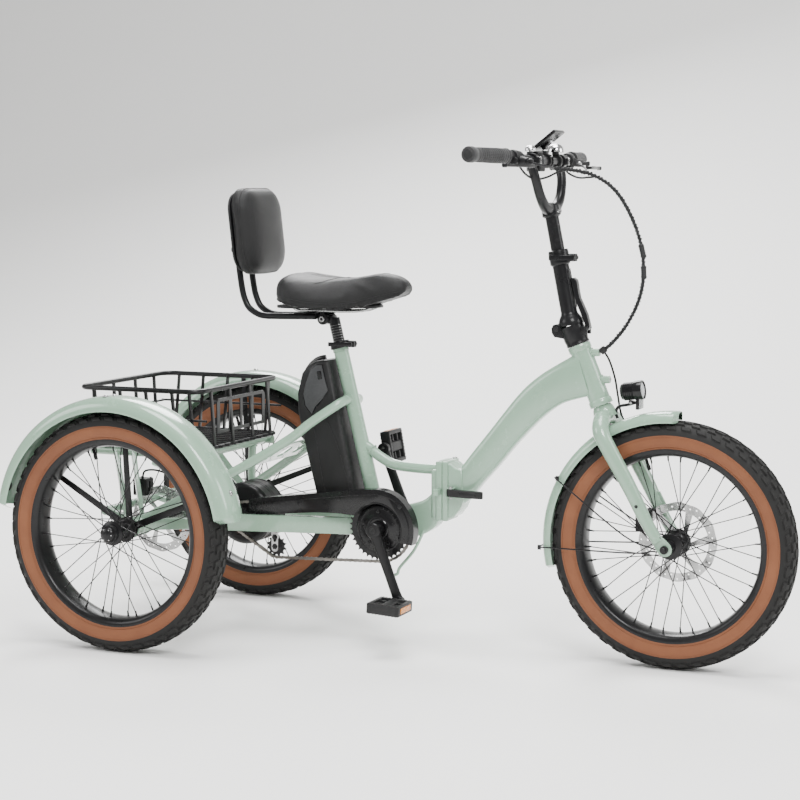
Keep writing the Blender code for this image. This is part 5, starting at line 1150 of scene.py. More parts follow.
bm = bmesh.new()
addBoxAt(bm, (0.6688, -0.0340, 0.2960), (0.6830, 0.0340, 0.4330), 0.0035, 0, segments=3)
casting = [(0.6780, 0.2980), (0.6780, 0.4310), (0.6900, 0.4280), (0.7020, 0.4190), (0.7160, 0.4180),
           (0.7200, 0.3480), (0.7100, 0.3240),
           (0.6960, 0.3060)]
addPlate(bm, casting, -0.0300, 0.0300, 0.007, 0, segments=4)
addBeamLoft(bm, beamStations, 0.0262, 0)
addRod(bm, headBottom, headTop, 0.0240, None, 48, 0)
for t in (0.0, 1.0):
    spot = headBottom.lerp(headTop, t)
    way = headDir if t else -headDir
    addLathe(bm, [(0.0238, -0.0150), (0.0262, -0.0120), (0.0264, -0.0016), (0.0256, -0.0004),
                  (0.0180, -0.0004)], spot, way, 48, 0)
addRod(bm, (0.6688, 0.0465, 0.3280), (0.6688, 0.0465, 0.4010), 0.0090, None, 28, 0)
addBoxAt(bm, (0.6700, 0.0300, 0.3290), (0.6820, 0.0440, 0.4000), 0.0015, 0)
for drop in (0.018, 0.082):
    spot = headTop - headDir * drop
    addRod(bm, spot, spot + Vector((0.042, 0, 0.002)), 0.0100, 0.0085, 24, 0)
    addWeld(bm, spot + Vector((0.0240, 0, 0.001)), (1, 0, 0.05), 0.0098, 0, 0.0014)
    for side in (1, -1):
        addBolt(bm, spot + Vector((0.0412, side * 0.0036, 0.002)), (1, 0, 0.04), 0.0022, 0.0020, 1)
# latch block of the folding joint
addBoxAt(bm, (0.6840, -0.0480, 0.3530), (0.7040, -0.0300, 0.3555), 0.001, 0)
addBoxAt(bm, (0.6840, -0.0480, 0.3735), (0.7040, -0.0300, 0.3760), 0.001, 0)
for z, way in ((0.3535, -1), (0.3755, 1)):
    addBolt(bm, (0.6950, -0.0440, z), (0, 0, way), 0.0050, 0.0030, 1)
piece("frontFrameDetail", bm, [greenPaint, steel], "front_half", ["front_frame"], 40)

latchLook = {"bevel": 0.0028}
bm = bmesh.new()
handle = arcPoints((0.6950, -0.0440), 0.0094, 90, 270, 15) + [(p.x, p.y) for p in roundPath(
    [(0.7020, -0.0545, 0), (0.7300, -0.0606, 0), (0.7700, -0.0600, 0), (0.7768, -0.0555, 0),
     (0.7750, -0.0505, 0), (0.7640, -0.0465, 0),
     (0.7300, -0.0445, 0), (0.7100, -0.0368, 0)], 3)]
addPlate(bm, handle, 0.3562, 0.3728, latchLook["bevel"], 0, "Z", 4)
addBoxAt(bm, (0.7200, -0.0618, 0.3600), (0.7620, -0.0560, 0.3690), 0.0022, 1, segments=3)
for z, way in ((0.3562, -1), (0.3728, 1)):
    addLathe(bm, [(0.0062, -0.001), (0.0062, 0.0004), (0.0050, 0.0010), (0.0, 0.0010)], (0.6950, -0.0440, z),
             (0, 0, way), 24, 2)
piece("foldLatchDetail", bm, [blackPlastic, blackPaint, steel], "fold_latch", ["fold_latch"],
      35)
print("frame made")


# ---- fork and stem

stemLow = Vector((0.9625, 0, 0.762))
stemHigh = Vector((0.9325, 0, 0.912))
stemDir = (stemHigh - stemLow).normalized()
bm = bmesh.new()
legRadii = [0.0190, 0.0188, 0.0184, 0.0176, 0.0162, 0.0142, 0.0125]
addLathe(bm, [(0.0143, 0.0), (0.0262, 0.0), (0.0268, 0.0030), (0.0262, 0.0110), (0.0235, 0.0220),
              (0.0200, 0.0290), (0.0143, 0.0290)],
         headBottom - headDir * 0.0295, headDir, 48, 0, closed=True)
addRod(bm, headBottom - headDir * 0.020, headTop + headDir * 0.008, 0.0143, None, 32, 1)
for side in (1, -1):
    leg = mirrorPair([(1.0468, 0.0, 0.5512), (1.0485, 0.0340, 0.5475), (1.0550, 0.0612, 0.5230),
                      (1.0780, 0.0655, 0.4820),
                      (1.1210, 0.0640, 0.4080), (1.1580, 0.0625, 0.3370), (1.1870, 0.0625, 0.2900)], side)
    addTube(bm, roundPath(leg, 7), legRadii, sides, 0)
    ear = [(1.1800, 0.3060), (1.1960, 0.3010), (1.2160, 0.2830), (1.2170, 0.2670), (1.2060, 0.2590),
           (1.1920, 0.2620), (1.1780, 0.2840)]
    smooth = [(p.x, p.z) for p in roundPath([(x, 0, z) for x, z in ear], 3, closed=True)]
    addPlate(bm, smooth, side * 0.063 - 0.0032, side * 0.063 + 0.0032, 0.0012, 0, segments=3)
    addBolt(bm, (1.1905, side * 0.0660, 0.2990), (0, side, 0), 0.0040, 0.0034, 2)
    for spot in ((1.1160, 0.4170), (1.1420, 0.3670)):
        addBolt(bm, (spot[0], side * 0.0770, spot[1]), (0, side, 0), 0.0038, 0.0026, 2)
lug = [(1.1480, 0.3300), (1.1700, 0.3300), (1.1700, 0.3560), (1.1560, 0.3820), (1.1480, 0.3820)]
addPlate(bm, lug, 0.0545, 0.0615, 0.0015, 0)
piece("forkDetail", bm, [greenPaint, steel, blackPaint], "steering", ["fork"], 40)

bm = bmesh.new()
baseTop = stemLow - stemDir * 0.0142
addLathe(bm, [(0.0170, 0.0), (0.0255, 0.0), (0.0265, 0.0020), (0.0258, 0.0060), (0.0262, 0.0100),
              (0.0272, 0.0140)]
         + [(0.0272, (baseTop - headTop).length - 0.0014), (0.0262, (baseTop - headTop).length),
            (0.0170, (baseTop - headTop).length)],
         headTop + headDir * 0.0011, baseTop - headTop, 48, 0)
ear = [(0.9700, 0.7180), (0.9300, 0.7240), (0.9242, 0.7330), (0.9234, 0.7430), (0.9275, 0.7508),
       (0.9355, 0.7530), (0.9430, 0.7490),
       (0.9480, 0.7440), (0.9700, 0.7400)]
for low, high in ((-0.0170, -0.0094), (0.0094, 0.0170)):
    addPlate(bm, ear, low, high, 0.0014, 0, segments=3)
addRod(bm, (0.9345, -0.0190, 0.7420), (0.9345, 0.0190, 0.7420), 0.0041, None, 20, 1)
for way in (1, -1):
    addBolt(bm, (0.9345, way * 0.0172, 0.7420), (0, way, 0), 0.0060, 0.0024, 1)
    addBoxAt(bm, (0.9900, way * 0.0130 - 0.0030, 0.7320), (1.0060, way * 0.0130 + 0.0030, 0.7500), 0.0018, 0)
    addBolt(bm, (1.0030, way * 0.0160, 0.7460), (0, way, 0), 0.0036, 0.0016, 1)
for turn in (0.6, -0.6):
    spot = headTop + headDir * 0.018
    aim = Vector((math.cos(2.6) * 1.0, math.sin(turn), 0.25)).normalized()
    addBolt(bm, spot + aim * 0.0255, aim, 0.0042, 0.0022, 1)
piece("stemBaseDetail", bm, [blackPaint, blackPlastic], "steering", ["stem_base"], 35)

bm = bmesh.new()
blade = [(1.0000, 0.7410), (1.0060, 0.7410), (1.0090, 0.7500), (1.0055, 0.7640), (1.0020, 0.7760),
         (0.9930, 0.7950), (0.9850, 0.8120),
         (0.9815, 0.8280), (0.9790, 0.8440), (0.9765, 0.8520), (0.9700, 0.8560), (0.9650, 0.8550),
         (0.9645, 0.8500), (0.9680, 0.8400),
         (0.9710, 0.8260), (0.9740, 0.8120), (0.9830, 0.7890), (0.9895, 0.7740), (0.9970, 0.7560)]
addPlate(bm, blade, -0.0088, 0.0088, 0.0018, 0, segments=4)
addRod(bm, (1.0040, -0.0092, 0.7462), (1.0040, 0.0092, 0.7462), 0.0040, None, 24, 1)
spine = [(1.0010, 0, 0.7700), (0.9915, 0, 0.7905), (0.9835, 0, 0.8080)]
addSweep(bm, roundPath(spine, 4), [(u * 1.9, v * 0.9) for u, v in ringSection(12)], 0.0026, 0)
piece("stemLatchDetail", bm, [glossPlastic, blackPaint], "stem_latch", ["stem_latch"], 35)

bm = bmesh.new()
tubeLength = (stemHigh - stemLow).length
profile = [(0.0140, -0.0115), (0.0275, -0.0115), (0.0278, -0.0090), (0.0274, -0.0020), (0.0250, 0.0040),
           (0.0222, 0.0090), (0.0196, 0.0130),
           (0.0185, 0.0180), (0.0185, tubeLength - 0.0300), (0.0205, tubeLength - 0.0290),
           (0.0222, tubeLength - 0.0270),
           (0.0226, tubeLength - 0.0240), (0.0226, tubeLength - 0.0020), (0.0218, tubeLength + 0.0030),
           (0.0200, tubeLength + 0.0042),
           (0.0156, tubeLength + 0.0042), (0.0156, tubeLength - 0.0100), (0.0140, tubeLength - 0.0100)]
addLathe(bm, profile, stemLow, stemDir, 48, 0, closed=True)
stemSide = Vector((stemDir.z, 0, -stemDir.x))
for way in (1, -1):
    start, end = stemLow + stemDir * 0.026, stemHigh - stemDir * 0.040
    offset = stemSide * 0.0162 + Vector((0, way * 0.0080, 0))
    addSweep(bm, [start + offset, end + offset], ringSection(10), 0.0022, 0)
collarEar = stemHigh - stemDir * 0.012
for y in (-0.0048, 0.0048):
    addBoxAt(bm, (collarEar.x + 0.0180, y - 0.0030, collarEar.z - 0.0085),
             (collarEar.x + 0.0400, y + 0.0030, collarEar.z + 0.0085), 0.002, 0,
             segments=3)
addLathe(bm, [(0.0, -0.0150), (0.0050, -0.0146), (0.0066, -0.0130), (0.0066, -0.0085), (0.0026, -0.0080),
              (0.0026, 0.0080)],
         collarEar + Vector((0.0340, 0, 0)), (0, -1, 0), 20, 1)
addRod(bm, (0.9345, -0.0088, 0.7420), (0.9345, 0.0088, 0.7420), 0.0105, None, 28, 0)
addBeam(bm, (0.9365, 0, 0.7440), (0.9520, 0, 0.7560), 0.0172, 0.0150, 0.002, 0)
piece("stemTubeDetail", bm, [blackPaint, blackPlastic], "stem", ["stem_tube"], 35)

bm = bmesh.new()
addCamLever(bm, collarEar + Vector((0.0340, -0.0150, 0)), 0.0060, 0, 1)
piece("collarLeverDetail", bm, [glossPlastic, blackPaint], "collar_lever", ["collar_lever"],
      35)

yokeFoot = stemHigh + stemDir * 0.094
clampY = 0.094
bm = bmesh.new()
addRod(bm, stemHigh - stemDir * 0.0590, yokeFoot, 0.0150, None, 40, 0)
for k in range(8):
    spot = stemHigh + stemDir * (0.020 + 0.007 * k)
    addRod(bm, spot + Vector((0.0142, -0.0030 if k % 2 else -0.0050, 0)),
           spot + Vector((0.0142, 0.0030 if k % 2 else 0.0050, 0)), 0.0008,
           None, 8, 2)
for side in (1, -1):
    arm = [(yokeFoot.x, 0, yokeFoot.z + 0.002), (yokeFoot.x, side * 0.0200, yokeFoot.z + 0.003),
           (yokeFoot.x, side * 0.0420, yokeFoot.z + 0.010),
           (yokeFoot.x - 0.001, side * 0.0680, yokeFoot.z + 0.032), (yokeFoot.x - 0.005, side * 0.0870,
                                                            yokeFoot.z + 0.068),
           (0.9020, side * clampY, 1.1000)]
    addTube(bm, roundPath(arm, 7), [0.0150, 0.0140, 0.0120, 0.0108, 0.0104, 0.0108], 24, 0)
    addLathe(bm, [(0.0114, -0.008), (0.0157, -0.008), (0.0165, -0.0070), (0.0165, 0.0070), (0.0157, 0.008),
                  (0.0114, 0.008)],
             (0.902, side * clampY, 1.112), (0, 1, 0), 40, 0, closed=True)
    addBoxAt(bm, (0.9130, side * clampY - 0.0072, 1.1040), (0.9230, side * clampY + 0.0072, 1.1200), 0.002, 0)
    for z in (1.1070, 1.1170):
        addBolt(bm, (0.9222, side * clampY, z), (1, 0, 0), 0.0032, 0.0026, 1)
addRod(bm, yokeFoot - stemDir * 0.016, yokeFoot + stemDir * 0.012, 0.0210, 0.0200, 40, 0, 0.004)
for side in (1, -1):
    addBolt(bm, yokeFoot + Vector((0.0195, side * 0.0080, -0.002)), (1, 0, 0), 0.0036, 0.0026, 1)
piece("stemPostDetail", bm, [blackPaint, steel, lampClear], "bar", ["stem_post"], 35)
print("fork and stem made")


# ---- handlebar and what is on it

halfBar = [(0.9020, 0, 1.1120), (0.9020, 0.0600, 1.1120), (0.9020, 0.1080, 1.1120), (0.8970, 0.1500, 1.1150),
           (0.8880, 0.2060, 1.1195),
           (0.8620, 0.3560, 1.1210)]
gripStart, gripEnd = Vector(halfBar[4]), Vector(halfBar[5])
gripDir = (gripEnd - gripStart).normalized()
bm = bmesh.new()
whole = [(x, -y, z) for x, y, z in reversed(halfBar[1:])] + halfBar
addTube(bm, roundPath(whole, 6), 0.0111, 28, 0)
for side in (1, -1):
    near, far = Vector((0.8954, side * 0.1600, 1.1158)), Vector((0.8909, side * 0.1880, 1.1181))
    addRod(bm, near, far, 0.0160, None, 32, 1, 0.002)
    horn = [near.lerp(far, 0.5) + Vector((0.008, 0, -0.003)), (0.9120, side * 0.1790, 1.1100),
            (0.9260, side * 0.1850, 1.1085)]
    addTube(bm, roundPath(horn, 5), [0.0105, 0.0090, 0.0078], 20, 1)
    addRod(bm, (0.9350, side * 0.1910, 1.1040), (0.9350, side * 0.1910, 1.1130), 0.0062, None, 24, 1)
    addBeam(bm, (0.9240, side * 0.1840, 1.1085), (0.9360, side * 0.1905, 1.1085), 0.0110, 0.0080, 0.002, 1)
    addBolt(bm, (0.9350, side * 0.1910, 1.1126), (0, 0, 1), 0.0034, 0.0014, 2)
    addLathe(bm, [(0.0048, 0.0), (0.0048, 0.0080), (0.0036, 0.0090), (0.0036, 0.0150), (0.0026, 0.0160)],
             (0.9220, side * 0.1760, 1.1080), (0.25, -side * 0.97, 0), 16, 2)
    # lever body under the bar
    addRod(bm, (0.8980, side * 0.1960, 1.1100), (0.8990, side * 0.1800, 1.1090), 0.0085, None, 24, 1)
    addBoxAt(bm, (0.8800, side * 0.1720 - 0.0130, 1.0990), (0.9060, side * 0.1720 + 0.0130, 1.1060), 0.002, 1,
             segments=3)
# bell, smaller and silver, beside the right clamp
bellSpot = Vector((0.8960, -0.0850, 1.1350))
addLathe(bm, [(0.0120, -0.0020), (0.0125, 0.0), (0.0118, 0.0035), (0.0096, 0.0070), (0.0060, 0.0092),
              (0.0018, 0.0100), (0.0, 0.0101)],
         bellSpot, (0, -0.2, 1), 28, 3)
addRod(bm, (0.8990, -0.0820, 1.1180), bellSpot, 0.0048, None, 16, 1)
addLathe(bm, [(0.0112, -0.0035), (0.0145, -0.0035), (0.0150, -0.0026), (0.0150, 0.0026), (0.0145, 0.0035),
              (0.0112, 0.0035)],
         (0.9020, -0.0815, 1.1120), (0, -1, 0), 32, 1, closed=True)
# what the display stands on
for side in (1, -1):
    addLathe(bm, [(0.0113, -0.0025), (0.0155, -0.0025), (0.0160, -0.0015), (0.0160, 0.0015), (0.0155, 0.0025),
                  (0.0113, 0.0025)],
             (0.902, side * 0.0072, 1.112), (0, 1, 0), 36, 1, closed=True)
addBoxAt(bm, (0.8952, -0.0088, 1.1260), (0.9058, 0.0088, 1.1344), 0.0018, 1)
addBolt(bm, (0.9140, 0, 1.1230), (0.6, 0, 0.8), 0.0028, 0.0020, 2)
piece("handlebarDetail", bm, [blackPaint, blackPlastic, steel, chrome], "bar", ["handlebar"],
      35)

gripLook = {"ribs": 15, "ribHeight": 0.0009, "startRadius": 0.0162, "endRadius": 0.0152}
for side, label in ((-1, "right"), (1, "left")):
    start = Vector((gripStart.x, side * gripStart.y,
                    gripStart.z)) + Vector((gripDir.x, side * gripDir.y, gripDir.z)) * 0.008
    along = Vector((gripDir.x, side * gripDir.y, gripDir.z))
    length = (gripEnd - gripStart).length
    profile = [(0.0114, 0.0), (0.0166, 0.0), (0.0170, 0.0010), (0.0170, 0.0030), (0.0164, 0.0042)]
    ribs = gripLook["ribs"]
    for k in range(ribs):
        at = 0.0060 + (length - 0.026) * k / ribs
        wide = (length - 0.026) / ribs
        base = gripLook["startRadius"] + (gripLook["endRadius"] - gripLook["startRadius"]) * k / ribs
        rise = gripLook["ribHeight"]
        profile += [(base - rise, at), (base - rise, at + wide * 0.34), (base, at + wide * 0.48),
                    (base, at + wide * 0.92)]
    profile += [(0.0158, length - 0.0180), (0.0170, length - 0.0150), (0.0170, length - 0.0040),
                (0.0160, length - 0.0006), (0.0140, length)]
    bm = bmesh.new()
    addLathe(bm, profile + [(0.0114, length)], start, along, 48, 0, closed=True)
    addLathe(bm, [(0.0113, length - 0.012), (0.0113, length + 0.0004), (0.0100, length + 0.0014),
                  (0.0, length + 0.0016)], start, along, 32, 1)
    for angle in range(0, 360, 12):                 # long palm ridges between the ribs
        turn = math.radians(angle)
        frameOf = turnTo(along)
        off = frameOf @ Vector((math.cos(turn), math.sin(turn), 0))
        a = start + along * 0.030 + off * 0.0158
        b = start + along * (length - 0.040) + off * 0.0152
        addSweep(bm, [a, b], ringSection(6), 0.0006, 0)
    piece("gripDetail_" + label, bm, [gripRubber, blackPlastic], "bar", ["grip_" + label], 32)

for side, label in ((-1, "right"), (1, "left")):
    blade = [(x + 0.0080, y + 0.0300) for x, y in ((0.9250, 0.1560), (0.9330, 0.1575), (0.9372, 0.1620),
                                                   (0.9366, 0.1760), (0.9330, 0.2000), (0.9284, 0.2240),
                                                   (0.9240, 0.2450),
             (0.9210, 0.2680), (0.9196, 0.2850), (0.9175, 0.2895), (0.9135, 0.2898), (0.9110, 0.2860),
             (0.9122, 0.2640), (0.9135, 0.2450),
             (0.9170, 0.2230), (0.9202, 0.2020), (0.9222, 0.1850), (0.9230, 0.1680))]
    outline = [(x, side * y) for x, y in blade]
    if side < 0:
        outline.reverse()
    bm = bmesh.new()
    addPlate(bm, outline, 1.0957, 1.1023, 0.0018, 0, "Z", 4)
    addRod(bm, (0.9232, side * 0.3150, 1.0946), (0.9232, side * 0.3150, 1.1034), 0.0062, None, 24, 0, 0.002)
    addLathe(bm, [(0.0040, -0.0128), (0.0040, -0.0040), (0.0028, -0.0030), (0.0028, 0.0030), (0.0, 0.0034)],
             (0.9350, side * 0.1910, 1.1075), (0, 0, 1), 16, 1)
    groove = [(0.9425, side * 0.2060, 1.1024), (0.9372, side * 0.2420, 1.1024),
              (0.9295, side * 0.2780, 1.1024)]
    addTube(bm, roundPath(groove, 4), 0.0007, 6, 0)
    piece("brakeLever_" + label, bm, [blackPaint, steel], "brake_" + label, ["brake_lever_" + label],
          35)

displayLook = {"tilt": -38}
tilt = Matrix.Translation((0.8990, 0, 1.1460)) @ Matrix.Rotation(math.radians(displayLook["tilt"]), 4, "Y")
bm = bmesh.new()
addBox(bm, (0.0700, 0.0660, 0.0080), tilt @ Matrix.Translation((0.0110, 0, 0.0040)), 0.0032, 4, 0)
addBox(bm, (0.0560, 0.0520, 0.0012), tilt @ Matrix.Translation((0.0100, 0, 0.0084)), 0.0005, 2, 1)
addRod(bm, (0.8990, -0.0080, 1.1415), (0.8990, 0.0080, 1.1415), 0.0052, None, 24, 0)
addBox(bm, (0.0180, 0.0150, 0.0050), tilt @ Matrix.Translation((0.0030, 0, -0.0016)), 0.0015, 3, 0)
for k in (-1, 0, 1):
    addBox(bm, (0.0060, 0.0100, 0.0012), tilt @ Matrix.Translation((-0.0190, k * 0.0150, 0.0086)), 0.0005, 2,
           2)
piece("displayDetail", bm, [glossPlastic, screenGlass, greyPlastic], "display", ["display"],
      35)

bm = bmesh.new()
addBoxAt(bm, (0.8835, -0.0775, 1.0885), (0.9155, -0.0405, 1.1010), 0.004, 0, segments=4)
addBoxAt(bm, (0.8840, -0.0765, 1.0980), (0.8880, -0.0415, 1.1325), 0.0014, 0, segments=3)
addBoxAt(bm, (0.8860, -0.0765, 1.1270), (0.9100, -0.0415, 1.1325), 0.0020, 0, segments=3)
addLathe(bm, [(0.0116, -0.0150), (0.0158, -0.0150), (0.0162, -0.0140), (0.0162, 0.0140), (0.0158, 0.0150),
              (0.0116, 0.0150)],
         (0.9020, -0.0590, 1.1120), (0, 1, 0), 40, 0, closed=True)
for k, colour in ((-0.0090, 1), (0.0, 1), (0.0090, 2)):
    addBoxAt(bm, (0.8822, -0.0590 + k - 0.0030, 1.1180), (0.8848, -0.0590 + k + 0.0030, 1.1250), 0.001,
             colour, segments=3)
addBoxAt(bm, (0.9130, -0.0630, 1.1060), (0.9200, -0.0550, 1.1180), 0.002, 1, segments=3)
piece("controlBoxDetail", bm, [blackPlastic, greyPlastic, redClear], "bar", ["control_box"],
      35)

bm = bmesh.new()
addLathe(bm, [(0.0, 0.0), (0.0175, 0.0), (0.0190, 0.0010), (0.0188, 0.0040), (0.0178, 0.0090),
              (0.0150, 0.0140), (0.0105, 0.0172),
              (0.0050, 0.0188), (0.0, 0.0190)], (0.9020, 0.0640, 1.1320), (0, 0, 1), 40, 1)
addLathe(bm, [(0.0114, -0.0050), (0.0156, -0.0050), (0.0162, -0.0040), (0.0162, 0.0040), (0.0156, 0.0050),
              (0.0114, 0.0050)],
         (0.9020, 0.0640, 1.1120), (0, 1, 0), 36, 0, closed=True)
addRod(bm, (0.9020, 0.0640, 1.1265), (0.9020, 0.0640, 1.1325), 0.0080, None, 24, 0)
addBeam(bm, (0.8900, 0.0520, 1.1310), (0.8800, 0.0460, 1.1300), 0.0060, 0.0030, 0.001, 0)
piece("bellDetail", bm, [blackPlastic, chrome], "bar", ["bell"], 35)
print("handlebar made")


# ---- cables: one wrapped bundle that leaves the bar, hangs forward and enters the head tube

loomLook = {"core": 0.0040, "wrap": 0.0011, "pitch": 0.0085, "plug": 0.0066}
loomRoute = [(0.9250, -0.040, 1.0960), (0.9600, -0.015, 1.0930), (1.0100, 0.010, 1.0800),
             (1.0550, 0.020, 1.0480),
             (1.0920, 0.018, 0.9940), (1.1180, 0.012, 0.9300), (1.1260, 0.008, 0.8650),
             (1.1170, 0.004, 0.8080),
             (1.0920, 0.0, 0.7550), (1.0600, 0.0, 0.7150), (1.0380, 0.0, 0.6970)]
loomPath = roundPath(loomRoute, 12)
loomSteps = [0.0]
for a, b in zip(loomPath, loomPath[1:]):
    loomSteps.append(loomSteps[-1] + (b - a).length)


def loomAt(distance):
    distance = max(0.0, min(loomSteps[-1], distance))
    for k in range(1, len(loomSteps)):
        if distance <= loomSteps[k] + 1e-9:
            t = (distance - loomSteps[k - 1]) / (loomSteps[k] - loomSteps[k - 1])
            return loomPath[k - 1].lerp(loomPath[k], t), (loomPath[k] - loomPath[k - 1]).normalized()
    return loomPath[-1], (loomPath[-1] - loomPath[-2]).normalized()


def addLoomStretch(bm, start, end):
    # four cores side by side under a spiral wrap
    count = max(4, int((end - start) / 0.006))
    for core in range(4):
        path = []
        for k in range(count + 1):
            at = start + (end - start) * k / count
            spot, along = loomAt(at)
            side = along.cross(Vector((0, 1, 0))).normalized()
            turn = core * math.pi / 2 + at * 9.0
            path.append(spot + side * (0.0020 * math.cos(turn)) + Vector((0, 0.0020 * math.sin(turn), 0)))
        addTube(bm, path, 0.0019, 10, 0)
    turns = (end - start) / loomLook["pitch"]
    count = max(8, int(turns * 14))
    path = []
    for k in range(count + 1):
        at = start + (end - start) * k / count
        spot, along = loomAt(at)
        side = along.cross(Vector((0, 1, 0))).normalized()
        turn = 2 * math.pi * at / loomLook["pitch"]
        path.append(spot + side * (loomLook["core"] * math.cos(turn)) + Vector((0,
                                                            loomLook["core"] * math.sin(turn), 0)))
    addSweep(bm, path, [(u * 1.9, v * 0.7) for u, v in ringSection(8)], loomLook["wrap"], 0)


def addPlug(bm, at, length):
    spot, along = loomAt(at)
    radius = loomLook["plug"]
    profile = [(radius * 0.62, 0.0), (radius * 0.95, 0.002), (radius, 0.004)]
    for k in range(4):
        z = 0.006 + k * (length - 0.012) / 4
        profile += [(radius, z), (radius * 0.86, z + 0.0012), (radius * 0.86, z + 0.0024),
                    (radius, z + 0.0036)]
    profile += [(radius, length - 0.003), (radius * 0.62, length)]
    addLathe(bm, profile, spot, along, 24, 1)


whole = loomSteps[-1]
cuts = (0.0, 0.16 * whole, 0.84 * whole, whole)
bm = bmesh.new()
addLoomStretch(bm, cuts[0], cuts[1] + 0.001)
hoses = (((0.9190, -0.1620, 1.1080), (0.9420, -0.1300, 1.1000), (0.9460, -0.0800, 1.0960),
          (0.9320, -0.0520, 1.0960), (0.9260, -0.0405, 1.0962)),
         ((0.8940, -0.1590, 1.1040), (0.9000, -0.1250, 1.0820), (0.9060, -0.0800, 1.0720),
          (0.9180, -0.0400, 1.0760), (0.9380, -0.0200, 1.0880),
          (0.9600, -0.0140, 1.0930)),
         ((0.9190, 0.1620, 1.1080), (0.9500, 0.1300, 1.0980), (0.9700, 0.0700, 1.0860),
          (0.9800, 0.0200, 1.0860), (1.0000, 0.0060, 1.0840)),
         ((0.8940, 0.1590, 1.1040), (0.9100, 0.1250, 1.0880), (0.9500, 0.0800, 1.0760),
          (0.9900, 0.0300, 1.0760), (1.0150, 0.0120, 1.0780)))
for hose in hoses:                                # from both levers and both switches
    addTube(bm, roundPath(hose, 7), 0.0024, 12, 0)
loomTop = piece("cableLoom_top", bm, [cableRubber, blackPlastic])
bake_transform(loomTop)
bm = bmesh.new()
addLoomStretch(bm, cuts[1], cuts[2])
addPlug(bm, 0.525 * whole, 0.032)
addPlug(bm, 0.61 * whole, 0.030)
piece("cableLoom_middle", bm, [cableRubber, blackPlastic], "stem", ["cable_loom"], 40)
bm = bmesh.new()
addLoomStretch(bm, cuts[2] - 0.001, whole)
loomFoot = piece("cableLoom_foot", bm, [cableRubber, blackPlastic])
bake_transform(loomFoot)
bm = bmesh.new()
spot, along = loomAt(whole)
addLathe(bm, [(0.0052, -0.0080), (0.0074, -0.0070), (0.0080, -0.0040), (0.0080, 0.0050), (0.0052, 0.0060)],
         spot, along, 24, 0)
addTube(bm, roundPath([(1.0300, 0.0280, 0.6950), (1.0440, 0.0300, 0.6720), (1.0560, 0.0340, 0.6330),
                       (1.0620, 0.0400, 0.5900),
                       (1.0660, 0.0560, 0.5480), (1.0860, 0.0850, 0.4900), (1.1200, 0.0840, 0.4230),
                       (1.1480, 0.0800, 0.3600),
                       (1.1420, 0.0560, 0.3430), (1.1320, 0.0460, 0.3430)], 7), 0.0024, 12, 1)
for at in ((1.0970, 0.0830, 0.4680), (1.1330, 0.0820, 0.3960)):
    addBox(bm, (0.0100, 0.0130, 0.0070), Matrix.Translation(at) @ Matrix.Rotation(math.radians(60), 4, "Y"),
           0.0015, 3, 0)
piece("frontBrakeHose", bm, [blackPlastic, cableRubber], "steering")
print("cables made")


# ---- headlamp and brakes

lampDir = Vector((math.cos(math.radians(8)), 0, math.sin(math.radians(8))))
lampMid = Vector((1.1060, 0, 0.6100))
bm = bmesh.new()
shellProfile = [(0.0, -0.0250), (0.0130, -0.0248), (0.0170, -0.0225), (0.0186, -0.0180)]
for k in range(5):
    z = -0.0170 + 0.0044 * k
    shellProfile += [(0.0200, z), (0.0200, z + 0.0020), (0.0184, z + 0.0026), (0.0184, z + 0.0040)]
shellProfile += [(0.0212, 0.0070), (0.0215, 0.0090), (0.0215, 0.0240), (0.0208, 0.0260), (0.0188, 0.0260),
                 (0.0180, 0.0200), (0.0, 0.0196)]
addLathe(bm, shellProfile, lampMid, lampDir, 48, 0)
addLathe(bm, [(0.0186, 0.0225), (0.0150, 0.0244), (0.0090, 0.0256), (0.0, 0.0260)], lampMid, lampDir, 40, 1)
addLathe(bm, [(0.0176, 0.0202), (0.0120, 0.0120), (0.0060, 0.0100), (0.0, 0.0098)], lampMid, lampDir, 32, 2)
addBoxAt(bm, (1.1180, -0.0130, 0.5700), (1.1255, 0.0130, 0.6000), 0.002, 0, segments=3)
addBoxAt(bm, (1.1250, -0.0115, 0.5718), (1.1292, 0.0115, 0.5982), 0.0015, 3, segments=3)
bracket = [(1.1190, 0, 0.5860), (1.1000, 0, 0.5800), (1.0760, 0, 0.5740), (1.0700, 0, 0.5600),
           (1.0735, 0, 0.5480)]
addTube(bm, roundPath(bracket, 6), 0.0034, 16, 4)
addBeam(bm, (1.1060, 0, 0.5890), (1.1050, 0, 0.5800), 0.0150, 0.0120, 0.002, 0)
addRod(bm, (1.1055, -0.0095, 0.5840), (1.1055, 0.0095, 0.5840), 0.0036, None, 20, 5)
piece("headlampDetail", bm, [glossPlastic, lampClear, chrome, lampClear, blackPaint, steel], "steering",
      ["headlamp"], 35)

bm = bmesh.new()
slabShape = [(1.1090, 0.2960), (1.1125, 0.2930), (1.1400, 0.2930), (1.1440, 0.2970), (1.1440, 0.3390),
             (1.1400, 0.3430), (1.1180, 0.3430),
             (1.1090, 0.3360)]
addPlate(bm, slabShape, 0.0262, 0.0355, 0.0020, 0, segments=3)
addPlate(bm, slabShape, 0.0396, 0.0500, 0.0026, 0, segments=3)
addBoxAt(bm, (1.1085, 0.0330, 0.2935), (1.1128, 0.0420, 0.3425), 0.0012, 0)
addLathe(bm, [(0.0100, -0.001), (0.0100, 0.0016), (0.0086, 0.0026), (0.0040, 0.0026), (0.0036, 0.0012),
              (0.0, 0.0012)],
         (1.1260, 0.0500, 0.3180), (0, 1, 0), 32, 1)
for z in (0.2990, 0.3365):
    addBolt(bm, (1.1370, 0.0498, z), (0, 1, 0), 0.0034, 0.0028, 1)
addBoxAt(bm, (1.1420, 0.0430, 0.3330), (1.1500, 0.0560, 0.3420), 0.002, 0)
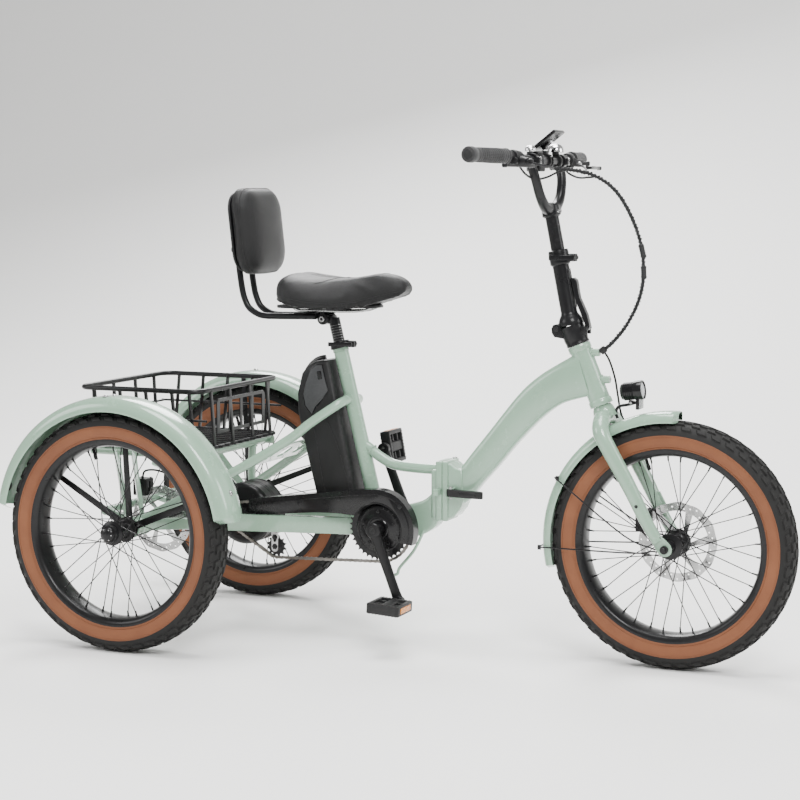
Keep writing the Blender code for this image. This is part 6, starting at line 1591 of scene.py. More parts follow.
piece("frontCaliperDetail", bm, [blackPaint, blackPlastic], "steering", ["caliper_front"], 35)

lowCorner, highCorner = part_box("caliper_rear")
toAxle = shift.inverted()
low, high = toAxle @ lowCorner, toAxle @ highCorner
bm = bmesh.new()
for a, b in ((low.y, -0.1520), (-0.1480, high.y)):
    addBoxAt(bm, (low.x, a, low.z), (high.x, b, high.z), 0.0030, 0, segments=3)
addBoxAt(bm, (low.x, -0.1540, high.z - 0.0070), (high.x, -0.1460, high.z), 0.001, 0)
mid = (low + high) / 2
addLathe(bm, [(0.0095, -0.001), (0.0095, 0.0012), (0.0080, 0.0022), (0.0, 0.0022)], (mid.x, low.y, mid.z),
         (0, -1, 0), 28, 1)
for k in (-1, 1):
    addBolt(bm, (mid.x + k * 0.0120, high.y - 0.0040, high.z - 0.001), (0, 0, 1), 0.0030, 0.0024, 1)
piece("rearCaliperDetail", bm, [blackPaint, blackPlastic], "frame", ["caliper_rear"], 35)
bm = bmesh.new()
addTube(bm, roundPath([(mid.x + 0.004, -0.1600, high.z - 0.002), (mid.x + 0.016, -0.1640, high.z + 0.020),
                       (0.0100, -0.1660, 0.3900),
                       (0.0600, -0.1560, 0.3640), (0.1100, -0.1360, 0.3200), (0.1600, -0.1180, 0.2960),
                       (0.1900, -0.1100, 0.2900)], 7),
        0.0024, 12, 0)
piece("rearBrakeHose", bm, [cableRubber], "frame")
print("lamp and brakes made")


# ---- drive

crankAngle = math.radians(-67.6)
crankDir = Vector((math.cos(crankAngle), 0, math.sin(crankAngle)))
crankLength = 0.173
chainY = -0.066
driveY = 0.066
pitch = 0.0127
driveLook = {"ringTeeth": 36, "cogTeeth": 13, "axleTeeth": 24, "idlerRadius": 0.024}


def addCrank(bm, side, spindleEnd):
    aim = crankDir * (1 if side < 0 else -1)
    end = crankCentre + aim * crankLength
    addRod(bm, crankCentre + Vector((0, spindleEnd, 0)), crankCentre + Vector((0, side * 0.0900, 0)), 0.0085,
           None, 24, 1)
    addLathe(bm, [(0.0120, 0.0780), (0.0168, 0.0780), (0.0175, 0.0790), (0.0178, 0.0900), (0.0175, 0.1050),
                  (0.0162, 0.1066),
                  (0.0112, 0.1070), (0.0108, 0.1056), (0.0, 0.1056)], crankCentre, (0, side, 0), 40, 0)
    addLathe(bm, [(0.0078, 0.1050), (0.0078, 0.1064), (0.0042, 0.1064), (0.0040, 0.1052), (0.0, 0.1052)],
             crankCentre, (0, side, 0), 6, 1)
    across = Vector((0, 1, 0))
    flat = aim.cross(across).normalized()
    stations = ((0.000, 0.0990, 0.0158, 0.0070), (0.020, 0.0992, 0.0136, 0.0066),
                (0.060, 0.1005, 0.0118, 0.0060),
                (0.110, 0.1030, 0.0110, 0.0058), (0.150, 0.1050, 0.0112, 0.0060),
                (0.173, 0.1060, 0.0130, 0.0062))
    rings = []
    for reach, y, halfFlat, halfThick in stations:
        spot = crankCentre + aim * reach + across * (side * y)
        ring = []
        for k in range(20):
            angle = 2 * math.pi * k / 20
            c, s = math.cos(angle), math.sin(angle)
            ring.append(bm.verts.new(spot + flat * (halfFlat * math.copysign(abs(c) ** 0.6, c))
                                     + across * (halfThick * math.copysign(abs(s) ** 0.6, s))))
        rings.append(ring)
    for a, b in zip(rings, rings[1:]):
        for k in range(20):
            j = (k + 1) % 20
            bm.faces.new((a[k], a[j], b[j], b[k]))
    bm.faces.new(list(reversed(rings[0])))
    bm.faces.new(rings[-1])
    eye = end + across * (side * 0.1060)
    addLathe(bm, [(0.0052, -0.0064), (0.0136, -0.0064), (0.0145, -0.0054), (0.0145, 0.0054), (0.0136, 0.0064),
                  (0.0052, 0.0064)],
             eye, (0, side, 0), 32, 0, closed=True)


for side, label, spindleEnd in ((-1, "right", -0.0010), (1, "left", 0.0010)):
    bm = bmesh.new()
    addCrank(bm, side, spindleEnd)
    piece("crankDetail_" + label, bm, [blackPaint, blackPlastic], "cranks", ["crank_" + label],
          35)

bm = bmesh.new()
gap = [arcPoints((crankCentre.x, crankCentre.z), 0.0123, 0, 345, 24)]
addToothedDisc(bm, crankCentre, driveLook["ringTeeth"], chainY, 0.0034, 0, gap)
coverProfile = [(0.0123, -0.0600), (0.0123, -0.0760), (0.0150, -0.0772), (0.0230, -0.0768), (0.0250, -0.0752),
                (0.0330, -0.0748),
                (0.0350, -0.0738), (0.0470, -0.0736), (0.0520, -0.0730), (0.0560, -0.0700), (0.0572, -0.0685),
                (0.0572, -0.0672)]
addLathe(bm, [(r, -y) for r, y in coverProfile], crankCentre, (0, -1, 0), 64, 1, closed=True)
for k in range(5):
    angle = 2 * math.pi * k / 5 + 0.35
    spot = crankCentre + Vector((0.0400 * math.cos(angle), -0.0734, 0.0400 * math.sin(angle)))
    addBolt(bm, spot, (0, -1, 0), 0.0042, 0.0020, 2)
for k in range(24):
    angle = 2 * math.pi * k / 24
    out = Vector((math.cos(angle), 0, math.sin(angle)))
    addBeam(bm, crankCentre + out * 0.0465 + Vector((0, -0.0736, 0)),
            crankCentre + out * 0.0535 + Vector((0, -0.0722, 0)), 0.0012, 0.0022,
            0.0004, 1)
piece("chainringDetail", bm, [blackPaint, glossPlastic, blackPaint], "cranks", ["chainring"],
      35)

pedalLook = {"ridges": 9}


def makePedal(label, side, degrees):
    aim = crankDir * (1 if side < 0 else -1)
    centre = crankCentre + aim * crankLength + Vector((0, side * 0.160, 0))
    bm = bmesh.new()
    for k in (-1, 1):
        addBox(bm, (0.0100, 0.0790, 0.0240), Matrix.Translation((k * 0.0345, 0, 0)), 0.003, 3, 0)
        addBox(bm, (0.0036, 0.0560, 0.0130), Matrix.Translation((k * 0.0388, 0, 0)), 0.001, 2, 1)
        addBox(bm, (0.0790, 0.0095, 0.0240), Matrix.Translation((0, k * 0.0348, 0)), 0.003, 3, 0)
        for x in (-0.0225, 0.0225):
            addBox(bm, (0.0200, 0.0060, 0.0190), Matrix.Translation((x, k * 0.0130, 0)), 0.0015, 2, 0)
        for j in range(pedalLook["ridges"]):
            x = -0.032 + 0.008 * j
            addBox(bm, (0.0030, 0.0090, 0.0250), Matrix.Translation((x, k * 0.0350, 0)), 0.0008, 2, 0)
    addBox(bm, (0.0240, 0.0700, 0.0200), Matrix.Identity(4), 0.005, 3, 0)
    addLathe(bm, [(0.0, -side * 0.0), (0.0092, 0.001), (0.0096, 0.0380), (0.0080, 0.0400), (0.0060, 0.0402),
                  (0.0048, 0.0410),
                  (0.0048, 0.0600), (0.0, 0.0600)], (0, 0, 0), (0, -side, 0), 24, 2)
    bm.transform(Matrix.Translation(centre) @ Matrix.Rotation(math.radians(degrees), 4, "Y"))
    piece("pedalDetail_" + label, bm, [blackPlastic, amberClear, steel], "pedal_" + label, ["pedal_" + label],
          35)


makePedal("right", -1, 3)
makePedal("left", 1, 80)


def chainLine(wheels):
    # closed line round circles (x, z, radius) given anticlockwise, as evenly spaced points
    tangents = []
    count = len(wheels)
    for k in range(count):
        x1, z1, r1 = wheels[k]
        x2, z2, r2 = wheels[(k + 1) % count]
        dx, dz = x2 - x1, z2 - z1
        tangents.append(math.atan2(dz, dx) - math.pi / 2 - math.asin((r2 - r1) / math.hypot(dx, dz)))
    line = []
    for k in range(count):
        x, z, r = wheels[k]
        start, end = tangents[k - 1], tangents[k]
        while end < start:
            end += 2 * math.pi
        steps = max(6, int((end - start) / 0.05))
        for s in range(steps + 1):
            angle = start + (end - start) * s / steps
            line.append(Vector((x + r * math.cos(angle), 0, z + r * math.sin(angle))))
    lengths = [0.0]
    for a, b in zip(line, line[1:] + line[:1]):
        lengths.append(lengths[-1] + (b - a).length)
    links = 2 * round(lengths[-1] / pitch / 2)
    out = []
    k = 0
    for n in range(links):
        at = lengths[-1] * n / links
        while lengths[k + 1] < at:
            k += 1
        t = (at - lengths[k]) / max(1e-9, lengths[k + 1] - lengths[k])
        out.append(line[k].lerp(line[(k + 1) % len(line)], t))
    return out


def linkOutline(half, radius, waist):
    right = [(half + radius * math.cos(a),
              radius * math.sin(a)) for a in [math.radians(d) for d in (-75, -40, 0, 40, 75)]]
    left = [(-x, -y) for x, y in right]
    return right + [(0.0, waist)] + left + [(0.0, -waist)]


def makeChain(name, node, wheels, y):
    spots = chainLine(wheels)
    bm = bmesh.new()
    count = len(spots)
    outline = linkOutline(pitch / 2, 0.0037, 0.0026)
    for k, spot in enumerate(spots):
        after = spots[(k + 1) % count]
        along = (after - spot).normalized()
        middle = (spot + after) / 2
        up = Vector((0, 1, 0)).cross(along)
        for way in (-1, 1):
            reach = 0.0031 if k % 2 else 0.0021
            rings = []
            for push in (reach, reach + 0.0009):
                rings.append([bm.verts.new(middle + along * u + up * v + Vector((0, y + way * push,
                                                            0))) for u, v in outline])
            size = len(outline)
            for i in range(size):
                j = (i + 1) % size
                bm.faces.new((rings[0][i], rings[0][j], rings[1][j], rings[1][i]))
            bm.faces.new(rings[0])
            bm.faces.new(list(reversed(rings[1])))
        addLathe(bm, [(0.0017, -0.0042), (0.0017, -0.0022), (0.0036, -0.0020), (0.0036, 0.0020),
                      (0.0017, 0.0022), (0.0017, 0.0042)],
                 spot + Vector((0, y, 0)), (0, 1, 0), 10, 0)
    piece(name, bm, [chainSteel], "frame", [node], 30)


def rollRadius(teeth):
    return pitch * teeth / (2 * math.pi) + 0.0046


ringRoll, cogRoll, axleRoll = (rollRadius(driveLook[k]) for k in ("ringTeeth", "cogTeeth", "axleTeeth"))
idler = Vector((0.262, -0.066, 0.2145))
makeChain("driveChainDetail", "drive_chain", [(crankCentre.x, crankCentre.z, ringRoll),
                                              (motorCentre.x, motorCentre.z, cogRoll),
                                              (idler.x, idler.z, driveLook["idlerRadius"] + 0.0030)], chainY)
makeChain("motorChainDetail", "motor_chain", [(motorCentre.x, motorCentre.z, cogRoll), (0.0, hubZ, axleRoll)],
          driveY)

bm = bmesh.new()
hanger = [(idler.x - 0.0085, 0.2510), (idler.x - 0.0085, idler.z)] + arcPoints((idler.x, idler.z - 0.004),
                                                            0.0085, 180, 360, 13)
hanger += [(idler.x + 0.0085, 0.2510)]
slotEnds = arcPoints((idler.x, 0.2390), 0.0036, 0, 180, 9) + arcPoints((idler.x, 0.2290), 0.0036, 180, 360, 9)
addHoled(bm, hanger, [slotEnds], chainY - 0.0105, chainY - 0.0075, 0)
for z in (0.2370, 0.2145):
    addLathe(bm, [(0.0072, 0.0), (0.0072, 0.0010), (0.0052, 0.0014), (0.0050, 0.0036), (0.0, 0.0038)],
             (idler.x, chainY - 0.0105, z),
             (0, -1, 0), 6, 1)
addBoxAt(bm, (idler.x - 0.0085, chainY - 0.0120, 0.2460), (idler.x + 0.0085, -0.0500, 0.2520), 0.001, 0)
piece("tensionerDetail", bm, [steel, blackPaint], "frame", ["tensioner"], 35)
bm = bmesh.new()
addToothedDisc(bm, idler, 12, chainY, 0.0050, 0, [arcPoints((idler.x, idler.z), 0.0042, 0, 330, 12)], 0.01225)
addLathe(bm, [(0.0042, -0.0060), (0.0100, -0.0060), (0.0104, -0.0052), (0.0104, 0.0052), (0.0100, 0.0060),
              (0.0042, 0.0060)],
         idler, (0, 1, 0), 28, 0, closed=True)
addRod(bm, idler + Vector((0, -0.0068, 0)), idler + Vector((0, 0.0180, 0)), 0.0040, None, 16, 1)
piece("idlerDetail", bm, [blackPlastic, steel], "idler", ["idler_wheel"], 35)

bm = bmesh.new()
shellHalf = [(0.0058, 0.0545), (0.0120, 0.0540), (0.0150, 0.0530), (0.0180, 0.0520), (0.0200, 0.0505),
             (0.0400, 0.0495), (0.0420, 0.0488),
             (0.0600, 0.0478), (0.0650, 0.0460), (0.0700, 0.0425), (0.0725, 0.0385), (0.0728, 0.0355),
             (0.0740, 0.0350), (0.0740, 0.0330),
             (0.0728, 0.0325), (0.0728, 0.0060), (0.0736, 0.0055), (0.0736, 0.0045), (0.0728, 0.0040)]
profile = [(0.0, -0.1300), (0.0050, -0.1300), (0.0058, -0.1290)] + [(r, -y) for r, y in shellHalf]
profile += [(r, y) for r, y in reversed(shellHalf)] + [(0.0058, 0.1290), (0.0050, 0.1300), (0.0, 0.1300)]
addLathe(bm, profile, motorCentre, (0, 1, 0), 64, 0)
for k in range(8):
    angle = math.pi * k / 4 + 0.2
    for way in (1, -1):
        spot = motorCentre + Vector((0.0560 * math.cos(angle), way * 0.0482, 0.0560 * math.sin(angle)))
        addBolt(bm, spot, (0, way, 0), 0.0030, 0.0018, 1)
for y in (chainY, driveY):
    addToothedDisc(bm, motorCentre, driveLook["cogTeeth"], y, 0.0034, 1)
    addRod(bm, motorCentre + Vector((0, y - 0.0060, 0)), motorCentre + Vector((0, y + 0.0060, 0)), 0.0140,
           None, 32, 1)
piece("motorDetail", bm, [blackPaint, blackPlastic], "motor", ["motor"], 35)


def guardOutline(inset, rear, steps=22):
    # outline of the chain guard's face, drawn in by an inset and open at the rear
    middle = (crankCentre.x, crankCentre.z)
    back = [(rear, 0.2860 + inset), (rear, 0.3240 - inset), (0.2250, 0.3290 - inset),
            (0.2490, 0.3320 - inset), (0.3500, 0.3460 - inset),
            (0.4500, 0.3600 - inset), (0.4850, 0.3645 - inset)]
    hood = arcPoints(middle, 0.0930 - inset, 98, -20, steps)
    inner = arcPoints(middle, 0.0600, -26, 152, steps)
    return back + hood + inner + [(0.4300, 0.3060 + inset), (0.3730, 0.3040 + inset),
                                  (0.2810, 0.2950 + inset)]


bm = bmesh.new()
addPlate(bm, guardOutline(0.0002, 0.1980), -0.0850, -0.0829, 0.0006, 0)
walls = guardOutline(0.0002, 0.1980)
inside = guardOutline(0.0024, 0.1980)
rows = []
pairs = list(zip(walls, inside))
for a, b in pairs[1:6] + pairs[7:30]:        # the outline without its step beside the hood
    rows.append([bm.verts.new((a[0], -0.0832, a[1])), bm.verts.new((a[0], -0.0562, a[1])),
                 bm.verts.new((b[0], -0.0562, b[1])),
                 bm.verts.new((b[0], -0.0832, b[1]))])
for near, far in zip(rows, rows[1:]):
    for i in range(4):
        j = (i + 1) % 4
        bm.faces.new((near[i], near[j], far[j], far[i]))
bm.faces.new(list(reversed(rows[0])))
bm.faces.new(rows[-1])
rows = []
walls[-3], inside[-3] = (0.4080, 0.3058), (0.4080, 0.3082)     # the lower wall starts a little further back
for a, b in list(zip(walls, inside))[-3:] + list(zip(walls, inside))[:1]:
    rows.append([bm.verts.new((a[0], -0.0832, a[1])), bm.verts.new((a[0], -0.0562, a[1])),
                 bm.verts.new((b[0], -0.0562, b[1])),
                 bm.verts.new((b[0], -0.0832, b[1]))])
for near, far in zip(rows, rows[1:]):
    for i in range(4):
        j = (i + 1) % 4
        bm.faces.new((near[i], near[j], far[j], far[i]))
bm.faces.new(list(reversed(rows[0])))
bm.faces.new(rows[-1])
ridge = [Vector((x, -0.0852, z)) for x, z in guardOutline(0.0120, 0.2060)[1:29]]
addSweep(bm, ridge, ringSection(8), 0.0013, 0, up=(0, 1, 0))
rim = [Vector((x, -0.0850, z)) for x, z in arcPoints((crankCentre.x, crankCentre.z), 0.0610, -26, 152, 40)]
addSweep(bm, rim, ringSection(8), 0.0016, 0, up=(0, 1, 0))
for x, z in ((0.2150, 0.3060), (0.3300, 0.3230), (0.4300, 0.3390), (0.5860, 0.3310)):
    addLathe(bm, [(0.0052, 0.0), (0.0052, 0.0008), (0.0034, 0.0018), (0.0, 0.0020)], (x, -0.0848, z),
             (0, -1, 0), 20, 1)
piece("chainGuardDetail", bm, [glossPlastic, blackPaint], "frame", ["chain_guard"], 35)
print("drive made")


# ---- battery

batteryLook = {"half": 0.0400, "crown": 0.0125, "panelLift": 0.0006}
case = [(0.3840, 0.6555), (0.3700, 0.6555), (0.3500, 0.6520), (0.3290, 0.6400), (0.3150, 0.6230),
        (0.3030, 0.5740), (0.3050, 0.5270),
        (0.3260, 0.4370), (0.3500, 0.3440), (0.3570, 0.3345), (0.4510, 0.3345), (0.4525, 0.3490)]
bm = bmesh.new()
addPlate(bm, case, -batteryLook["half"], batteryLook["half"], batteryLook["crown"], 0, segments=5)
for side in (1, -1):
    panel = [(0.3400, 0.6330), (0.3540, 0.6440), (0.3700, 0.6450), (0.3790, 0.6090), (0.3860, 0.5850),
             (0.3700, 0.5640), (0.3520, 0.5440),
             (0.3430, 0.5270), (0.3260, 0.5470), (0.3205, 0.5740), (0.3270, 0.6010)]
    y = side * (batteryLook["half"] + batteryLook["panelLift"] / 2)
    addPlate(bm, panel, y - 0.0009, y + 0.0009, 0.0007, 1)
    lip = [Vector((x, side * (batteryLook["half"] + 0.0006), z)) for x, z in panel]
    addSweep(bm, lip, ringSection(8), 0.0014, 2, closed=True, up=(0, 1, 0))
    for shiftX in (0.0, 0.0750):
        ridge = [(0.3440 + shiftX * 0.5, 0.5180), (0.3560 + shiftX * 0.7, 0.4600),
                 (0.3700 + shiftX * 0.85, 0.3800), (0.3780 + shiftX * 0.85, 0.3440)]
        addSweep(bm, [Vector((x, side * (batteryLook["half"] + 0.0001), z)) for x, z in ridge],
                 ringSection(8), 0.0013, 0, up=(0, 1, 0))
    keyAt = Matrix.Translation((0.3640, side * (batteryLook["half"] + 0.0014),
                                0.6200)) @ Matrix.Rotation(math.radians(-10), 4, "Y")
    addBox(bm, (0.0100, 0.0026, 0.0190), keyAt, 0.0010, 3, 2)
    addBox(bm, (0.0064, 0.0034, 0.0085), keyAt @ Matrix.Translation((0, 0, 0.0030)), 0.0008, 2, 0)
# carrying handle moulded over the rear of the top
handle = [(0.3110, 0.5980), (0.3170, 0.6180), (0.3270, 0.6330), (0.3400, 0.6440), (0.3520, 0.6490),
          (0.3620, 0.6505)]
addSweep(bm, roundPath([(x, 0, z) for x, z in handle], 6), [(u * 2.3, v * 0.75) for u, v in ringSection(20)],
         0.0062, 2, up=(0, 1, 0))
for y in (-0.0180, 0.0180):
    addSweep(bm, roundPath([(x, y, z + 0.001) for x, z in handle[1:-1]], 5), ringSection(8), 0.0014, 2,
             up=(0, 1, 0))
for k in range(5):
    addBox(bm, (0.0030, 0.0060, 0.0012), Matrix.Translation((0.3150 - 0.0010 * k, -0.0120 + 0.0060 * k,
                                                            0.6050)), 0.0004, 2, 3)
edgeStrip = [(0.4528, 0.3520), (0.4400, 0.4030), (0.4100, 0.5240), (0.3860, 0.6200)]
addSweep(bm, [Vector((x - 0.0035, -0.0300, z)) for x, z in edgeStrip],
         [(u * 0.9, v * 2.2) for u, v in ringSection(12)], 0.0020, 4,
         up=(0, 1, 0))
addBoxAt(bm, (0.3900, -0.0300, 0.3345), (0.4560, 0.0300, 0.3420), 0.003, 2, segments=3)
for v in bm.verts:        # points near the top are kept off the seat tube's axis
    along = (v.co - seatTop).dot(seatDir)
    off = v.co - seatTop - seatDir * along
    if along > -0.092 and off.length < 0.0245:
        v.co += off.normalized() * (0.0245 - off.length)
piece("batteryDetail", bm, [blackPlastic, greyPlastic, glossPlastic, steel, steel], "battery", ["battery"],
      35)
print("battery made")


# ---- seat post, saddle and backrest

seatLook = {"sew": 0.0009, "stitch": 0.0042, "pressure": 3.0, "voxel": 0.005, "moveCap": 0.0045}
postTop = seatTop + seatDir * 0.0640
bm = bmesh.new()
addRod(bm, seatTop - seatDir * 0.2000, postTop, 0.0136, None, 40, 0)
for k in range(7):
    addLathe(bm, [(0.01365, 0.0), (0.01385, 0.0002), (0.01385, 0.0006), (0.01365, 0.0008)],
             seatTop + seatDir * (0.010 + 0.006 * k),
             seatDir, 40, 1, closed=True)
clampMid = Vector((postTop.x - 0.0180, 0, 0.7500))
addLathe(bm, [(0.0, -0.0290), (0.0060, -0.0290), (0.0062, -0.0262), (0.0120, -0.0260), (0.0138, -0.0240),
              (0.0140, -0.0080), (0.0128, -0.0070),
              (0.0128, 0.0070), (0.0140, 0.0080), (0.0138, 0.0240), (0.0120, 0.0260), (0.0062, 0.0262),
              (0.0060, 0.0290), (0.0, 0.0290)],
         clampMid, (0, 1, 0), 36, 0)
for side in (1, -1):
    addBolt(bm, clampMid + Vector((0, side * 0.0262, 0)), (0, side, 0), 0.0070, 0.0040, 1)
addBeam(bm, clampMid, (postTop.x + 0.0020, 0, 0.7480), 0.0300, 0.0200, 0.004, 0)
piece("seatPostDetail", bm, [blackPaint, steel], "seat", ["seat_post"], 35)

panOutline = [(0.2780, 0.0880), (0.2860, 0.1000), (0.3000, 0.1080), (0.3400, 0.1100), (0.3900, 0.0820),
              (0.4400, 0.0500), (0.4900, 0.0310),
              (0.5020, 0.0140)]
bm = bmesh.new()
addPlate(bm, panOutline + [(x, -y) for x, y in reversed(panOutline)], 0.7778, 0.7848, 0.0020, 0, "Z", 3)
addBoxAt(bm, (postTop.x - 0.0400, -0.0220, 0.7645), (postTop.x + 0.0140, 0.0220, 0.7790), 0.003, 1,
         segments=3)
for side in (1, -1):
    rail = [(0.2960, side * 0.0440, 0.7790), (0.3060, side * 0.0360, 0.7700), (0.3300, side * 0.0220, 0.7690),
            (0.4100, side * 0.0210, 0.7690),
            (0.4600, side * 0.0160, 0.7710), (0.4850, side * 0.0120, 0.7780)]
    addTube(bm, roundPath(rail, 6), 0.0035, 14, 2)
    addBolt(bm, (postTop.x - 0.0130, side * 0.0215, 0.7720), (0, side, 0), 0.0055, 0.0040, 2)
piece("saddlePanDetail", bm, [blackPlastic, blackPaint, steel], "seat", ["saddle_pan"], 35)


def readTable(table, x):
    for (x0, h0), (x1, h1) in zip(table, table[1:]):
        if x <= x1:
            return h0 + (h1 - h0) * max(0.0, (x - x0) / (x1 - x0))
    return table[-1][1]


def saddleHalf(x):
    return readTable(((0.2640, 0.0600), (0.2690, 0.0800), (0.2780, 0.0980), (0.2900, 0.1130),
                      (0.3080, 0.1230), (0.3300, 0.1265), (0.3550, 0.1245),
                      (0.3800, 0.1140), (0.4050, 0.0990), (0.4300, 0.0810), (0.4550, 0.0660),
                      (0.4800, 0.0550), (0.5050, 0.0480),
                      (0.5300, 0.0430), (0.5520, 0.0375), (0.5680, 0.0300), (0.5770, 0.0200)), x)


def saddleTop(x):
    return readTable(((0.2640, 0.8300), (0.2700, 0.8430), (0.2820, 0.8520), (0.3000, 0.8545),
                      (0.3200, 0.8520), (0.3500, 0.8465), (0.3900, 0.8420),
                      (0.4300, 0.8425), (0.4700, 0.8480), (0.5050, 0.8540), (0.5300, 0.8555),
                      (0.5500, 0.8530), (0.5680, 0.8450),
                      (0.5770, 0.8360)), x)


def saddleBase(x):
    return readTable(((0.2640, 0.8080), (0.2700, 0.7960), (0.2850, 0.7890), (0.3200, 0.7810),
                      (0.3700, 0.7720), (0.4200, 0.7660), (0.4600, 0.7690),
                      (0.5000, 0.7830), (0.5400, 0.7960), (0.5650, 0.8060), (0.5770, 0.8170)), x)


def saddleShape(a, x):
    # a runs 0..1 round the upper skin from one lower rim to the other
    half, top, base = saddleHalf(x), saddleTop(x), saddleBase(x)
    angle = math.pi * (1 - a)
    c, s = math.cos(angle), math.sin(angle)
    across = half * math.copysign(abs(c) ** 0.62, c)
    rise = base + (top - base) * abs(s) ** 0.58
    # shallow relief channel
    dip = 0.0032 * math.exp(-(across / 0.016) ** 2) * math.exp(-((x - 0.40) / 0.10) ** 4)
    seatDip = 0.0030 * math.exp(-((abs(across) - 0.065) / 0.030) ** 2) * math.exp(-((x - 0.310) / 0.040) ** 2)
    return Vector((x, across, rise - dip - seatDip))


def makeSaddle():
    bm = bmesh.new()
    rows = []
    count, around = 34, 36
    for k in range(count + 1):
        t = 0.5 - 0.5 * math.cos(math.pi * k / count)
        x = 0.2645 + (0.5765 - 0.2645) * t
        ring = [bm.verts.new(saddleShape(i / around, x)) for i in range(around + 1)]
        base = saddleBase(x)
        half = saddleHalf(x)
        # hollow underside, so the skirt hangs lower than the pan
        lift = min(0.0100, 0.3 * half)
        ring += [bm.verts.new((x, half * f, max(base + lift * g, 0.7856))) for f, g in
                 ((0.88, 0.5), (0.70, 1.0), (0.35, 1.0), (0.0, 1.0), (-0.35, 1.0), (-0.70, 1.0),
                  (-0.88, 0.5))]
        rows.append(ring)
    size = len(rows[0])
    for near, far in zip(rows, rows[1:]):
        for i in range(size):
            j = (i + 1) % size
            bm.faces.new((near[i], near[j], far[j], far[i]))
    bm.faces.new(list(reversed(rows[0])))
    bm.faces.new(rows[-1])
    return bm


def puff(made, pressure, cap):
    # cloth pass that gives the cover its own tension and small creases;
    # movement is capped and the result applied
    scene = bpy.context.scene
    remesh = made.modifiers.new("remesh", "REMESH")
    remesh.mode = "VOXEL"
    remesh.voxel_size = seatLook["voxel"]
    bakeMesh(made)
    before = [v.co.copy() for v in made.data.vertices]
    cloth = made.modifiers.new("cover", "CLOTH")
    cloth.settings.quality = 5
    cloth.settings.mass = 0.4
    cloth.settings.tension_stiffness = 25
    cloth.settings.compression_stiffness = 25
    cloth.settings.bending_stiffness = 2.5
    cloth.settings.use_pressure = True
    cloth.settings.uniform_pressure_force = pressure
    cloth.settings.effector_weights.gravity = 0
    cloth.point_cache.frame_start = 1
    cloth.point_cache.frame_end = 20
    for step in range(1, 21):
        scene.frame_set(step)
    bakeMesh(made)
    scene.frame_set(1)
    for v, old in zip(made.data.vertices, before):
        move = v.co - old
        if move.length > cap:
            v.co = old + move.normalized() * cap


def bakeMesh(made):
    graph = bpy.context.evaluated_depsgraph_get()
    mesh = bpy.data.meshes.new_from_object(made.evaluated_get(graph))
    old = made.data
    made.modifiers.clear()
    made.data = mesh
    bpy.data.meshes.remove(old)


def soften(made, rounds=3):
    mesh = made.data
    bm = bmesh.new()
    bm.from_mesh(mesh)
    for _ in range(rounds):
        bmesh.ops.smooth_vert(bm, verts=bm.verts, factor=0.5, use_axis_x=True, use_axis_y=True,
                              use_axis_z=True)
    bm.to_mesh(mesh)
    bm.free()
    mesh.shade_smooth()


def subdivideOnce(made):
    level = made.modifiers.new("smooth", "SUBSURF")
    level.levels = 1
    level.render_levels = 1
    bakeMesh(made)
    made.data.shade_smooth()


saddle = piece("saddleCover", makeSaddle(), [leather], "seat", ["saddle"], 70)
puff(saddle, seatLook["pressure"], seatLook["moveCap"])
soften(saddle, 2)
subdivideOnce(saddle)


def surfaceLine(made, samples, lift):
    # drops a line of points on a cover, from outside towards its middle
    graph = bpy.context.evaluated_depsgraph_get()
    shape = made.evaluated_get(graph)
    out = []
    for outside, towards in samples:
        hit, spot, normal, _ = shape.ray_cast(shift @ outside, (towards - outside).normalized())
        if hit:
            out.append(shift.inverted() @ (spot + normal * lift))
    return out


def addStitches(bm, line, length, radius, mat):
    walked = 0.0
    start = line[0]
    on = True
    for a, b in zip(line, line[1:]):
        walked += (b - a).length
        if walked >= (length if on else length * 0.45):
            if on and (b - start).length > 1e-5:
                addSweep(bm, [start, start.lerp(b, 0.5), b], ringSection(6),
                         [radius * 0.7, radius, radius * 0.7], mat)
            on = not on
            start = b
            walked = 0.0


def densePath(points, spacing):
    out = [points[0]]
    for a, b in zip(points, points[1:]):
        count = max(1, int((b - a).length / spacing))
        out += [a.lerp(b, k / count) for k in range(1, count + 1)]
    return out


bm = bmesh.new()
for side in (1, -1):
    low = []
    for k in range(60):
        x = 0.2740 + (0.5600 - 0.2740) * k / 59
        z = saddleBase(x) + (saddleTop(x) - saddleBase(x)) * 0.30
        low.append((Vector((x, side * 0.30, z)), Vector((x, 0.0, z))))
    seam = surfaceLine(saddle, low, 0.0002)
    addSweep(bm, seam, ringSection(8), seatLook["sew"], 1)
    stitch = surfaceLine(saddle, [(a + Vector((0, 0, 0.0040)), b + Vector((0, 0, 0.0040))) for a, b in low],
                         0.0002)
    addStitches(bm, densePath(stitch, 0.0011), seatLook["stitch"], 0.0006, 0)
    # panel seam that splits the rear from the nose
    top = []
    for k in range(22):
        y = side * (0.012 + 0.078 * k / 21)
        x = 0.3720 + 0.040 * math.cos(k / 21 * 1.5)
        top.append((Vector((x, y, 1.0)), Vector((x, y, 0.7))))
    line = surfaceLine(saddle, top, 0.0001)
    if len(line) > 3:
        addSweep(bm, line, ringSection(6), 0.0006, 1)
        addStitches(bm, densePath([p + Vector((-0.0035, 0, 0.0003)) for p in line], 0.0011),
                    seatLook["stitch"], 0.0005, 0)
for side in (1, -1):
    rows = []
    for k in range(40):
        x = 0.3300 + 0.1900 * k / 39
        rows.append((Vector((x, side * 0.0125, 1.0)), Vector((x, side * 0.0125, 0.7))))
    line = surfaceLine(saddle, rows, 0.0001)
    addSweep(bm, line, ringSection(6), 0.0006, 1)
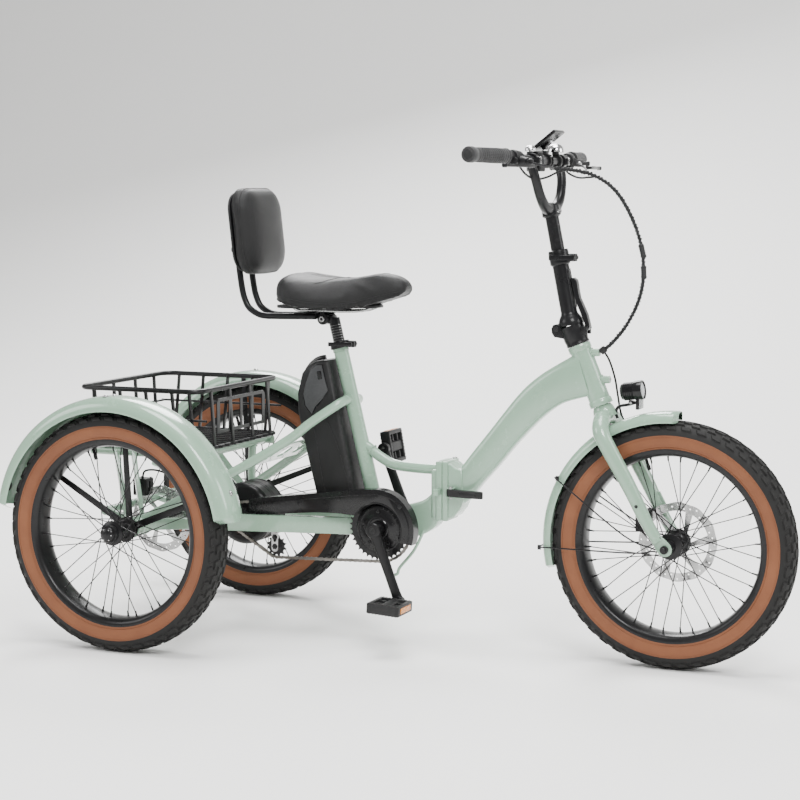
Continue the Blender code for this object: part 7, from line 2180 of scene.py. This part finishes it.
for side in (1, -1):
    rim = []
    for k in range(70):
        x = 0.2760 + (0.5600 - 0.2760) * k / 69
        z = saddleBase(x) + (saddleTop(x) - saddleBase(x)) * 0.12
        rim.append((Vector((x, side * 0.3, z)), Vector((x, 0, z))))
    line = surfaceLine(saddle, rim, 0.0002)
    if len(line) > 3:
        addSweep(bm, line, ringSection(8), 0.0015, 1)
piece("saddleSeams", bm, [thread, leather], "seat")
print("saddle made")

backLean = Matrix.Rotation(math.radians(-6.5), 4, "Y")
backMid = Vector((0.1870, 0, 0.9530))
backPlace = Matrix.Translation(backMid) @ backLean


def padOutline(halfY, halfZ, corner, count=10):
    loop = []
    for cy, cz, start in ((halfY - corner, halfZ - corner, 0), (corner - halfY, halfZ - corner, 90),
                          (corner - halfY, corner - halfZ, 180), (halfY - corner, corner - halfZ, 270)):
        loop += arcPoints((cy, cz), corner, start, start + 90, count)
    return loop


padLook = {"halfY": 0.0985, "halfZ": 0.1020, "corner": 0.050, "rings": 14}


def makePad():
    # crowned pad: rounded border that draws in, domed face towards the rider, nearly flat back
    bm = bmesh.new()
    rows = []
    rings = padLook["rings"]
    for k in range(rings + 1):
        t = k / rings
        grow = math.sin(math.pi * min(1.0, t * 1.02) * 0.5)
        shrink = 1.0 - t * 0.985
        curve = math.sqrt(max(0.0, 1 - (1 - t) ** 4.2))
        x = -0.0020 + 0.0290 * curve + 0.0050 * grow
        rows.append([bm.verts.new(backPlace @ Vector((x, y * shrink, z * shrink)))
                     for y, z in padOutline(padLook["halfY"], padLook["halfZ"], padLook["corner"])])
    backRows = []
    for t in (0.0, 0.02, 0.06, 0.12, 0.30, 0.60, 0.985):
        shrink = 1.0 - t
        x = -0.0120 - 0.0115 * min(1.0, (t / 0.12)) ** 0.5
        backRows.append([bm.verts.new(backPlace @ Vector((x, y * shrink, z * shrink)))
                         for y, z in padOutline(padLook["halfY"], padLook["halfZ"], padLook["corner"])])
    size = len(rows[0])
    order = list(reversed(backRows)) + rows
    for near, far in zip(order, order[1:]):
        for i in range(size):
            j = (i + 1) % size
            bm.faces.new((near[i], near[j], far[j], far[i]))
    bm.faces.new(list(reversed(order[0])))
    bm.faces.new(order[-1])
    return bm


pad = piece("backrestCover", makePad(), [leather], "backrest", ["backrest_pad"], 70)
puff(pad, 2.5, 0.0040)
soften(pad, 2)
subdivideOnce(pad)
bm = bmesh.new()
for inset, depth in ((0.0, 0.0042), (0.0, -0.0140)):
    loop = padOutline(padLook["halfY"], padLook["halfZ"], padLook["corner"], 14)
    samples = [(backPlace @ Vector((depth, y * 1.4, z * 1.4)), backPlace @ Vector((depth, 0, 0))) for y,
               z in loop]
    line = surfaceLine(pad, samples, 0.0001)
    addSweep(bm, line, ringSection(8), 0.0014 if depth > 0 else 0.0010, 1, closed=True, up=(1, 0, 0))
    if depth > 0:
        samples = [(backPlace @ Vector((depth + 0.0050, y * 1.4, z * 1.4)),
                    backPlace @ Vector((depth + 0.0050, 0, 0))) for y, z in loop]
        line = surfaceLine(pad, samples, 0.0002)
        addStitches(bm, densePath(line + line[:1], 0.0011), seatLook["stitch"], 0.0006, 0)
piece("backrestSeams", bm, [thread, leather], "backrest")

bm = bmesh.new()
shellLoop = padOutline(0.0900, 0.0930, 0.0450, 10)
part = bmesh.new()
addPlate(part, shellLoop, -0.0300, -0.0244, 0.0018, 0, "X", 3)
addBoxAt(part, (-0.0580, -0.0180, -0.0620), (-0.0290, 0.0180, -0.0140), 0.003, 0, segments=3)
for y, z in ((0.0620, 0.0600), (-0.0620, 0.0600), (0.0620, -0.0600), (-0.0620, -0.0600)):
    addLathe(part, [(0.0070, -0.001), (0.0070, 0.0008), (0.0050, 0.0020), (0.0, 0.0022)], (-0.0300, y, z),
             (-1, 0, 0), 24, 1)
inner = [(y * 0.86, z * 0.84) for y, z in shellLoop]
addSweep(part, [Vector((-0.0302, y, z)) for y, z in inner], ringSection(8), 0.0013, 0, closed=True,
         up=(1, 0, 0))
for z in (0.0200, 0.0320, 0.0440):
    addBoxAt(part, (-0.0316, -0.0500, z - 0.0016), (-0.0296, 0.0500, z + 0.0016), 0.0009, 0)
part.transform(backPlace)
addCopy = bpy.data.meshes.new("shellPart")
part.to_mesh(addCopy)
part.free()
bm.from_mesh(addCopy)
bpy.data.meshes.remove(addCopy)
piece("backrestShellDetail", bm, [blackPlastic, steel], "backrest", ["backrest_shell"], 35)

bm = bmesh.new()
knobStart = backPlace @ Vector((-0.0583, 0, -0.0380))
knobDir = (backPlace @ Vector((-0.0720, 0, -0.0380)) - knobStart).normalized()
lobes = []
for k in range(72):
    angle = 2 * math.pi * k / 72
    lobes.append((0.0176 + 0.0013 * math.cos(6 * angle), angle))
place = Matrix.Translation(knobStart) @ turnTo(knobDir)
rows = []
for along, shrink in ((0.0, 0.90), (0.0008, 0.97), (0.0025, 1.0), (0.0105, 1.0), (0.0126, 0.94),
                      (0.0135, 0.82), (0.0137, 0.45), (0.0128, 0.40)):
    rows.append([bm.verts.new(place @ Vector((r * shrink * math.cos(a), r * shrink * math.sin(a),
                                              along))) for r, a in lobes])
for near, far in zip(rows, rows[1:]):
    for i in range(72):
        j = (i + 1) % 72
        bm.faces.new((near[i], near[j], far[j], far[i]))
bm.faces.new(list(reversed(rows[0])))
bm.faces.new(rows[-1])
addRod(bm, knobStart - knobDir * 0.0170, knobStart + knobDir * 0.0010, 0.0034, None, 16, 1)
piece("backrestKnobDetail", bm, [blackPlastic, steel], "backrest_knob", ["backrest_knob"],
      35)

bm = bmesh.new()
for side in (1, -1):
    y = side * 0.0300
    bend = [(0.3500, y, 0.7560), (0.3300, y, 0.7557), (0.2400, y, 0.7540), (0.2150, y, 0.7545),
            (0.1960, y, 0.7590), (0.1740, y, 0.7730),
            (0.1620, y, 0.7960), (0.1560, y, 0.8200), (0.1500, y, 0.8600), (0.1380, y, 0.9500),
            (0.1300, y, 1.0100)]
    addTube(bm, roundPath(bend, 6), 0.0075, 24, 0)
    addLathe(bm, [(0.0075, -0.001), (0.0080, 0.0), (0.0080, 0.0030), (0.0060, 0.0044), (0.0, 0.0046)],
             (0.1300, y, 1.0098),
             (-0.13, 0, 1), 24, 1)
addBoxAt(bm, (0.3200, -0.0340, 0.7530), (0.3420, 0.0340, 0.7590), 0.0015, 0)
addBoxAt(bm, (0.1282, -0.0340, 0.9900), (0.1340, 0.0340, 1.0060), 0.0015, 0)
addBoxAt(bm, (0.3365, -0.0300, 0.7562), (0.3500, 0.0300, 0.7634), 0.0015, 0)
for side in (1, -1):
    addBolt(bm, (0.1282, side * 0.0300, 0.9980), (-1, 0, 0), 0.0050, 0.0030, 2)
piece("backrestFrameDetail", bm, [blackPaint, blackPlastic, steel], "seat", ["backrest_frame"],
      35)
print("backrest made")


# ---- basket

basketLook = {"rim": 0.0060, "floorRim": 0.0048, "wire": 0.0030}


def levelLoop(xLow, xHigh, halfY, z, corner, count=8):
    loop = []
    for cx, cy, start in ((xHigh - corner, halfY - corner, 0), (xLow + corner, halfY - corner, 90),
                          (xLow + corner, corner - halfY, 180), (xHigh - corner, corner - halfY, 270)):
        loop += [(x, y, z) for x, y in arcPoints((cx, cy), corner, start, start + 90, count)]
    return loop


bm = bmesh.new()
addSweep(bm, levelLoop(-0.1900, 0.1300, 0.2000, 0.5850, 0.028), ringSection(20), basketLook["rim"], 0,
         closed=True)
addSweep(bm, levelLoop(-0.1820, 0.1400, 0.1760, 0.4500, 0.024), ringSection(16), basketLook["floorRim"], 0,
         closed=True)
for side in (1, -1):
    for x in (-0.1500, -0.0800, -0.0100, 0.0600, 0.1060):
        addBeam(bm, (x, side * 0.1765, 0.4490), (x, side * 0.2000, 0.5850), 0.0036, 0.0120, 0.0010, 0)
        addWeld(bm, (x, side * 0.2000, 0.5805), (0, 0, 1), 0.0046, 0, 0.0012)
    addTube(bm, roundPath([(-0.1850, side * 0.1870, 0.5170), (-0.1700, side * 0.1880, 0.5170),
                           (0.1200, side * 0.1880, 0.5170),
                           (0.1340, side * 0.1870, 0.5170)], 3), 0.0028, 12, 0)
for y in (-0.1400, -0.0500, 0.0500, 0.1400):
    addBeam(bm, (-0.1820, y, 0.4490), (-0.1900, y, 0.5850), 0.0120, 0.0036, 0.0010, 0)
    addBeam(bm, (0.1400, y, 0.4490), (0.1300, y, 0.5850), 0.0120, 0.0036, 0.0010, 0)
addTube(bm, [(-0.1862, -0.1860, 0.5170), (-0.1862, -0.1840, 0.5170), (-0.1862, 0.1840, 0.5170),
             (-0.1862, 0.1860, 0.5170)], 0.0028, 12, 0)
for y in (-0.1280, -0.0960, -0.0640, -0.0320, 0.0, 0.0320, 0.0640, 0.0960, 0.1280):
    addTube(bm, roundPath([(-0.1820, y, 0.4490), (-0.1800, y, 0.4512), (-0.1700, y, 0.4520),
                           (0.1280, y, 0.4520), (0.1380, y, 0.4512),
                           (0.1400, y, 0.4490)], 3), basketLook["wire"], 10, 0)
for x in (-0.1300, -0.0500, 0.0300, 0.1000):
    addTube(bm, [(x, -0.1760, 0.4470), (x, -0.1740, 0.4470), (x, 0.1740, 0.4470), (x, 0.1760, 0.4470)],
            0.0028, 10, 0)
# sheet at the front with its cut-outs
sheetTurn = Matrix.Translation((0.1345, 0, 0)) @ Matrix.Rotation(math.pi / 2, 4, "Z")
sheet = [(-0.1200, 0.4800), (0.1200, 0.4800), (0.1200, 0.5540), (0.1120, 0.5620), (-0.1120, 0.5620),
         (-0.1200, 0.5540)]
cutOuts = []
for k in range(4):
    y = -0.0840 + 0.0560 * k
    cutOuts.append([(y + dx, z) for dx, z in ((-0.0220, 0.4880), (0.0220, 0.4880), (0.0220, 0.5540),
                                              (-0.0220, 0.5540))])
addHoled(bm, sheet, cutOuts, -0.0012, 0.0012, 0, sheetTurn)
for y in (-0.1100, 0.1100):
    for z in (0.4860, 0.5500):
        addBolt(bm, (0.1334, y, z), (-1, 0, 0), 0.0034, 0.0020, 1)
for side in (1, -1):
    for x in (-0.1300, 0.0900):
        addBoxAt(bm, (x - 0.0080, side * 0.170 - 0.0100, 0.4425), (x + 0.0080, side * 0.170 + 0.0080, 0.4460),
                 0.001, 0)
        addBolt(bm, (x, side * 0.1700, 0.4458), (0, 0, 1), 0.0040, 0.0024, 1)
piece("basketDetail", bm, [blackPaint, blackPlastic], "frame", ["basket"], 35)
print("basket made")


# ---- floor, light and camera

def makeFloor():
    floorMat, tree, shader, where = startMaterial("paleFloor", {"Roughness": 0.9, "Specular IOR Level": 0.1})
    tone = noiseNode(tree, where, 2.0, 3, 0.5)
    tree.links.new(blendColour(tree, tone, (0.97, 0.968, 0.955), (0.95, 0.948, 0.935)),
                   shader.inputs["Base Color"])
    bm = bmesh.new()
    path = [Vector((0, -7.0, 0)), Vector((0, -2.0, 0))]
    rows = []
    path += [Vector((0, 1.4 + 5.2 * math.sin(math.radians(a)),
                     5.2 - 5.2 * math.cos(math.radians(a)))) for a in range(0, 84, 3)]
    for p in path:
        rows.append([bm.verts.new((x, p.y, max(0.0, p.z))) for x in (-9.0, -3.0, 3.0, 9.0)])
    for near, far in zip(rows, rows[1:]):
        for k in range(3):
            bm.faces.new((near[k], near[k + 1], far[k + 1], far[k]))
    mesh = bpy.data.meshes.new("floor")
    bm.to_mesh(mesh)
    bm.free()
    floor = bpy.data.objects.new("floor", mesh)
    bpy.context.scene.collection.objects.link(floor)
    mesh.materials.append(floorMat)
    mesh.shade_smooth()


makeFloor()
lightLook = {"key": ((2.6, -3.6, 4.2), 270, 2.2), "fill": ((-4.2, -3.0, 2.6), 100, 2.6),
             "back": ((-1.6, 3.2, 3.6), 240, 2.4),
             "top": ((0.2, -0.4, 5.2), 360, 3.2), "front": ((4.6, 0.8, 2.4), 80, 2.0)}
for label, (spot, power, size) in lightLook.items():
    light = bpy.data.lights.new(label, "AREA")
    light.energy = power
    light.size = size
    light.shape = "DISK"
    holder = bpy.data.objects.new(label, light)
    bpy.context.scene.collection.objects.link(holder)
    holder.location = spot
    holder.rotation_euler = (Vector((0, 0, 0.45)) - holder.location).to_track_quat("-Z", "Y").to_euler()
world = bpy.data.worlds.new("studio")
world.use_nodes = True
world.node_tree.nodes["Background"].inputs["Color"].default_value = (1.0, 0.995, 0.98, 1)
world.node_tree.nodes["Background"].inputs["Strength"].default_value = 0.45
bpy.context.scene.world = world

cameraLook = {"place": (2.3475, -4.1090, 1.0486), "aim": (0.5501, 0.0, 0.5660), "lens": 87.87}
lens = bpy.data.cameras.new("camera")
lens.lens = cameraLook["lens"]
camera = bpy.data.objects.new("camera", lens)
bpy.context.scene.collection.objects.link(camera)
camera.location = shift @ Vector(cameraLook["place"])
aim = shift @ Vector(cameraLook["aim"])
camera.rotation_euler = (aim - camera.location).to_track_quat("-Z", "Y").to_euler()
bpy.context.scene.camera = camera
print("stage made")
